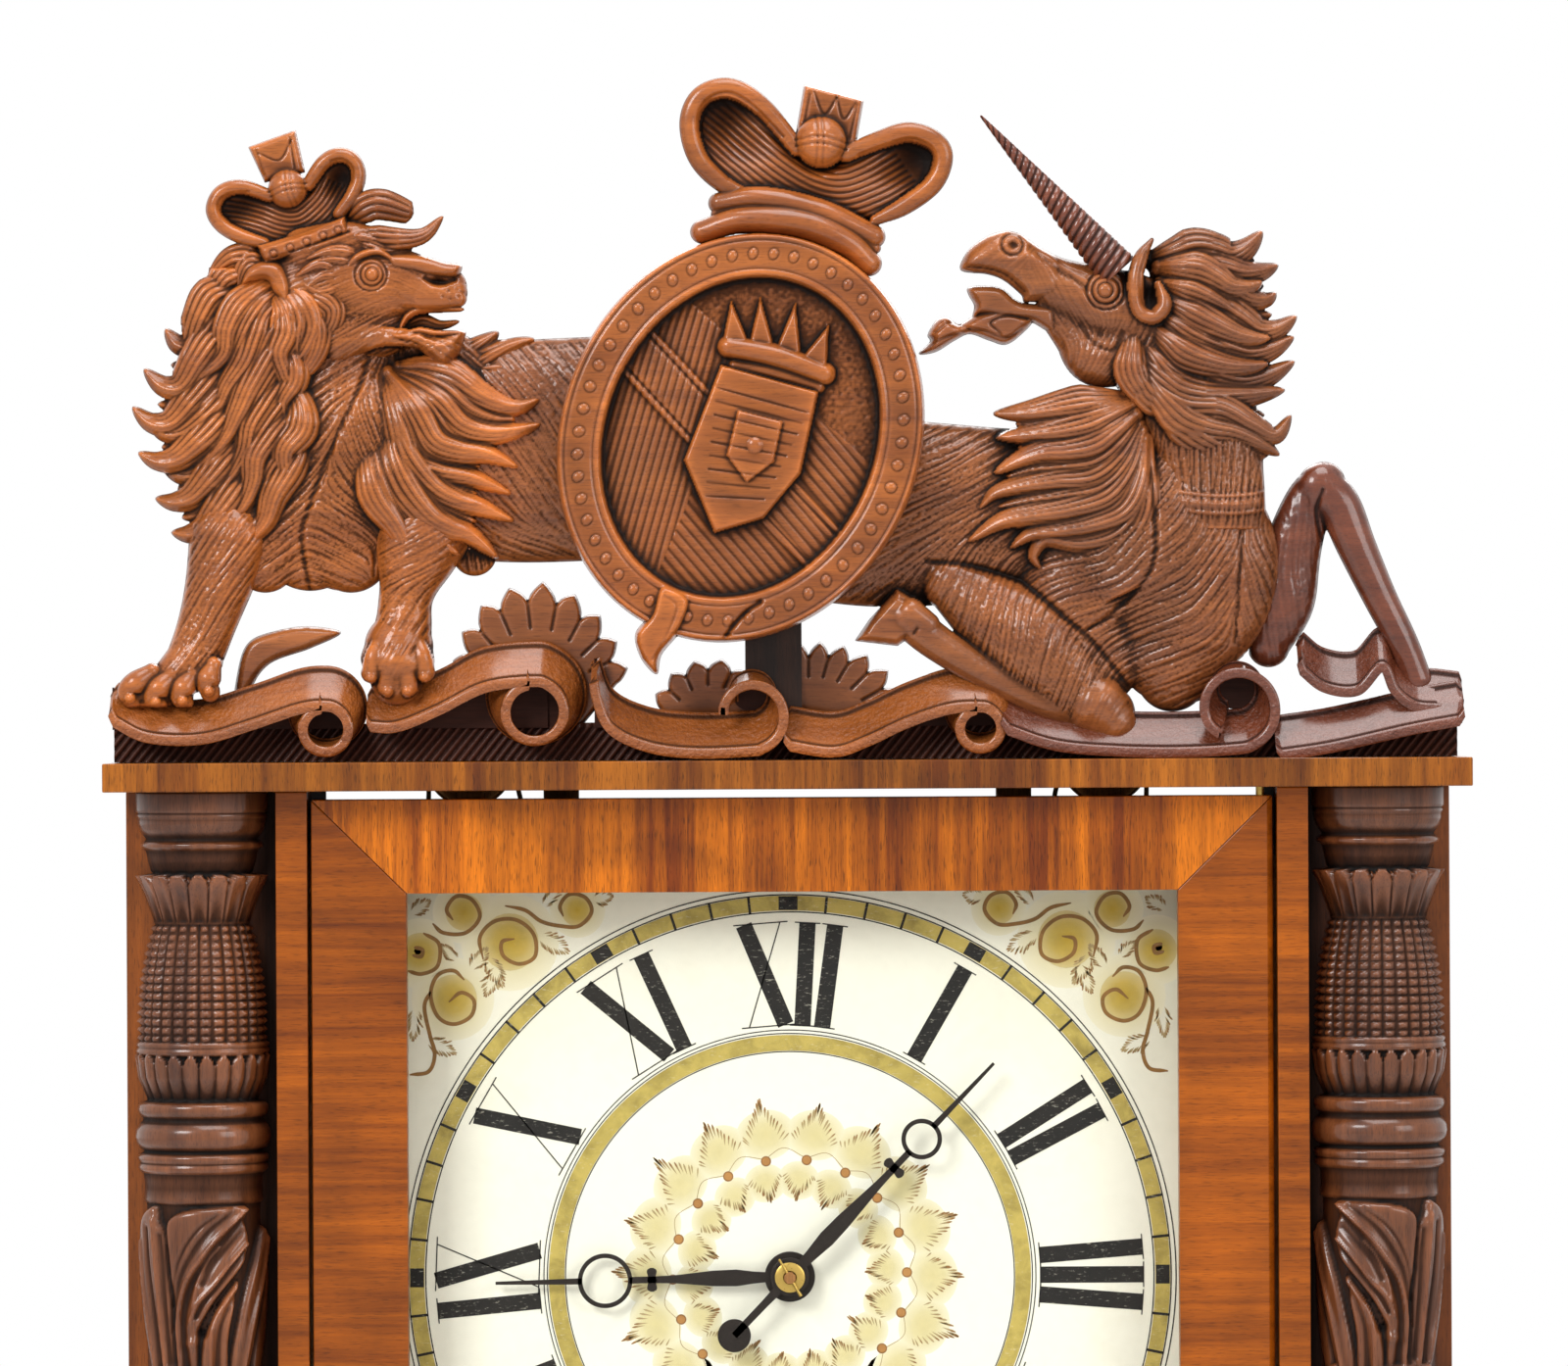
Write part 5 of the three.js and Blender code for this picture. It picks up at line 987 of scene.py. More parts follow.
def eye(c, *rings):
    """Eye: domes one on another, each cut round: middle, radius, rise, floor; cut's radius, width, depth."""
    for centre, radius, rise, floor, cut, width, depth in rings:
        c.dome(centre, radius, rise, floor)
        c.ring(centre, cut, width, depth)


def lion_head():
    """Lion's head: skull, muzzle, open jaw, eye, ear and the crown it wears."""
    c = Carving(LION, (265, 20), (1010, 720), 0.37)
    c.board([(395, 82), (522, 36), (548, 150), (440, 178)], 5, 9, 2.2)
    c.grooves(0.45, 0.7, [(418, 92), (440, 160)], [(508, 58), (522, 140)])
    c.groove([(425, 100), (480, 118), (512, 64)], 0.4, 0.6)
    c.board([(305, 255), (340, 205), (420, 195), (500, 225), (560, 200), (600, 135), (650, 110), (688, 160),
             (665, 230), (650, 290), (430, 352), (340, 310)], 3, 8, 3.0, True)
    flutes(c, [(318, 250), (400, 262), (480, 292), (545, 290), (610, 230), (655, 140)], 9, 13)
    c.pit((372, 246), 44, 5.5, 1.5)
    c.pit((640, 172), 40, 5.5, 1.4, 1.0)
    c.limb([(455, 214, 17, 8), (380, 190, 19, 8.5), (325, 205, 20, 8.5), (303, 250, 20, 8.5),
            (325, 292, 20, 8.5), (375, 322, 20, 9), (440, 342, 16, 9)], 1.3, 0.0, 0.5)
    c.limb([(556, 184, 17, 8), (598, 125, 19, 8.5), (640, 105, 20, 8.5), (678, 120, 20, 8.5),
            (692, 162, 20, 8.5), (675, 214, 20, 9), (640, 262, 16, 9)], 1.3, 0.0, 0.5)
    c.grooves(0.5, 0.8, [(330, 262), (318, 235), (345, 212), (400, 204)],
              [(620, 122), (650, 118), (676, 140), (672, 180)])
    c.dome((502, 195), 52, 6.4, 8)
    c.grooves(0.35, 0.6, [(452, 205), (502, 186), (554, 182)], [(456, 218), (505, 200), (554, 196)],
              [(494, 150), (500, 196), (516, 242)], [(508, 147), (514, 194), (528, 236)])
    c.limb([(560, 470, 150, 2), (640, 440, 140, 4), (730, 450, 118, 6), (830, 448, 84, 8),
            (930, 458, 52, 9)], 0.72, 0.35)
    c.limb([(560, 560, 140, 2), (660, 545, 112, 4), (740, 560, 90, 5)], 0.75, 0.75)
    c.limb([(640, 590, 90, 4), (720, 590, 46, 9), (790, 592, 26, 13), (850, 598, 24, 14),
            (900, 608, 26, 14)], 1.0, 0.6)
    c.board([(780, 580), (850, 575), (905, 584), (976, 576), (972, 608), (960, 642), (921, 674), (874, 642),
             (840, 616), (790, 606)], 12, 19.5, 5.0, True, 0.5)
    c.limb([(840, 470, 58, 9), (900, 468, 54, 10), (944, 474, 40, 10)], 0.95, 0.25, 2.0)
    c.limb([(860, 490, 32, 12), (925, 492, 28, 12.5), (962, 492, 20, 12)], 1.0, 0.0, 1.5)
    c.board([(770, 372), (838, 372), (885, 380), (925, 392), (968, 400), (958, 430), (922, 438), (880, 434),
             (840, 424), (780, 412)], 10, 16.0, 3.0, True)
    c.groove([(872, 436), (892, 446), (922, 448), (950, 440)], 0.8, 1.2)
    c.pit((906, 445), 13, 3.2, 1.8, -0.1)
    c.limb([(545, 360, 60, 8), (660, 335, 52, 9), (790, 352, 34, 9)], 0.9, 0.4)
    c.board([(422, 348), (545, 312), (656, 270), (672, 318), (552, 364), (442, 400)], 9, 15.5, 2.0)
    c.grooves(0.5, 0.8, [(428, 358), (545, 322), (658, 282)], [(438, 390), (548, 354), (668, 312)])
    for x in (468, 512, 556, 600, 640):
        c.ring((x, 370 - (x - 470) * 0.36), 10, 0.4, 0.9)
    for path, half, floor in ((((655, 286), (735, 238), (838, 262)), 42, (9, 11, 8)),
                              (((660, 312), (770, 330), (862, 322), (918, 268)), 34, (11, 13, 7)),
                              (((680, 338), (765, 366), (836, 356)), 24, (14, 13, 9)),
                              (((660, 320), (735, 335), (800, 340)), 18, (14, 13, 10))):
        c.lock(path, half, floor, 4, 2.6, 0.45 if half > 40 else 0.0)
    for path in (((650, 415), (590, 398), (525, 432)), ((655, 455), (590, 472), (540, 445)),
                 ((705, 372), (625, 362), (555, 385)), ((660, 432), (600, 430), (545, 470)),
                 ((690, 392), (610, 384), (570, 402))):
        c.lock(path, 16, (15.6, 15.6, 14.6), 3, 1.6)
    eye(c, ((727, 428), 47, 2.6, 14.8, 43, 0.45, 0.7), ((730, 427), 31, 1.8, 16.2, 30, 0.42, 0.8),
        ((731, 427), 18, 1.6, 17.2, 18, 0.38, 0.8))
    c.lock([(655, 425), (690, 382), (745, 366), (796, 392)], 11, (15, 16, 14.5), 1, 1.4, 0.2, 0.0)
    c.lock([(802, 575), (825, 537), (865, 520), (976, 519)], 10, (12.5, 12.5, 12), 1, 1.4, 0.4, 0.0)
    c.lock([(800, 590), (855, 576), (905, 584), (974, 582)], 9, (14, 17.5, 16.5), 1, 1.4, 0.4, 0.0)
    c.lock([(812, 566), (862, 548), (910, 560), (962, 549)], 19, (6, 7.5, 7), 2, 2.6, 0.05, 0.0)
    c.grooves(0.45, 0.6, [(790, 596), (850, 612), (924, 666)], [(830, 592), (885, 614), (942, 652)],
              [(870, 592), (915, 608), (958, 632)], [(810, 602), (860, 628), (912, 664)],
              [(905, 592), (940, 602), (966, 614)])
    for x, y in ((935, 470), (955, 462), (962, 485), (940, 492), (920, 486)):
        c.pit((x, y), 4, 0.5)
    c.lock([(440, 380), (355, 380), (288, 432)], 38, (10, 9, 5), 4, 3.0)
    c.lock([(455, 400), (400, 395), (375, 440), (385, 480)], 30, (11, 11, 8), 4, 2.6)
    c.board([(380, 455), (395, 408), (438, 388), (490, 400), (518, 458), (505, 515), (470, 482), (442, 448),
             (408, 446)], 9, 16.5, 3.4, True)
    c.pit((446, 450), 22, 3.0)
    for path in (((508, 500), (578, 560), (572, 640), (500, 742)),
                 ((470, 470), (500, 540), (470, 620), (430, 690)),
                 ((540, 470), (620, 520), (600, 590), (560, 640))):
        c.lock(path, 44, (15, 14.5, 11), 6, 3.0)
    c.gouge([(640, 480, 560, 500), (700, 500, 600, 540), (720, 540, 610, 600), (760, 570, 660, 640),
             (830, 640, 790, 660), (820, 440, 880, 470), (600, 420, 540, 440), (560, 520, 530, 600)],
            0.9, 13)
    return c.form(13, 8)


def unicorn_body():
    """Unicorn's trunk, swelling chest and folded foreleg with its hoof, under combed gouge strokes."""
    c = Carving(UNICORN, (-190, 680), (1060, 1530), 0.46)
    c.limb([(-150, 975, 205, 0), (100, 985, 222, 0), (330, 985, 210, 0), (520, 965, 180, 1)], 0.42)
    c.limb([(560, 960, 190, 1), (700, 1040, 250, 2), (790, 1130, 240, 2), (790, 1290, 150, 2)], 0.5)
    c.limb([(840, 960, 150, 3), (850, 1100, 185, 4), (820, 1250, 165, 4), (780, 1370, 85, 3)], 0.55)
    c.limb([(590, 1060, 140, 3), (560, 1230, 150, 3), (600, 1330, 110, 3)], 0.6)
    c.limb([(620, 1480, 34, 8), (480, 1435, 38, 9), (340, 1365, 38, 10), (220, 1290, 42, 10),
            (150, 1232, 46, 10)], 0.95, 0.1)
    c.board([(128, 1165), (196, 1205), (176, 1268), (130, 1300), (28, 1288), (62, 1238)], 7, 15, 3.0)
    c.groove([(122, 1178), (190, 1222), (168, 1270)], 0.7, 1.0)
    c.limb([(255, 1150, 66, 6), (330, 1205, 98, 6), (440, 1285, 118, 6), (545, 1390, 100, 6),
            (620, 1460, 72, 7)], 0.8)
    c.limb([(600, 1440, 74, 9), (640, 1480, 55, 9)], 0.9, 0.3)
    c.limb([(200, 1250, 30, 12), (160, 1220, 34, 12)], 1.0, 0.0, 0.5)
    c.d = UNICORN_CLOSE
    c.tress((((425, 432), (360, 440), (290, 452), (228, 455)),
             ((440, 440), (370, 470), (300, 482), (232, 490)),
             ((445, 455), (380, 500), (300, 512), (228, 548)),
             ((450, 470), (400, 535), (320, 550), (250, 565), (214, 600)),
             ((455, 480), (420, 560), (340, 592), (260, 605), (184, 652)),
             ((460, 490), (440, 580), (370, 615), (300, 625), (255, 655)),
             ((462, 500), (445, 590), (390, 635), (322, 632), (300, 660), (318, 684)),
             ((466, 520), (455, 600), (415, 650), (350, 668))), 26, (17, 16, 12.5), 6, 4.8)
    c.d = UNICORN
    c.groove([(735, 720), (722, 850), (735, 1000), (725, 1120), (640, 1220), (580, 1260)], 1.0, 1.2)
    c.groove([(940, 1010), (935, 1150), (925, 1290)], 0.9, 0.9)
    c.groove([(200, 1100), (300, 1110), (420, 1150), (520, 1230), (590, 1290), (680, 1400)], 1.0, 1.3)
    c.gouge([(150, 860, 60, 900), (250, 900, 150, 940), (200, 1000, 100, 1050), (60, 1050, -30, 1100),
             (280, 860, 330, 830), (600, 1010, 480, 1040), (620, 1080, 500, 1100), (640, 1150, 530, 1180),
             (700, 1040, 640, 1120), (780, 1080, 700, 1130), (820, 1180, 720, 1220), (820, 1260, 720, 1290),
             (800, 1340, 720, 1370), (920, 1050, 850, 1150), (915, 1150, 840, 1250), (960, 1050, 1010, 1150),
             (955, 1180, 1000, 1280), (260, 1140, 230, 1200), (330, 1160, 300, 1260), (420, 1210, 400, 1340),
             (500, 1290, 470, 1400), (580, 1370, 550, 1440), (900, 960, 890, 1000)], 0.75, 21)
    return c.form(14, 9)


def unicorn_leg():
    """Unicorn's far foreleg: one bent limb raised at the knee, in darker wood."""
    c = Carving(UNICORN, (960, 820), (1420, 1420), 0.5)
    c.limb([(1010, 1300, 50, 0), (1045, 1190, 74, 0), (1070, 1060, 70, 0), (1105, 960, 62, 1),
            (1140, 915, 52, 2)], 0.75, 0.4)
    c.limb([(1130, 920, 52, 3), (1175, 965, 50, 4), (1215, 1060, 45, 4), (1270, 1180, 40, 4),
            (1325, 1290, 37, 4), (1360, 1380, 36, 4)], 0.85, 0.1)
    c.groove([(1138, 1060), (1120, 985), (1135, 930)], 0.8, 1.0)
    c.gouge([(1060, 1000, 1040, 1120), (1040, 1120, 1060, 1240), (1170, 980, 1230, 1110),
             (1250, 1150, 1320, 1290)], 1.0, 22)
    return c.form(9, 6)


def unicorn_head():
    """Unicorn's neck, head, beard, ear and blown mane."""
    c = Carving(UNICORN, (165, 285), (1100, 1030), 0.41)
    c.limb([(870, 1000, 132, 6.5), (865, 900, 132, 6), (850, 790, 140, 5), (800, 690, 130, 5),
            (710, 590, 105, 6)], 0.62, 1.0)
    c.limb([(700, 520, 98, 6), (600, 480, 84, 7), (500, 440, 64, 8), (430, 402, 54, 9)], 0.75, 0.5)
    c.board([(281, 413), (285, 382), (311, 351), (361, 323), (411, 322), (461, 354), (520, 394), (520, 470),
             (436, 487), (421, 469), (381, 436), (341, 421)], 8, 15.4, 6.0, True, 0.4)
    c.limb([(660, 600, 84, 6), (600, 610, 72, 7), (548, 560, 52, 7), (480, 505, 28, 8)], 0.75, 0.7)
    c.board([(296, 453), (326, 447), (376, 453), (421, 486), (500, 500), (500, 560), (446, 534), (401, 532),
             (331, 518), (308, 522), (311, 495), (298, 470)], 6, 12.5, 3.2, True)
    c.board([(311, 518), (361, 503), (411, 508), (450, 528), (424, 562), (386, 587), (346, 577), (301, 562),
             (266, 577), (221, 604), (180, 609), (206, 580), (201, 563), (221, 530), (246, 520), (276, 538)],
            5, 12.5, 3.6, True)
    c.grooves(0.55, 1.0, [(436, 528), (390, 520), (350, 536), (372, 562)],
              [(424, 552), (385, 572), (335, 556), (280, 552)], [(300, 550), (255, 536), (218, 560)],
              [(285, 560), (240, 572), (190, 604)])
    c.ring((400, 352), 25, 0.7, 1.3)
    c.pit((404, 354), 12, 2.6, 1.2, -0.3)
    c.groove([(292, 404), (345, 410), (388, 426), (428, 462)], 0.7, 0.9)
    c.groove([(440, 360), (520, 420), (575, 455)], 1.2, 0.8)
    eye(c, ((620, 461), 48, 3.0, 13.6, 45, 0.5, 1.0), ((620, 461), 33, 1.8, 15.6, 32, 0.45, 1.1),
        ((619, 461), 19, 1.4, 16.6, 18, 0.4, 1.0))
    c.d = UNICORN_CLOSE
    c.tress((((470, 235), (540, 218), (592, 226), (640, 180)),
             ((480, 250), (550, 245), (610, 254), (664, 236)),
             ((490, 270), (560, 268), (622, 292), (656, 276)),
             ((490, 290), (570, 305), (632, 338), (692, 304)),
             ((480, 320), (560, 355), (622, 368), (690, 334)),
             ((470, 340), (540, 392), (612, 408), (694, 368))), 31, (12, 11, 4), 6, 5.0)
    c.tress((((450, 370), (510, 425), (590, 430), (682, 416)),
             ((450, 385), (500, 440), (580, 452), (642, 486), (680, 438)),
             ((455, 400), (520, 465), (600, 486), (668, 522)),
             ((470, 430), (540, 490), (600, 512), (650, 508))), 30, (17, 16, 8), 6, 4.8)
    c.tress((((480, 245), (540, 250), (590, 275), (640, 262)),
             ((485, 290), (540, 320), (600, 345), (650, 345)),
             ((470, 330), (520, 370), (590, 388), (650, 380)),
             ((440, 370), (470, 430), (540, 450), (625, 462)),
             ((445, 335), (440, 395), (470, 435), (530, 465))), 26, (16, 15, 10), 6, 4.6)
    c.d = UNICORN
    c.limb([(729, 342, 5, 15), (703, 384, 17, 16), (690, 440, 19, 17), (698, 505, 19, 17),
            (730, 524, 18, 17), (758, 496, 18, 17), (744, 446, 8, 17)], 1.1, 0.0, 0.4)
    c.groove([(716, 372), (700, 430), (706, 490), (732, 510)], 0.5, 0.8)
    c.pit((722, 475), 17, 4.5, 1.5, 1.5)
    collar = np.array([(731, 943), (800, 958), (864, 966), (935, 966), (1004, 956)])
    c.groove(collar, 3.4, -1.7)
    c.grooves(0.55, -0.9, collar - (0, 21), collar + (0, 21))
    for at in smooth_path(collar, 12)[1:-1]:
        c.pit(at, 8, -0.9)
    c.groove([(560, 545), (600, 590), (640, 600), (660, 560)], 0.9, 0.8)
    c.gouge([(520, 430, 560, 500), (450, 420, 480, 480), (560, 500, 600, 560), (640, 540, 600, 610),
             (600, 420, 540, 400), (780, 760, 790, 860), (860, 760, 850, 880), (930, 800, 920, 920),
             (760, 860, 775, 940), (980, 880, 970, 960), (690, 640, 640, 690), (400, 370, 360, 400)],
            0.7, 23)
    return c.form(13, 8)


def horn():
    """Unicorn's horn: a cone along a straight axis whose radius swells in a three-start spiral."""
    base, tip = UNICORN(np.array([(652, 416), (325, 47)], float))
    turns, rows, sides = 12.0, 300, 30
    s = np.linspace(0, 1, rows)[:, None]
    a = np.linspace(0, 2 * np.pi, sides, endpoint=False)[None]
    radius = 6.7 * (1 - s) ** 0.96 + 0.35
    groove = np.abs(np.sin(1.5 * (a + 2 * np.pi * turns * s / 1.5)))
    radius = radius * (1 + 0.13 * groove - 0.05)
    radius[-1] = 0.02
    axis = np.array([tip[0] - base[0], 0.0, tip[1] - base[1]])
    long = np.linalg.norm(axis)
    axis /= long
    side = np.cross(axis, [0.0, 1.0, 0.0])
    start = np.array([base[0], CREST_Y - 12.0, base[1]])
    ring = radius[..., None] * (np.cos(a)[..., None] * side + np.sin(a)[...,
                                                                        None] * np.array([0.0, 1.0, 0.0]))
    points = start + s[..., None] * long * axis + ring
    # Painted shade and highlight: the cavity darkens the spiral's grooves and lightens its ridges.
    return Form().add(points, *sweep_faces(rows, sides, True),
                      cavity=np.clip(0.12 + 0.6 * groove, 0, 1).ravel())


def oval_relief():
    """Cartouche: a tilted oval belt round a sunk ground with a small crowned shield, reeding and studs.

    Inside an oval of half axes a and b the distance to the rim is one less the oval radius over its slope.
    """
    middle, a, b, turn, belt = (-15.1, CORNICE_TOP + 108.0), 60.1, 69.9, math.radians(23), 14.4
    top, sink = 28.0, 7.0
    c = Carving(SHIELD, (-10, 360), (860, 1420), 0.42)
    x, z = c.X - middle[0], c.Z - middle[1]
    u, v = x * math.cos(turn) - z * math.sin(turn), x * math.sin(turn) + z * math.cos(turn)
    rho = np.hypot(u / a, v / b)
    f = (1 - rho) * rho / np.sqrt((u / a ** 2) ** 2 + (v / b ** 2) ** 2 + 1e-9)
    rim = quarter_round(f, 1.6)
    line = lambda at, width: np.exp(-((f - at) / width) ** 2)
    h = 18 + (top - 18) * rim - 0.7 * line(2.6, 0.45) + 0.35 * line(1.4, 0.6) - 0.7 * line(belt - 2.2, 0.45)
    wall = np.clip((f - belt) / 1.3, 0, 1)
    angle = np.arctan2(v / b, u / a)
    stud = np.hypot(f - belt / 2, (np.mod(angle * 25 / np.pi, 1) - 0.5) * 8.2)
    h += np.where(stud < 1.7, 0.55 * np.sqrt(np.clip(1 - (stud / 1.7) ** 2, 0, 1)),
                  -0.35 * np.exp(-((stud - 2.0) / 0.4) ** 2))
    rng = np.random.default_rng(31)
    stipple = blurred(rng.standard_normal(f.shape), np.ones(f.shape), 1) * 0.5
    slope = 0.6 * np.abs(np.sin(np.pi * (u + 0.12 * v) / 2.6))
    cross = 0.6 * np.abs(np.sin(np.pi * (0.5 * u + v) / 3.4))
    fess = np.clip((np.abs(v + 0.45 * u + 6) - 9) / 0.8, 0, 1)
    ground = top - sink + np.where(v > 24 - 0.35 * u, 0.6 * stipple,
                                   np.where(u < -8, slope, cross)) + 1.4 * (1 - fess)
    for edge in (-1.0, 1.0):
        ground -= 0.9 * np.exp(-((v + 0.45 * u + 6 - edge * 7) / 0.5) ** 2)
    h = np.where(f < belt, h, h * (1 - wall) + ground * wall)
    c.h, c.f, c.e = h, f, np.full(f.shape, 17.0)
    c.board([(382, 688), (600, 748), (560, 930), (478, 1030), (368, 1062), (300, 900)],
            top - sink, 26.4, 1.0)
    c.board([(420, 790), (520, 815), (500, 905), (440, 950), (395, 890)], 26.2, 28.0, 0.8)
    for k in range(9):
        c.groove([(375 - 8 * k * 0.4, 740 + 30 * k), (575 - 22 * k * 0.55, 795 + 24 * k)], 0.4,
                 0.45 if k % 2 else 0.7)
    c.dome((458, 868), 18, 1.4, 27.6)
    c.limb([(400, 648, 26, 21), (500, 668, 28, 22), (612, 708, 26, 21)], 1.4, 0.0, 0.4)
    c.limb([(412, 690, 14, 21), (500, 706, 15, 22), (600, 738, 14, 21)], 1.4, 0.0, 0.4)
    for k, (x0, y0) in enumerate(((405, 545), (470, 538), (548, 550), (622, 600))):
        root = (410 + 56 * k, 636 + 15 * k)
        c.board([(root[0] - 24, root[1]), (x0, y0), (root[0] + 40, root[1] + 14)], top - sink, 25.0, 1.0)
    c.board([(250, 1175), (315, 1205), (300, 1270), (252, 1330), (240, 1375), (205, 1340), (192, 1285),
             (225, 1240)], 17, 30.2, 2.4, True)
    c.groove([(258, 1200), (285, 1225), (262, 1290), (230, 1345)], 0.45, 0.45)
    c.groove([(385, 1305), (408, 1270), (440, 1235), (470, 1215)], 0.8, 1.6)
    return c.form(0.8, 4)


def crown_relief():
    """Crown over the cartouche: a ringed collar, a fluted cap in two hollow loops, an orb and a finial."""
    c = Carving(SHIELD, (255, 25), (930, 500), 0.4)
    c.board([(567, 62), (700, 97), (680, 215), (548, 175)], 10, 17, 1.4)
    c.grooves(0.45, 0.7, [(580, 85), (565, 160)], [(685, 110), (668, 185)],
              [(590, 80), (612, 130), (640, 92)], [(640, 92), (655, 140), (682, 105)])
    c.board([(320, 160), (345, 95), (405, 70), (470, 125), (540, 210), (600, 250), (665, 225), (740, 190),
             (805, 172), (868, 215), (850, 285), (790, 335), (720, 370), (560, 325), (390, 300), (335, 235)],
            6, 15, 4.0, True)
    flutes(c, [(340, 120), (400, 168), (480, 240), (570, 300), (660, 318), (750, 282), (850, 215)], 15, 14)
    c.pit((392, 140), 74, 9.5, 1.35, -0.8)
    c.pit((812, 232), 62, 9.0, 1.3, 0.35)
    for loop in (((552, 205, 18), (475, 114, 20), (402, 72, 22), (338, 90, 22), (312, 150, 22),
                  (334, 232, 22), (400, 294, 20), (470, 316, 12)),
                 ((660, 218, 18), (738, 186, 20), (800, 170, 22), (855, 188, 22), (876, 226, 22),
                  (854, 284, 22), (790, 334, 20), (725, 366, 12))):
        c.limb([(x, y, r, 16) for x, y, r in loop], 0.85, 0.0, 0.5)
    c.grooves(0.6, 1.3, [(520, 180), (450, 110), (398, 84), (350, 102), (334, 150), (352, 220), (400, 272)],
              [(690, 222), (745, 202), (800, 186), (842, 200), (856, 228), (838, 272), (785, 312)])
    c.dome((605, 192), 57, 8.2, 16)
    c.grooves(0.4, 0.7, [(549, 188), (604, 182), (661, 196)], [(549, 202), (603, 197), (660, 210)],
              [(592, 136), (597, 190), (593, 247)], [(606, 136), (611, 190), (608, 248)])
    c.limb([(378, 328, 24, 15), (470, 318, 28, 17), (600, 348, 30, 17), (722, 402, 26, 15)], 1.3, 0.0, 0.4)
    c.limb([(372, 352, 12, 16), (470, 342, 13, 19), (600, 372, 13, 19), (726, 428, 12, 16)], 1.4, 0.0, 0.3)
    c.limb([(340, 392, 26, 16), (430, 366, 30, 18), (560, 374, 34, 19), (660, 415, 34, 18),
            (712, 462, 28, 16)], 1.3, 0.0, 0.4)
    return c.form(6, 5)


# RIBBONS, LEAVES AND THE CREST'S BASE

# Ribbons: finish, Y of the middle, lying run in the picture and rolled end: x, y, radius, way, degrees.
RIBBONS = (
    ("ribbon", -57.4, ((113, 720), (150, 738), (205, 740), (258, 725), (305, 709)), (332, 706, 31, 1, 350)),
    ("ribbon", -56.4, ((374, 727), (406, 727), (450, 709), (494, 687)), (545, 681, 40, 1, 350)),
    ("ribbon", -57.4, ((606, 690), (622, 728), (662, 748), (712, 754)), (766, 752, 30, -1, 270)),
    ("ribbon", -56.4, ((800, 746), (850, 753), (885, 742), (926, 723), (968, 709)), (1000, 707, 28, 1, 350)),
    ("ribbon_dark", -57.4, ((1022, 728), (1076, 746), (1140, 752), (1205, 753)), (1262, 750, 34, -1, 330)),
    ("ribbon_dark", -56.4, ((1302, 757), (1360, 748), (1440, 730), (1494, 720)), None),
    ("ribbon_dark", -52.0, ((1327, 668), (1352, 687), (1386, 690), (1411, 666), (1424, 690), (1444, 706),
                            (1470, 709), (1494, 712)), None),
)
# The last ribbon hangs free; those before it have a ground behind them.
GROUNDED_RIBBONS = 6
# Leaf fans: root in the picture, first and last angle, reach at even angles between, number of lobes.
SPRAYS_OF_LEAVES = (((548, 716), 165, 10, (92, 104, 116, 120, 110, 100, 96), 9),
                    ((722, 745), 160, 20, (62, 68, 72, 62), 6),
                    ((825, 750), 165, 15, (75, 95, 104, 92, 96, 103, 106), 10))


def ribbon(path, roll, y, width, thick=3.0):
    """Ribbon: a flat section with a raised bead along each edge, carried along a path.

    Its width lies along one slanting direction, front edge lower, so that the upper face shows. A roll ends
    it in most of a circle, drawn in to a cone towards its tangent point, from the back edge to the front one
    or the other way.
    """
    path = np.asarray(path, float)
    plain = len(path)
    if roll:
        x, top, radius, way, arc = roll
        a = np.radians(np.linspace(0, arc, 14))
        shrink = radius * np.linspace(1, 0.92 if way > 0 else 0.76, 14)
        path = np.vstack([path, np.column_stack([x + shrink * np.sin(a),
                                                 top + way * (radius - shrink * np.cos(a))])])
    line = smooth_path(picture(path), 14 * len(path))
    tangent = np.gradient(line, axis=0)
    tangent /= np.linalg.norm(tangent, axis=1, keepdims=True)
    normal = np.stack([-tangent[:, 1], tangent[:, 0]], -1)
    w = np.array([-1, -0.97, -0.9, -0.84, -0.78, -0.6, -0.3, 0, 0.3, 0.6, 0.78, 0.84, 0.9, 0.97]) * width / 2
    t = np.array([0.55, 0.9, 1.12, 1.0, 0.72, 0.68, 0.66, 0.66, 0.66, 0.68, 0.72, 1.0, 1.12,
                  0.9]) * thick / 2
    w = np.concatenate([w, [width / 2], [width / 2], w[::-1][:-1], [-width / 2]])
    t = np.concatenate([t, [thick * 0.28], [-thick * 0.28], -t[::-1][:-1], [-thick * 0.28]])
    fade = np.clip(np.minimum(np.arange(len(line)), np.arange(len(line))[::-1]) / 4 + 0.55, 0, 1)[:, None]
    lean_y, lean_z = -0.64, -0.77
    flat = np.repeat(line[:, None], len(w), 1)
    if roll:
        tip = picture((roll[0], roll[1]))
        into = np.clip((np.arange(len(line)) / 14 - plain) / 3 + 0.5, 0, 1)[:, None, None]
        flat = tip + (flat - tip) * (1 - 0.25 * roll[3] * into * (w / (width / 2))[None, :, None])
    x = flat[..., 0] + t * normal[:, :1]
    z = flat[..., 1] + t * normal[:, 1:] + w * fade * lean_z
    points = np.stack([x, np.broadcast_to(y + w * lean_y, x.shape), z], -1)
    # Painted shade with dirt: the cavity falls to a dark line in the crease between each bead and the flat
    # face.
    crease_dirt_and_shade = np.clip(0.56 - 0.5 * np.exp(-((np.abs(w) - 0.76 * width / 2) / 0.5) ** 2), 0, 1)
    return Form().add(points, *sweep_faces(len(line), len(w)), cavity=np.tile(crease_dirt_and_shade, len(line)))


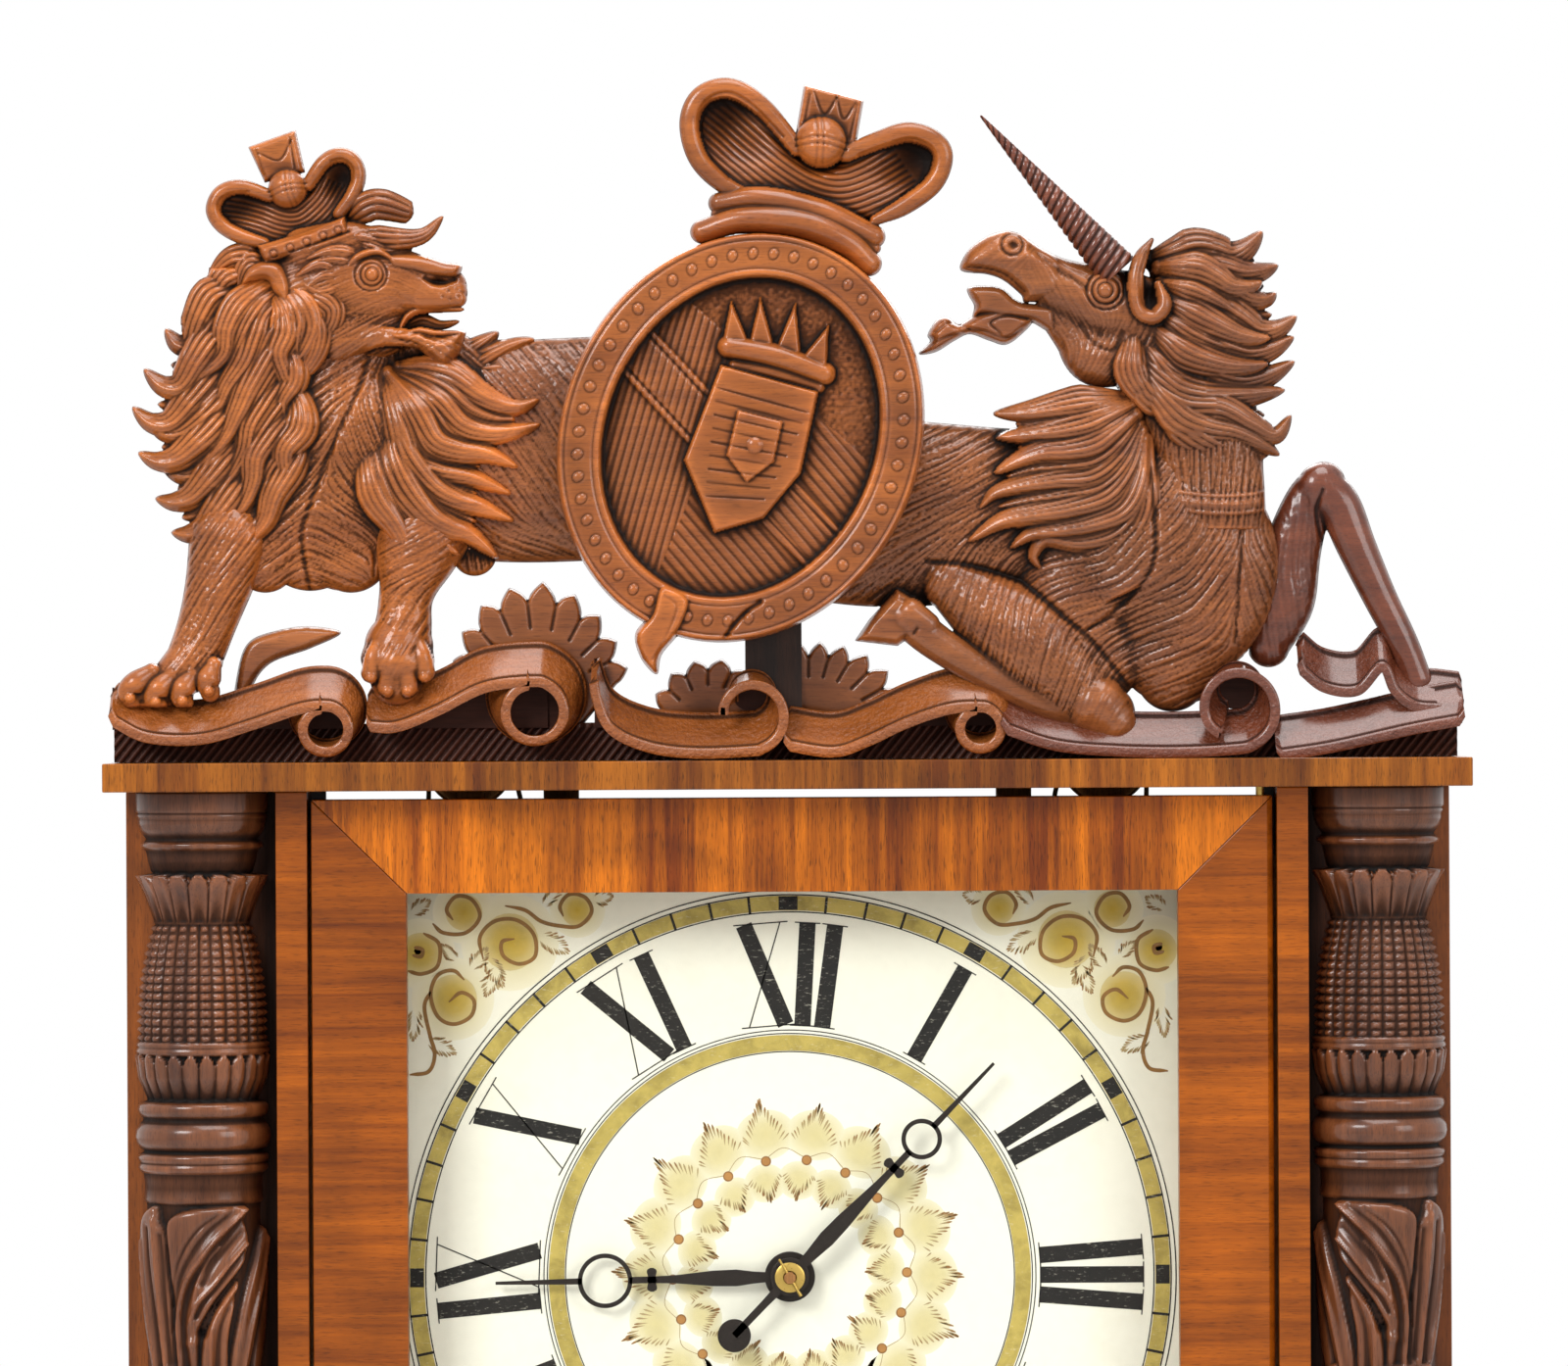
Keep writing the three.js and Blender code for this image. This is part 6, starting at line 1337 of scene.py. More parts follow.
def crest_board():
    """Base of the crest: a long moulded section carried along X, its front cut in slanting grooves."""
    low, high = node_box("crest_base")
    front_y, height = -51.0, 12.6
    a = np.linspace(0, 1, 22)
    front = np.column_stack([np.full(22, front_y), low[2] + a * (height - 1.5)])
    top = np.array([(front_y + 1.0, low[2] + height), (high[1] - 1, low[2] + height),
                    (high[1], low[2] + height - 1), (high[1], low[2])])
    section = np.vstack([front, top])
    x = np.linspace(low[0] + 0.3, high[0] - 0.3, 1300)[:, None]
    y = np.broadcast_to(section[:, 0], (len(x), len(section))).copy()
    z = np.broadcast_to(section[:, 1], y.shape)
    cut = np.abs(np.sin(np.pi * (x - 0.8 * (z - CORNICE_TOP)) / 3.1)) ** 0.7
    face = np.arange(len(section)) < 22
    y[:, face] += (1.3 - 1.2 * cut)[:, face]
    points = np.stack([np.broadcast_to(x, y.shape), y, z], -1)
    # Painted shade: the cavity darkens the whole cut face, most of all in the hatch grooves.
    cavity = np.where(face, 0.05 + 0.35 * cut, 0.4)
    return Form().add(points, *sweep_faces(len(x), len(section), True), cavity=cavity.ravel())


def ribbon_web(path, roll, y, width):
    """Ground behind a ribbon: a plate under its back edge down to the base, and a disc behind its roll."""
    edge = picture(smooth_path(path, 30)) + (0, 0.385 * width - 1.6)
    floor_z = node_box("crest_base")[0][2] + 11.0
    back = y + 0.32 * width
    if roll and roll[3] > 0:
        edge = np.vstack([edge, edge[-1] + (1.6 * roll[2] * PICTURE_UNIT, 0)])
    top = np.maximum(edge, (-1e3, floor_z + 1.0))
    # Painted shade: a low cavity darkens the ground under the ribbon.
    form = Form().add(*slab(np.vstack([top, [(top[-1, 0], floor_z), (top[0, 0], floor_z)]]), back - 0.8,
                            back + 8.0), cavity=0.26)
    if roll:
        x, tangent_y, radius, way, _ = roll
        grown = radius * (1 + 0.25 * way)
        centre = picture((x, tangent_y + way * grown)) + (0, 0.385 * width)
        disc = centre + (grown * PICTURE_UNIT - 1.0) * circle(40)
        # The disc behind the roll is darkened the same way, as painted shade.
        form.add(*slab(np.maximum(disc, (-1e3, floor_z)), back + 0.2, back + 8.0), cavity=0.26)
    return form


def leaf_spray(place, start, end, reach, lobes):
    """Leaf fan on the picture plane: a raised flat whose rim swings between lobe tips and notches."""
    root = np.array(place)
    turn = np.radians(np.linspace(start, end, lobes * 10 + 1))
    lobe = 1 - np.abs(saw(np.linspace(0, lobes, len(turn))))
    rim = np.interp(np.linspace(0, 1, len(turn)), np.linspace(0, 1, len(reach)),
                    reach) * (0.85 + 0.15 * lobe ** 0.7)
    outline = np.stack([root[0] + rim * np.cos(turn), root[1] - rim * np.sin(turn)], -1)
    c = Carving(Drawing(0, 0, 1.0), (root[0] - 150, 585), (root[0] + 150, 770), 0.45)
    c.board(np.vstack([outline, [(root[0] + 42, 748), (root[0] - 42, 748)]]), 1.5, 5.0, 1.4)
    for k in range(1, lobes):
        n = 10 * k
        notch, inner = outline[n], root + (outline[n] - root) * 0.72
        c.groove([notch, (notch + inner) / 2, inner], 0.5, 0.9)
    c.pit(root, 46, 2.6)
    return c.form(3, 3)


def end_leaf():
    """Single leaf blade under the ribbon's left end: a raised flat with a soft rim."""
    c = Carving(LION, (300, 1340), (680, 1660), 0.45)
    c.board([(350, 1632), (362, 1500), (392, 1410), (470, 1376), (560, 1365), (642, 1382), (560, 1424),
             (450, 1466), (400, 1540), (392, 1632)], 0, 4.5, 3.0, True)
    return c.form(3, 3)


# COLUMNS AND FEET

class Plain:
    """Drawing whose units are already millimetres."""
    size = 1.0

    def __call__(self, points):
        return np.asarray(points, float)


# Profile of a column: millimetres below its top and radius. Leaf cups and the studded swell are added to it.
COLUMN_TOP = ((0, 22.3), (6.6, 22.3), (7.0, 21.5), (7.6, 21.5), (7.9, 22.1), (8.5, 22.1), (8.8, 21.4),
              (10.5, 21.6), (13, 20.8), (15.4, 19.0), (16.3, 18.4), (16.7, 19.6), (17.4, 20.7), (18.5, 20.7),
              (19.3, 19.6), (19.6, 18.8), (23, 18.2), (27.2, 17.0), (27.4, 22.3), (34, 19.4), (43.6, 16.2),
              (44.3, 16.2), (52, 18.4), (62, 20.3), (74, 21.3), (83.6, 21.3), (84.0, 22.3), (85.2, 22.5),
              (85.5, 21.9), (86.2, 21.9), (86.5, 22.6), (87.7, 22.6), (88.3, 21.2), (88.5, 22.2), (96, 21.2),
              (103.2, 18.0), (103.6, 18.0), (104.0, 20.6), (105.2, 21.9), (107.0, 22.1), (108.6, 21.4),
              (109.4, 20.2), (110.6, 20.0), (111.2, 21.2), (113.4, 22.6), (115.8, 22.9), (118, 22.4),
              (119.8, 21.0), (120.2, 19.9), (121.0, 19.9), (121.4, 21.4), (122.6, 22.2), (124, 21.8),
              (124.3, 21.1), (124.9, 21.1), (125.3, 21.8), (126.6, 21.9), (127.6, 21.0), (128.2, 20.0),
              (133, 19.6), (137.4, 20.2), (138.2, 19.0), (138.6, 19.0))
COLUMN_RING = ((-10.4, 19.0), (-9.6, 21.0), (-8.4, 22.2), (-7.4, 20.6), (-6.8, 20.6), (-5.4, 22.3),
               (0, 23.0), (5.4, 22.3), (6.8, 20.6), (7.4, 20.6), (8.4, 22.2), (9.6, 21.0), (10.4, 19.0))
COLUMN_FOOT = ((50, 19.0), (49.2, 21.0), (47.6, 22.0), (45, 20.4), (38, 20.0), (36, 21.4), (33.4, 22.9),
               (30, 23.1), (27.2, 22.2), (25.6, 21.0), (20.6, 21.0), (19.8, 22.6), (18.4, 23.0), (0.6, 23.0),
               (0, 22.4))
# One tier of the shaft's leaves, turning right: millimetres from the middle line and below the tier's top.
COLUMN_LEAF = (
    ((31, 7), (22, 20), (15.5, 36), (11, 58), (20, 66), (31, 46), (36, 24)),
    ((-19.5, -0.5), (-16.4, 5.0), (-13.8, 10), (-12.8, 22), (-11.2, 36), (-10, 58), (-18, 62), (-26, 44),
     (-32, 24), (-30, 6)),
    ((15.4, 24), (8.4, 30.4), (3.4, 38.4), (0.6, 46), (0.5, 62), (9.6, 60), (11, 44), (13.4, 33)),
    ((18.6, -0.2), (8, -0.1), (-2.4, 0.6), (-9.6, 2.4), (-13.2, 6.4), (-12.2, 18), (-10.9, 32), (-9.6, 58),
     (-1.4, 60), (-0.4, 43), (3.4, 35.2), (10.4, 27), (17.4, 19.6), (19.6, 12), (18.2, 5.6)))
COLUMN_TIER = 64
# Bands in millimetres below a column's top, numbers of leaves or studs round it, and the shaft's radius.
CUP_BAND, CUP_LEAVES = (27.0, 43.7), 18
STUD_BAND, STUDS, STUD_STEP = (44.4, 83.6), 28, 2.83
CALYX_BAND, CALYX_LEAVES = (88.2, 103.4), 24
SHAFT_TOP, SHAFT_RADIUS = 138.8, 22.4
# Cuts and ridges of a tier: half width, depth (below nought where it stands proud) and path.
COLUMN_VEINS = (
    (1.5, 1.5, ((-5.0, 54), (-6.4, 39), (-3.4, 27), (2.0, 19.4), (8.6, 11.6), (16.6, 4.4))),
    (1.2, 1.0, ((-9.4, 52), (-10.2, 38), (-7.9, 25), (-3.2, 16.2), (3.6, 7.8), (12.6, 1.4))),
    (0.7, 0.8, ((-10.9, 42), (-10.2, 26), (-6.4, 15.4), (-0.6, 7.6), (6.4, 2.6))),
    (0.62, -1.5, ((-7.2, 56), (-8.4, 39), (-5.7, 26.3), (-0.3, 18), (6.6, 9.7), (17.4, 0.9))),
    (0.6, -1.4, ((-3.6, 38), (-0.6, 31.6), (4.2, 27), (9.6, 20.6), (17.6, 12.6))),
    (1.3, 1.3, ((-1.6, 36.6), (2.2, 31), (7.4, 25.6), (12.6, 19.6), (16.8, 15.6))),
    (0.6, -0.9, ((-2.6, 33), (-0.9, 25), (3.2, 17.6), (7.2, 13.2))),
    (1.2, 1.1, ((1.0, 25.6), (4.8, 19.4), (10.6, 13.2), (15.8, 8.6))),
    (1.5, 2.6, ((0.6, 41.6), (5.6, 33.4), (11.4, 27.2), (17.6, 21.6))),
    (0.7, -1.1, ((3.4, 58), (4.2, 40), (8.6, 32.2), (14.6, 25.4))),
    (1.2, 1.2, ((6.2, 56), (7.2, 42), (10.4, 34), (13.4, 29.4))),
    (0.8, -1.2, ((-13.2, 56), (-15.6, 36), (-17.6, 18), (-18.8, 4.4))),
    (1.1, 1.2, ((-11.8, 52), (-13.6, 34), (-14.8, 18), (-15.8, 9.4))),
    (1.2, 1.2, ((-16.4, 54), (-19.4, 36), (-22.4, 20), (-23.6, 7.6))),
    (0.7, -1.0, ((-18.4, 54), (-23, 38), (-26.6, 24), (-28, 12))),
    (0.8, -1.2, ((15.4, 58), (20.4, 40), (26.4, 24), (30.6, 11))),
    (1.2, 1.2, ((19.4, 58), (24.6, 42), (30.4, 28), (33.6, 18))))


def saw(x):
    """Distance from the middle of each unit period, from -1 to 1."""
    return 2 * np.mod(x, 1) - 1


def column(side):
    """Half column: radius over height and angle, a turned profile plus leaf cups, studs and leaf tiers."""
    low, high = node_box("left_column" if side < 0 else "right_column")
    centre, back, height = (low[0] + high[0]) / 2, high[1], high[2] - low[2]
    ring_share = 0.56
    step = sizes().column_step / MM
    rows = np.linspace(0, height, int(height / step) + 1)
    angle = np.linspace(-np.pi / 2, np.pi / 2, 105)
    middle = ring_share * height
    profile = np.array([*COLUMN_TOP, *((middle + d, r) for d, r in COLUMN_RING),
                        *((height - d, r) for d, r in COLUMN_FOOT)])
    radius = np.interp(rows, profile[:, 0], profile[:, 1])[:, None] * np.ones(len(angle))
    d, a = rows[:, None], angle[None] * -side
    zone = lambda start, end: (d >= start) & (d < end)
    leaf = saw(a * CUP_LEAVES / (2 * np.pi) + 0.5)
    edge = 27.4 + 4.4 * np.abs(leaf) ** 2.5
    between = 28.3 + 4.0 * (1 - np.abs(leaf))
    parting = 1.5 * np.exp(-((1 - np.abs(leaf)) / 0.12) ** 2)
    cup = 0.6 - 1.6 * (1 - leaf ** 2) * (d - 27) / 17 - parting
    radius += zone(*CUP_BAND) * np.where(d < edge, np.where(d > between, -1.6, -5.0), cup)
    stud = 1 - np.maximum(np.abs(saw(a * STUDS / (2 * np.pi))), np.abs(saw((d - STUD_BAND[0]) / STUD_STEP)))
    radius += zone(*STUD_BAND) * (2.3 * stud ** 0.8 - 1.2)
    petal = saw(a * CALYX_LEAVES / (2 * np.pi))
    notch = 88.3 + 3.6 * np.abs(petal) ** 2.2
    cup = 0.7 * (1 - petal ** 2) - 0.6 * np.exp(-((1 - np.abs(petal)) / 0.12) ** 2)
    radius += zone(*CALYX_BAND) * np.where(d < notch, -1.7, cup)
    leaves = Carving(Plain(), None, None, step, (angle * SHAFT_RADIUS, rows))
    leaves.h[:] = 0.0
    for start, end in ((SHAFT_TOP, middle - 9), (middle + 10.6, height - 50.4)):
        count = round((end - start) / COLUMN_TIER)
        stems = ((end - start) / count - 32) / 22
        for n, top in enumerate(np.linspace(start, end, count, endpoint=False)):
            flip = side * (1 if n % 2 else -1)

            def tier(path):
                x, z = np.array(path, float).T
                z = np.minimum(z, 40) + np.maximum(z - 40, 0) * stems
                return np.column_stack([flip * x, np.minimum(top + z, end)])

            for outline in COLUMN_LEAF:
                leaves.board(tier(outline), -0.4, 2.5, 2.0, True, tilt=-0.022)
            for width, depth, path in COLUMN_VEINS:
                leaves.groove(tier(path), width, depth)
            leaves.pit(tier([(0.9, 42.4)])[0], 1.5, 1.4)
            leaves.pit(tier([(-3.4, 45.4)])[0], 1.5, -1.1, 1.5)
        inside = (leaves.z > start) & (leaves.z < end)
        radius += np.where(inside[:, None], leaves.h.T, 0)
        leaves.h[:] = 0.0
    radius = np.minimum(radius, high[0] - centre - 0.02)
    x = centre + radius * np.sin(angle)
    y = back - radius * np.cos(angle)
    z = high[2] - d + 0 * a
    whole = np.ones(radius.shape)
    soft = blurred(radius, whole, 6)
    # Cavity for painted shade in the cuts and painted highlight on the raised leaves and studs.
    cavity = np.clip(0.48 + 0.42 * (radius - soft) + 0.14 * (soft - blurred(soft, whole, 2, 6)), 0.0, 1)
    n, m = radius.shape
    quads = grid_quads(n, m)
    left, right = np.arange(n - 1) * m, np.arange(n - 1) * m + m - 1
    shut = np.stack([left, right, right + m, left + m], -1)
    return Form().add(np.stack([x, y, z], -1), quads[:, ::-1], shut, np.arange(m)[None],
                      (np.arange(m)[::-1] + (n - 1) * m)[None], cavity=cavity.ravel())


def foot(name):
    """Turned foot: pad, ball, cove, collar and top disc round an upright axis."""
    r, h = 23.9, node_box(name)[1][2]
    profile = swell([(0.52 * r, 0), (0.62 * r, 0.02 * h), (0.9 * r, 0.15 * h), (0.995 * r, 0.34 * h),
                     (0.93 * r, 0.52 * h), (0.64 * r, 0.67 * h)], 8)
    rings = np.array([(0.6, 0.69), (0.6, 0.745), (0.66, 0.75), (0.78, 0.77), (0.84, 0.80), (0.85, 0.84),
                      (0.82, 0.875), (0.74, 0.885), (0.74, 0.905), (0.9, 0.915), (0.92, 0.925),
                      (0.92, 0.985), (0.9, 0.999)]) * (r, h)
    profile = np.vstack([profile, rings])
    centre = node_middle(name) * (1, 1, 0)
    # Cavity along the profile: low in the coves for painted shade there, a little higher on the ball for
    # painted highlight.
    hollow = np.interp(profile[:, 1] / h, [0, 0.3, 0.66, 0.72, 0.8, 0.89, 0.93, 1],
                       [0.2, 0.6, 0.25, 0.1, 0.55, 0.1, 0.55, 0.5])
    return Form().add(*lathe(profile, centre, sides=64), cavity=np.repeat(hollow, 64))


# DIAL

# Size of a picture unit on the dial, and the corner drawing's origin and scale beside the dial's middle row.
DIAL_UNIT = PICTURE_UNIT * (CAMERA_DISTANCE + DIAL_FRONT) / (CAMERA_DISTANCE + PLANE_Y)
CORNER_LEFT, CORNER_TOP, DIAL_ROW = 400, 890, 1311
CORNER_SCALE = 3.111
NUMERALS = ("XII", "I", "II", "III", "IIII", "V", "VI", "VII", "VIII", "IX", "X", "XI")
GLYPH_HALF = {"I": 2.25, "V": 4.6, "X": 5.4}
# Scroll lines of one dial corner in drawing units, with the middle and radius of the gilding they enclose.
SCROLLS = (
    ((225, 150, 50), ((125, 185), (160, 215), (230, 215), (275, 165), (250, 110), (200, 100), (170, 140),
                      (190, 175))),
    ((85, 280, 56), ((95, 215), (145, 250), (140, 320), (90, 345), (45, 335))),
    ((78, 272, 18), ((60, 285), (88, 290), (92, 268), (66, 260))),
    ((370, 245, 78), ((285, 300), (275, 230), (320, 180), (390, 175), (445, 220), (450, 290), (400, 315),
                      (350, 290), (345, 245), (385, 235))),
    ((585, 145, 44), ((355, 130), (420, 145), (470, 180), (530, 195), (590, 195), (630, 150), (610, 105),
                      (560, 95), (530, 130), (540, 165))),
    ((188, 425, 66), ((225, 365), (190, 335), (140, 350), (118, 410), (140, 480), (190, 505), (245, 480),
                      (255, 430), (215, 405), (175, 435))),
    ((0, 0, 0), ((118, 400), (98, 450), (115, 540), (130, 600), (110, 655), (50, 665))))
SPRAYS = (((300, 300), (350, 390), 70), ((250, 330), (300, 260), 60), ((470, 230), (560, 280), 80),
          ((110, 560), (200, 600), 70), ((60, 150), (120, 110), 60), ((640, 110), (700, 100), 70),
          ((200, 300), (150, 250), 50), ((330, 330), (290, 420), 70), ((70, 460), (60, 560), 60),
          ((480, 130), (540, 60), 50))


def corner(points, flip_x, flip_z):
    """Millimetres on the dial from the drawing of its upper left corner, turned over for the others."""
    p = np.asarray(points, float)
    x = (CORNER_LEFT + p[..., 0] / CORNER_SCALE - PICTURE_ZERO[0]) * DIAL_UNIT
    z = (DIAL_ROW - CORNER_TOP - p[..., 1] / CORNER_SCALE) * DIAL_UNIT
    return np.stack([flip_x * x, DIAL_Z + flip_z * z], -1)


def polar(radius, degrees):
    """Point at a radius and a clockwise angle from twelve, about the dial's middle."""
    a = np.radians(np.asarray(degrees, float))
    return np.stack([radius * np.sin(a), DIAL_Z + radius * np.cos(a)], -1)


class Paint:
    """Thin raised paint on the dial, one form for each colour."""
    lift = {"wash": 0.03, "gilt_warm": 0.04, "sepia": 0.06, "gilt": 0.07, "scroll": 0.08, "umber": 0.09,
            "orange": 0.1, "ink": 0.12}

    def __init__(self):
        self.forms = {}

    def form(self, colour):
        return self.forms.setdefault(colour, Form())

    def stroke(self, colour, path, half, closed=False):
        self.form(colour).add(*strip(path, half, DIAL_FRONT - self.lift[colour], DIAL_FRONT, closed))

    def ring(self, colour, inner, outer, sides=240):
        self.stroke(colour, polar((inner + outer) / 2, np.linspace(0, 360, sides, endpoint=False)),
                    (outer - inner) / 2, True)

    def spot(self, colour, centre, radius, sides=20, extra=0.0):
        outline = np.asarray(centre) + radius * circle(sides)
        self.form(colour).add(*slab(outline, DIAL_FRONT - self.lift[colour] - extra, DIAL_FRONT))

    def blot(self, colour, centre, radius, cover=1.0, stretch=1.0, turn=0.0, sides=28):
        """Soft patch: a low oval dome whose cover fades from its middle to nothing at its rim."""
        shares, covers = np.array([0.03, 0.45, 0.75, 1.0, 1.0]), np.array([1, 0.85, 0.45, 0.0, 0.0])
        rise = DIAL_FRONT - self.lift[colour] * np.array([1, 1, 0.9, 0.3, 0])
        points, *faces = lathe(np.column_stack([shares * radius, rise]), (0, 0, 0), "Y", sides)
        x, z = points[:, 0] * stretch, points[:, 2]
        points = np.column_stack([centre[0] + x * math.cos(turn) - z * math.sin(turn), points[:, 1],
                                  centre[1] + x * math.sin(turn) + z * math.cos(turn)])
        self.form(colour).add(points, *faces, cavity=np.repeat(cover * covers, sides))

    def brush(self, start, end, half, dark):
        """Brush stroke: a short tapered touch, full at its start, with a darker touch over the full end."""
        start, end = np.asarray(start, float), np.asarray(end, float)
        t = np.linspace(0, 1, 5)[:, None]
        self.stroke("sepia", start + (end - start) * t, half * np.array([0.35, 1, 0.8, 0.45, 0.08]))
        if dark:
            self.stroke("umber", start + (end - start) * t * 0.45,
                        0.7 * half * np.array([0.3, 0.9, 0.8, 0.5, 0.1]))

    def fringe(self, tip, valley, heart, half, rng):
        """Leaf edge: touches from tip to valley, each pointing to the leaf's heart, darker at the tip."""
        for s in np.linspace(0, 1, 10):
            start = tip + (valley - tip) * s + rng.normal(0, 0.25, 2)
            self.brush(start, start + (0.2 + 0.1 * rng.random()) * (heart - start), half * (1 - 0.35 * s),
                       rng.random() > s)

    def fern(self, root, tip, width, count, rng):
        """Leaf made of brush strokes along both its sides, slanting in and back to the middle line."""
        root, tip = np.asarray(root, float), np.asarray(tip, float)
        way = tip - root
        across = np.array([-way[1], way[0]]) / np.linalg.norm(way)
        for s in np.linspace(0.22, 1.0, count):
            for side in (-1, 1):
                w = width * np.sin(np.pi * min(s, 0.98)) ** 0.7 * (1 - 0.25 * s)
                w = w * (1 + 0.15 * rng.standard_normal())
                outer = root + way * s + side * across * w
                inner = root + way * max(s - 0.2, 0.02) + side * across * w * 0.45
                self.brush(outer, inner, 0.28 + 0.12 * rng.random(), rng.random() < 0.55)


def dial_paint():
    """Everything painted on the dial: minute track, numerals, gilt ring, leaf wreath and scroll corners."""
    p = Paint()
    scale = DIAL_UNIT
    rng = np.random.default_rng(41)
    p.ring("gilt", 373 * scale, 388 * scale)
    for radius in (371.5, 389, 394):
        p.ring("ink", (radius - 0.6) * scale, (radius + 0.6) * scale)
    for minute in range(60):
        if minute % 5:
            p.stroke("ink", polar(np.array([372, 389]) * scale,
                                  [6 * minute + 0.12 * rng.standard_normal()] * 2), 0.45)
        else:
            p.stroke("ink", polar(np.array([373.5, 387.5]) * scale, [6 * minute] * 2), 3.2)
    p.ring("gilt", 230 * scale, 246 * scale)
    for radius in (229, 247.5, 251):
        p.ring("ink", (radius - 0.5) * scale, (radius + 0.5) * scale)
    top, low = sizes().numeral_outer / MM, sizes().numeral_inner / MM
    for hour, word in enumerate(NUMERALS):
        at = 30.0 * hour - sum(GLYPH_HALF[g] for g in word)
        for glyph in word:
            at += GLYPH_HALF[glyph]
            glyph_strokes(p, glyph, at, top, low)
            at += GLYPH_HALF[glyph]
    for k in range(18):
        turn = 20 * k + 8.5
        p.spot("umber", polar(119.5 * scale, turn), 1.75)
        p.spot("orange", polar(119.5 * scale, turn), 1.3, extra=0.05)
        p.blot("wash", polar(146 * scale, turn + 2), 8.5, 0.75, 1.2, math.radians(-turn))
        p.blot("wash", polar(98 * scale, turn - 3), 6.5, 0.75, 1.1, math.radians(-turn))
        heart = polar(121 * scale, turn)
        for tip, valley, skew, half in ((181, 146, 2, 0.42), (76, 101, -3, 0.36)):
            point = polar((tip + rng.uniform(-4, 4)) * scale, turn + skew + rng.uniform(-1.5, 1.5))
            for side in (-1, 1):
                p.fringe(point, polar(valley * scale, turn + skew + side * 9.6), heart, half, rng)
        bend = smooth_path([polar(122 * scale, turn), polar(131 * scale, turn + 9),
                            polar(122 * scale, turn + 19)], 12)
        p.stroke("sepia", bend, 0.12)
    for flip_x in (1, -1):
        for flip_z in (1, -1):
            dial_corner(p, flip_x, flip_z, rng)
    return p


def glyph_strokes(p, glyph, at, top, low):
    """One Roman numeral letter on a radius: thick and thin strokes, and hairlines across its ends."""
    def line(a, b, half):
        """Straight stroke between two (sideways millimetres, radius) places."""
        turn = np.radians(at)
        out, side = np.array([np.sin(turn), np.cos(turn)]), np.array([np.cos(turn), -np.sin(turn)])
        ends = np.array([side * x + out * r for x, r in (a, b)]) + (0, DIAL_Z)
        p.stroke("ink", ends, half)
    thick, thin = 2.75, 0.2
    reach = {"I": 4.3, "V": 8.4, "X": 9.2}[glyph]
    if glyph == "I":
        line((0, top), (0, low), thick)
    elif glyph == "V":
        line((-5.4, top), (0.6, low), thick)
        line((5.8, top), (1.6, low), thin)
    else:
        line((-5.7, top), (5.7, low), thick)
        line((6.6, top), (-6.6, low), thin)
    line((-reach, top + 0.1), (reach, top + 0.1), thin)
    line((-reach, low - 0.1), (reach, low - 0.1), thin)


def dial_corner(p, flip_x, flip_z, rng):
    """Painted corner: gilded scrolls outlined in umber, with loose fern touches between them."""
    for (x, y, r), path in SCROLLS:
        if r:
            p.blot("wash", corner((x, y), flip_x, flip_z), 2.0 * r / CORNER_SCALE * DIAL_UNIT, 0.55)
            p.blot("gilt_warm", corner((x, y), flip_x, flip_z), 1.42 * r / CORNER_SCALE * DIAL_UNIT)
        line = corner(smooth_path(path, 9 * len(path)), flip_x, flip_z)
        if flip_x * flip_z < 0:
            line = line[::-1]
        swell = np.clip(3 * np.sin(np.linspace(0.12, np.pi - 0.12, len(line))), 0.35, 1)
        p.stroke("scroll", line, 0.66 * swell)
    for root, tip, width in SPRAYS:
        p.fern(corner(root, flip_x, flip_z), corner(tip, flip_x, flip_z),
               width / CORNER_SCALE * DIAL_UNIT * 0.46, 11, rng)


# HANDS

def hand(turn, length, ring_at, ring_outer, bar_at, boss, y0, y1, tail=None):
    """Clock hand: leaf from the boss, crossbar, open ring and needle on one radius; it may have a tail."""
    form = Form()
    radial = lambda radii: polar(np.asarray(radii, float), turn)
    neck = ring_at - ring_outer
    leaf = np.linspace(0, neck + 1, 40)
    wide = np.interp(leaf, [0, boss, boss + 4, 18, 26, bar_at - 8, bar_at, neck + 1],
                     [1.8, 1.7, 2.0, 2.8, 2.6, 1.35, 1.1, 1.1])
    form.add(*strip(radial(leaf), wide, y0, y1))
    needle = np.linspace(ring_at + ring_outer - 1.4, length, 12)
    form.add(*strip(radial(needle), np.linspace(1.05, 0.5, 12), y0, y1))
    loop = polar(ring_at, turn) + (ring_outer - 0.75) * circle(72)
    form.add(*strip(loop, 0.75, y0, y1, True))
    way = np.array([math.cos(math.radians(turn)), -math.sin(math.radians(turn))])
    cross = polar(bar_at, turn) + way * np.linspace(-4.0, 4.0, 17)[:, None]
    form.add(*strip(cross, np.interp(np.linspace(-1, 1, 17), [-1, -0.9, -0.7, -0.3, 0, 0.3, 0.7, 0.9, 1],
                                     [0.5, 1.4, 1.75, 1.3, 1.6, 1.3, 1.75, 1.4, 0.5]), y0, y1))
    collar = [(boss, y0 - 0.02), (boss + 0.3, y0 + 0.2), (boss + 0.3, y1 - 0.2), (boss, y1), (2.6, y1),
              (2.6, y0 - 0.02)]
    form.add(*lathe(collar, (0, 0, DIAL_Z), "Y", 56, True))
    if tail:
        at, radius = tail
        form.add(*strip(polar(np.linspace(0, at, 10), turn + 180),
                        np.interp(np.linspace(0, 1, 10), [0, 0.4, 1], [1.9, 1.3, 1.2]), y0, y1))
        form.add(*slab(polar(at, turn + 180) + radius * circle(72), y0, y1, 0.15))
    return form


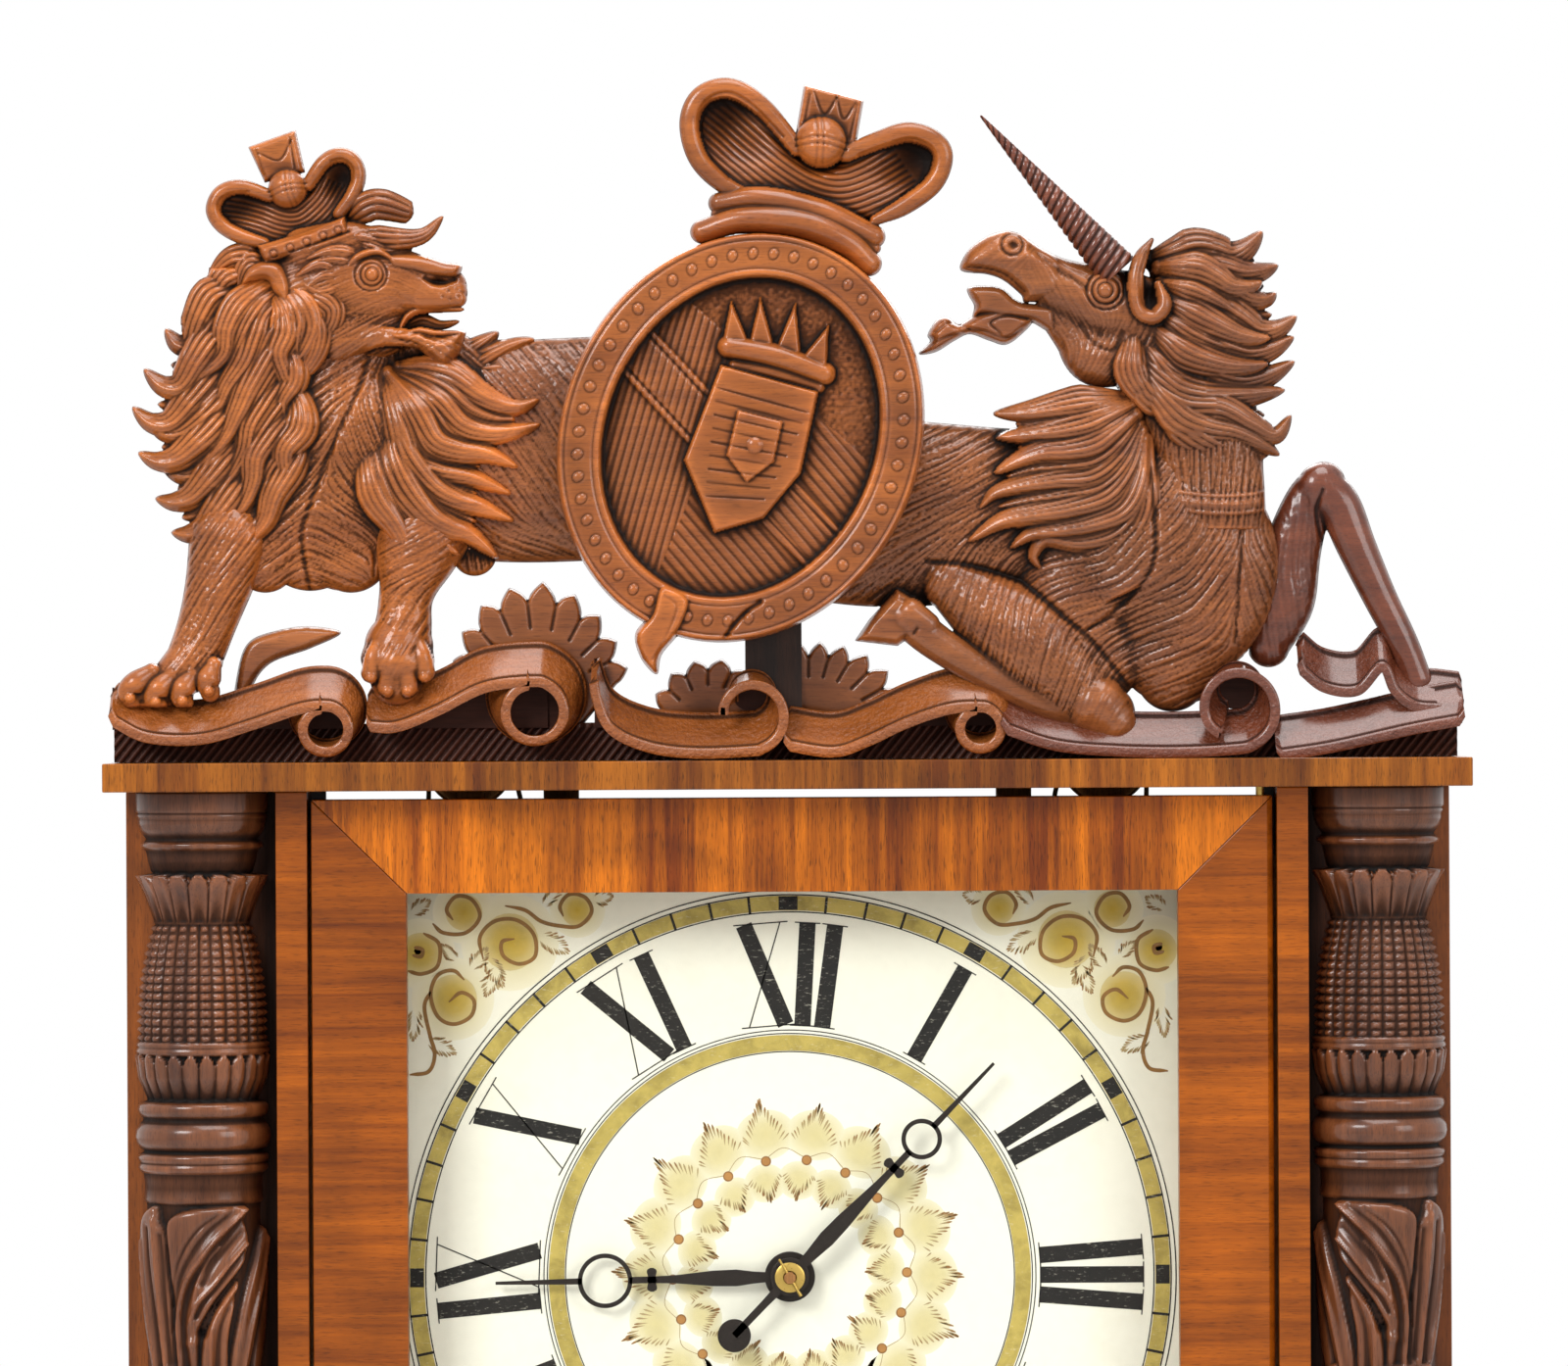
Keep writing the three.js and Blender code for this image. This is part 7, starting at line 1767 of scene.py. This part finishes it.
def hand_fittings():
    """Domed brass washer with a bevelled rim, and the slanting tapered pin through the arbor's tip."""
    low, high = node_box("hand_washer")
    washer = [(2.0, high[1]), (4.8, high[1]), (5.05, high[1] - 0.15), (5.05, high[1] - 0.4),
              (4.5, low[1] + 0.05), (2.3, low[1])]
    points, quads = lathe(washer, (0, 0, DIAL_Z), "Y", 48, True)
    form = Form().add(points, quads[:, ::-1])
    pin_low, pin_high = node_box("hand_pin")
    y = node_middle("hand_pin")[1]
    ends = np.array([(pin_low[0], y, pin_high[2]), (pin_high[0], y, pin_low[2])])
    t = np.linspace(0, 1, 8)[:, None]
    pin = Form().add(*tube(ends[0] + (ends[1] - ends[0]) * t, np.linspace(0.42, 0.58, 8), 12))
    return form, pin


# WEIGHTS, PULLEYS, CORDS, PENDULUM AND STRIKE


def weight(name):
    """Cast weight: a slightly barrelled cylinder with rounded ends, a sprue ring and a wire hook eye."""
    low, high = node_box(name)
    middle = node_middle(name)
    line_x, r, hook = 122.6, 20.0, 10
    x, y, top = math.copysign(line_x, middle[0]), middle[1], high[2] - hook
    profile = [(r - 4, low[2]), (r - 1.6, low[2] + 0.2), (r - 0.5, low[2] + 1.2), (r - 0.1, low[2] + 4),
               (r, (low[2] + top) / 2), (r - 0.1, top - 8), (r - 0.6, top - 6), (r - 3, top - 2.6),
               (r - 6.5, top - 0.4), (7, top), (6.4, top + 0.8), (3, top + 0.9)]
    form = Form().add(*lathe(profile, (x, y, 0), sides=72))
    a = np.linspace(-0.5 * np.pi - 0.5, 1.5 * np.pi + 0.5, 40)
    eye = np.column_stack([x + 3.4 * np.cos(a), np.full(40, y), high[2] - 4.7 + 3.4 * np.sin(a)])
    return form.add(*tube(eye, 1.1, 10)).add(*tube([(x, y, top - 1), (x, y, high[2] - 7.2)], 1.5, 10))


def pulley(name):
    """Grooved pulley with a chamfered rim, lightened face and its steel axle pin."""
    middle = node_middle(name)
    half, flange, groove = 4.0, 15.4, 13.0
    profile = [(4, -half), (9, -half), (10, -half + 0.7), (13.5, -half + 0.7), (14.4, -half),
               (flange, -half + 0.5), (groove + 0.6, -1.4), (groove, -0.5), (groove, 0.5),
               (groove + 0.6, 1.4), (flange, half - 0.5), (14.4, half), (13.5, half - 0.7), (10, half - 0.7),
               (9, half), (4, half)]
    wheel = Form().add(*lathe(profile, middle, "Y", 56))
    return wheel.add(*lathe([(1.2, -9.9), (1.5, -9.6), (1.5, 9.6), (1.2, 9.9)], middle, "Y", 20))


def cord(name, side):
    """Laid cord in two runs: round the pulley from the drum, and down to the weight's hook."""
    end, y = node_box(name)[0][2], node_middle(name)[1]
    radius, run, drum_run, lay = 0.88, 14.1, 15.1, 3.4
    px, _, pz = node_middle(name.replace("cord", "pulley"))
    drum_x, drum_drop = 32.02, 33.3
    dx, dz = side * drum_x, DIAL_Z - drum_drop
    gap = np.array([dx - px, dz - pz])
    lean = math.asin((run + drum_run) / np.linalg.norm(gap))
    heading = math.atan2(gap[1], -side * gap[0]) - lean
    normal = np.array([math.sin(heading) * side, math.cos(heading)])
    start = np.array([dx, dz]) - normal * drum_run
    first = math.atan2(normal[1], normal[0])
    last = math.pi if side < 0 else 0.0
    arc = np.linspace(first, last, 26)[:, None]
    bend = np.array([px, pz]) + run * np.hstack([np.cos(arc), np.sin(arc)])
    straight = start + (bend[0] - start) * np.linspace(0, 1, 120)[:-1, None]
    over = np.vstack([straight, bend])
    fixed = np.column_stack([over[:, 0], np.full(len(over), y), over[:, 1]])
    rows, overlap = 330, 2.5
    drop = np.linspace(pz, end - overlap, rows)
    hanging = np.column_stack([np.full(rows, bend[-1, 0]), np.full(rows, y), drop])
    return Form().add(*tube(fixed, radius, 12, lay)), Form().add(*tube(hanging, radius, 12, lay)), pz, end


def bob():
    """Pendulum bob: two shallow brass domes on a rim."""
    low, high = node_box("pendulum_bob")
    _, y, z = node_middle("pendulum_bob")
    half, r = (high[1] - low[1]) / 2, 27.6
    a = np.linspace(0.12, np.pi / 2 - 0.08, 16)
    front = np.column_stack([r * np.sin(a), -half * np.cos(a)])
    profile = np.vstack([front, [(r, -0.7), (r + 0.3, 0), (r, 0.7)], (front * (1, -1))[::-1]])
    return Form().add(*lathe(profile, (0, y, z), "Y", 72))


def bell():
    """Bell: a flared cup of even wall on a short stud, open to the front."""
    x, _, z = node_middle("bell")
    (_, mouth, _), (_, back, _) = node_box("bell")
    r = 30.0
    outer = smooth_path([(3, back - 5), (0.45 * r, back - 5.8), (0.8 * r, back - 9), (0.95 * r, mouth + 5),
                         (r, mouth + 0.3)], 30)
    inner = smooth_path([(r - 1.6, mouth), (0.95 * r - 1.8, mouth + 5), (0.8 * r - 1.6, back - 10.8),
                         (0.42 * r, back - 8), (1.5, back - 7.6)], 26)
    profile = np.vstack([[(3, back)], [(3, back - 4.9)], outer, [(r - 0.5, mouth)], inner])
    points, *faces = lathe(profile, (x, 0, z), "Y", 72)
    return Form().add(points, *(f[:, ::-1] for f in faces))


def hammer():
    """Strike hammer: arbor, bent wire arm and a waisted head with a leather face."""
    low, high = node_box("hammer")
    arm_y, bell_z, arbor_x, arbor_z = 44.8, 215.0, 52.15, high[2] - 2.03
    head_x = 68.9
    form = Form().add(*lathe([(1.6, low[1]), (2.0, low[1] + 0.4), (2.0, high[1] - 3.9),
                              (1.7, high[1] - 3.5)], (arbor_x, 0, arbor_z), "Y", 24))
    wire = smooth_path([(arbor_x, arm_y, arbor_z), (arbor_x + 2.2, arm_y, arbor_z - 30),
                        (arbor_x + 8.5, arm_y, 300), (head_x, arm_y, bell_z)], 40)
    form.add(*tube(wire, 1.3, 12))
    profile = np.array([(3.4, -6.4), (4.6, -6.0), (4.9, -5.2), (4.9, -2.6), (3.8, -1.0), (3.8, 1.0),
                        (4.9, 2.6), (4.9, 5.2), (4.6, 6.0), (3.4, 6.4)])
    points, *faces = lathe(profile, (0, 0, 0), sides=40)
    head = np.column_stack([points[:, 2] + head_x, points[:, 1] + arm_y, -points[:, 0] + bell_z])
    return form.add(head, *faces)


def catch():
    """Door catch: a turned knob with a ringed neck on a spindle, and the turn bar behind the stile."""
    low, high = node_box("door_catch")
    knob_z = 324.0
    x, z = node_middle("door_catch")[0], knob_z
    profile = swell([(2.2, low[1] + 0.05), (5.6, low[1] + 1.0), (8.5, low[1] + 4.4), (8.9, low[1] + 7.0),
                     (7.6, low[1] + 9.6), (4.6, low[1] + 11.2)], 6)
    neck = [(3.9, low[1] + 11.4), (3.9, low[1] + 11.9), (5.6, low[1] + 12.1), (6.2, low[1] + 12.8),
            (6.2, low[1] + 13.8), (2.4, low[1] + 14.0), (2.4, high[1] - 0.2)]
    knob = Form().add(*lathe(np.vstack([profile, neck]), (x, 0, z), "Y", 56))
    a = np.linspace(0, np.pi, 16)
    outline = np.vstack([np.column_stack([x + 3 * np.cos(a), z + 3 * np.sin(a)]),
                         np.column_stack([x - 3 * np.cos(a), low[2] + 3 - 3 * np.sin(a)])])
    return knob.add(*slab(outline, high[1] - 2.2, high[1], 0.4))


# OPERATORS

CASE_FINISH = {
    "veneer_upright": ("case_left_side", "case_right_side", "base_board", "door_top_rail", "door_bottom_rail",
                       "door_middle_rail"),
    "veneer_level": ("left_door_jamb", "right_door_jamb", "door_left_stile", "door_right_stile"),
    "veneer_edge": ("cornice",),
    "veneer_painted_shade": ("left_front_panel", "right_front_panel"),
    "pine": ("back_board", "left_movement_rail", "right_movement_rail"),
    "dark_plain": ("crest_brace",),
    "brass": ("upper_door_pivot", "lower_door_pivot"),
    "glass": ("dial_glass",),
    "mirror": ("mirror_glass",),
}
WORKS_FINISH = {
    "cherry": ("front_plate", "back_plate", "hour_wheel", "minute_wheel", "time_great_wheel", "third_wheel",
               "centre_arbor", "time_drum", "strike_drum"),
    "brass": ("escape_wheel",),
    "steel": ("verge", "pendulum_rod"),
}


def dress(table, bevel):
    """Gives CAD nodes their finish, and a small bevel over welded edges."""
    for finish_name, names in table.items():
        for name in names:
            obj = NODES[name]
            obj.data.materials.clear()
            obj.data.materials.append(FINISHES[finish_name])
            weld = obj.modifiers.new("Weld", "WELD")
            weld.merge_threshold = 1e-5
            if finish_name in ("glass", "mirror"):
                continue
            soft = obj.modifiers.new("Bevel", "BEVEL")
            soft.width, soft.segments = bevel * MM, 2
            soft.limit_method, soft.angle_limit = "ANGLE", math.radians(35)


class CLOCK_OT_finishes(bpy.types.Operator):
    """Make every wood, metal and paint finish of the clock"""
    bl_idname = "clock.finishes"
    bl_label = "Finishes"

    def execute(self, context):
        make_finishes()
        return {"FINISHED"}


class CLOCK_OT_case(bpy.types.Operator):
    """Finish the case, door, glass and works that are shown as built"""
    bl_idname = "clock.case"
    bl_label = "Case and works"

    def execute(self, context):
        dress(CASE_FINISH, 0.45)
        dress(WORKS_FINISH, 0.2)
        # Dark fillets behind the door's top corners are painted shade for the gap between jamb and stile.
        for side in ("left", "right"):
            gap_shade_fillet(side).piece(f"{side}_gap_shade_fillet", "dark_plain", "case", "dark")
        return {"FINISHED"}


def gap_shade_fillet(side):
    """Short fillet on a jamb behind the top of the door's stile, dark as painted shade in the gap between
    them.
    """
    jamb, stile = node_box(f"{side}_door_jamb"), node_box(f"door_{side}_stile")
    x0, x1 = jamb[1][0] - 0.3, stile[0][0] + 4.0
    if side == "right":
        x0, x1 = stile[1][0] - 4.0, jamb[0][0] + 0.3
    z0, z1 = stile[1][2] - 20.0, jamb[1][2] - 0.1
    back = stile[1][1]
    return Form().add(*slab([(x0, z0), (x1, z0), (x1, z1), (x0, z1)], back + 1.5, back + 5.0))


def carve(*rows):
    """Makes carved pieces of the crest from rows of name, shape, finish and any CAD node replaced."""
    for name, shape, finish_name, *replaced in rows:
        shape().piece(name, finish_name, "case", "carved", replaced, 0)


class CLOCK_OT_lion(bpy.types.Operator):
    """Carve the lion: trunk, forelegs, mane and crowned head"""
    bl_idname = "clock.lion"
    bl_label = "Lion"

    def execute(self, context):
        carve(("lion_trunk", lion_trunk, "carved_shade", "lion"), ("lion_legs", lion_legs, "carved"),
              ("lion_mane", lion_mane, "carved"), ("lion_head", lion_head, "carved"))
        return {"FINISHED"}


class CLOCK_OT_unicorn(bpy.types.Operator):
    """Carve the unicorn: body, far leg, maned head and twisted horn"""
    bl_idname = "clock.unicorn"
    bl_label = "Unicorn"

    def execute(self, context):
        carve(("unicorn_body", unicorn_body, "carved_shade", "unicorn"),
              ("unicorn_far_leg", unicorn_leg, "carved_dark"),
              ("unicorn_head", unicorn_head, "carved_shade"),
              ("unicorn_twisted_horn", horn, "carved_dark", "unicorn_horn"))
        return {"FINISHED"}


class CLOCK_OT_cartouche(bpy.types.Operator):
    """Carve the oval cartouche and the crown over it"""
    bl_idname = "clock.cartouche"
    bl_label = "Cartouche and crown"

    def execute(self, context):
        carve(("belted_oval", oval_relief, "carved", "cartouche"),
              ("looped_crown", crown_relief, "carved", "cartouche_crown"))
        return {"FINISHED"}


class CLOCK_OT_crest_base(bpy.types.Operator):
    """Cut the crest's base, its curling ribbons and leaf sprays"""
    bl_idname = "clock.crest_base"
    bl_label = "Ribbons and leaves"

    def execute(self, context):
        width = sizes().ribbon_width / MM
        crest_board().piece("hatched_base", "carved_dark", "case", "carved", ("crest_base",), 30)
        for n, (shade, y, path, roll) in enumerate(RIBBONS):
            ribbon(path, roll, y, width).piece(f"ribbon_{n + 1}", shade, "case", "carved", (), 50)
            if n < GROUNDED_RIBBONS:
                ground = ribbon_web(path, roll, y, width)
                ground.piece(f"ribbon_ground_{n + 1}", "carved_dark", "case", "carved", (), 30)
        for n, spray in enumerate(SPRAYS_OF_LEAVES):
            leaf_spray(*spray).piece(f"leaf_spray_{n + 1}", "carved_shade", "case", "carved", (), 0)
        carve(("ribbon_end_leaf", end_leaf, "carved_shade"))
        return {"FINISHED"}


class CLOCK_OT_columns(bpy.types.Operator):
    """Turn and carve the two half columns"""
    bl_idname = "clock.columns"
    bl_label = "Columns"

    def execute(self, context):
        for name, side in (("left", -1), ("right", 1)):
            column(side).piece(f"{name}_carved_column", "turned", "case", "dark", (f"{name}_column",), 0)
        return {"FINISHED"}


class CLOCK_OT_feet(bpy.types.Operator):
    """Turn the four feet"""
    bl_idname = "clock.feet"
    bl_label = "Feet"

    def execute(self, context):
        for name in ("front_left_foot", "front_right_foot", "back_left_foot", "back_right_foot"):
            foot(name).piece(f"turned_{name}", "turned", "case", "dark", (name,), 50)
        return {"FINISHED"}


class CLOCK_OT_dial(bpy.types.Operator):
    """Finish the dial board and paint its track, numerals, wreath and corners"""
    bl_idname = "clock.dial"
    bl_label = "Dial"

    def execute(self, context):
        dress({"dial_ground": ("dial",)}, 0.3)
        for colour, form in dial_paint().forms.items():
            form.piece(f"dial_{colour}", colour, "case", "cream", (), 30)
        return {"FINISHED"}


class CLOCK_OT_hands(bpy.types.Operator):
    """Cut the two hands, their washer and pin"""
    bl_idname = "clock.hands"
    bl_label = "Hands"

    def execute(self, context):
        thick = sizes().hand_thickness / MM
        front = node_middle("hour_hand")[1] - thick / 2
        hour = hand(turn=269.0, length=99.4, ring_at=62.4, ring_outer=9.2, bar_at=46.6, boss=8.2, y0=front,
                    y1=front + thick)
        hour.piece("pierced_hour_hand", "blued", "hour", "iron", ("hour_hand",), 30)
        front = node_middle("minute_hand")[1] - thick / 2
        minute = hand(turn=43.9, length=99.7, ring_at=64.4, ring_outer=6.85, bar_at=50.9, boss=6.3, y0=front,
                      y1=front + thick, tail=(27.2, 5.6))
        minute.piece("pierced_minute_hand", "blued", "minute", "iron", ("minute_hand",), 30)
        washer, pin = hand_fittings()
        washer.piece("domed_hand_washer", "brass", "minute", "brass", ("hand_washer",), 30)
        pin.piece("tapered_hand_pin", "brass", "minute", "brass", ("hand_pin",), 40)
        return {"FINISHED"}


class CLOCK_OT_catch(bpy.types.Operator):
    """Turn the door's catch"""
    bl_idname = "clock.catch"
    bl_label = "Door catch"

    def execute(self, context):
        catch().piece("turned_door_catch", "brass", "catch", "brass", ("door_catch",), 40)
        return {"FINISHED"}


class CLOCK_OT_weights(bpy.types.Operator):
    """Cast the weights and lay their cords over the pulleys"""
    bl_idname = "clock.weights"
    bl_label = "Weights and cords"

    def execute(self, context):
        for train, side in (("time", -1), ("strike", 1)):
            for part, shape, verb, slot in (("weight", weight, "cast", "iron"),
                                            ("pulley", pulley, "turned", "cherry")):
                name = f"{train}_{part}"
                shape(name).piece(f"{verb}_{name}", slot, name, slot, (name,), 40)
            fixed, hanging, top, low = cord(f"{train}_cord", side)
            fixed.piece(f"{train}_cord_over_pulley", "cord", "case", "cord", (f"{train}_cord",), 0)
            fall = hanging.piece(f"{train}_cord_fall", "cord", "case", "cord", (), 0)
            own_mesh(fall)
        return {"FINISHED"}


class CLOCK_OT_strike(bpy.types.Operator):
    """Shape the pendulum bob, bell and hammer"""
    bl_idname = "clock.strike"
    bl_label = "Bob, bell and hammer"

    def execute(self, context):
        bob().piece("lens_bob", "brass", "pendulum", "brass", ("pendulum_bob",), 40)
        bell().piece("cast_bell", "brass", "case", "brass", ("bell",), 40)
        hammer().piece("wire_hammer", "steel", "hammer", "steel", ("hammer",), 40)
        return {"FINISHED"}


class CLOCK_OT_stage(bpy.types.Operator):
    """Set the floor, soft lamps, white surround and camera"""
    bl_idname = "clock.stage"
    bl_label = "Stage"

    def execute(self, context):
        scene = context.scene
        scene.view_settings.view_transform = "Standard"
        floor()
        surround(scene)
        middle = np.array([0.0, 0.0, 0.62])
        for name, place, size, power in (("lamp_left", (-1.6, -2.1, 2.1), 1.1, 58),
                                         ("lamp_right", (1.9, -2.0, 1.5), 1.3, 24),
                                         ("lamp_top", (0.2, -0.5, 2.5), 1.3, 34),
                                         ("lamp_back", (0.3, 2.2, 1.9), 1.6, 22)):
            lamp = bpy.data.lights.new(name, "AREA")
            lamp.energy, lamp.size = power, size
            obj = bpy.data.objects.new(name, lamp)
            obj.location = place
            obj.rotation_euler = look(middle - np.array(place))
            scene.collection.objects.link(obj)
        camera = bpy.data.cameras.new("camera")
        camera.sensor_width = 36.0
        distance = sizes().camera_distance
        camera.lens = camera.sensor_width * (distance + PLANE_Y * MM) / (PICTURE_WIDTH * PICTURE_UNIT * MM)
        obj = bpy.data.objects.new("camera", camera)
        centre = picture((PICTURE_WIDTH / 2, PICTURE_HEIGHT / 2)) * MM
        camera_drop = 0.0011
        obj.location = (centre[0], -distance, centre[1] - camera_drop)
        obj.rotation_euler = (math.radians(90), PICTURE_ROLL, 0)
        scene.collection.objects.link(obj)
        scene.camera = obj
        return {"FINISHED"}


def look(way):
    """Euler angles that turn a lamp's down axis along a direction."""
    flat = math.hypot(way[0], way[1])
    return (math.atan2(flat, -way[2]), 0.0, math.atan2(way[1], way[0]) - math.pi / 2)


def floor():
    """Pale floor: one square sheet under the feet, with faint mottling."""
    mesh = bpy.data.meshes.new("floor")
    x, y = np.meshgrid(np.linspace(-3, 3, 5), np.linspace(-3, 3, 5))
    points = np.stack([x, y, np.full(x.shape, -0.0006)], -1).reshape(-1, 3)
    mesh.from_pydata(points.tolist(), [], grid_quads(5, 5).tolist())
    m = Mixer("pale_floor")
    mottle = m.noise((3, 3, 3), 4, 0.6)
    shade = m.mix(mottle, (0.80, 0.80, 0.79), (0.86, 0.86, 0.85))
    mesh.materials.append(m.finish(Base_Color=shade, Roughness=0.6))
    obj = bpy.data.objects.new("floor", mesh)
    bpy.context.scene.collection.objects.link(obj)


def surround(scene):
    """World: soft grey light on the object, plain white where the camera, metal or glass sees past it."""
    world = bpy.data.worlds.new("surround")
    world.use_nodes = True
    scene.world = world
    tree = world.node_tree
    shade = tree.nodes["Background"]
    path = tree.nodes.new("ShaderNodeLightPath")
    seen = path.outputs["Is Camera Ray"]
    for other in ("Is Glossy Ray", "Is Transmission Ray"):
        join = tree.nodes.new("ShaderNodeMath")
        join.operation = "MAXIMUM"
        tree.links.new(seen, join.inputs[0])
        tree.links.new(path.outputs[other], join.inputs[1])
        seen = join.outputs[0]
    mix = tree.nodes.new("ShaderNodeMix")
    mix.data_type = "RGBA"
    tree.links.new(seen, mix.inputs[0])
    mix.inputs[6].default_value = (0.27, 0.27, 0.28, 1)
    mix.inputs[7].default_value = (1, 1, 1, 1)
    tree.links.new(mix.outputs[2], shade.inputs["Color"])
    shade.inputs["Strength"].default_value = 1.0


STEPS = (CLOCK_OT_finishes, CLOCK_OT_case, CLOCK_OT_lion, CLOCK_OT_unicorn, CLOCK_OT_cartouche,
         CLOCK_OT_crest_base, CLOCK_OT_columns, CLOCK_OT_feet, CLOCK_OT_dial, CLOCK_OT_hands, CLOCK_OT_catch,
         CLOCK_OT_weights, CLOCK_OT_strike, CLOCK_OT_stage)


class CLOCK_PT_panel(bpy.types.Panel):
    """Lists the clock's build steps, sizes and colours"""
    bl_idname = "CLOCK_PT_panel"
    bl_label = "Carved shelf clock"
    bl_space_type = "VIEW_3D"
    bl_region_type = "UI"
    bl_category = "Clock"

    def draw(self, context):
        for step in STEPS:
            self.layout.operator(step.bl_idname)
        for group in (context.scene.clock_sizes, context.scene.clock_finish):
            box = self.layout.box()
            for key in group.__annotations__:
                box.prop(group, key)


CLASSES = (ClockFinish, ClockSizes, *STEPS, CLOCK_PT_panel)


def register():
    for made in CLASSES:
        bpy.utils.register_class(made)
    bpy.types.Scene.clock_finish = bpy.props.PointerProperty(type=ClockFinish)
    bpy.types.Scene.clock_sizes = bpy.props.PointerProperty(type=ClockSizes)


def unregister():
    del bpy.types.Scene.clock_sizes
    del bpy.types.Scene.clock_finish
    for made in reversed(CLASSES):
        bpy.utils.unregister_class(made)


def main():
    """Builds the clock step by step."""
    register()
    for step in STEPS:
        group, name = step.bl_idname.split(".")
        getattr(getattr(bpy.ops, group), name)()


if __name__ == "__main__":
    main()
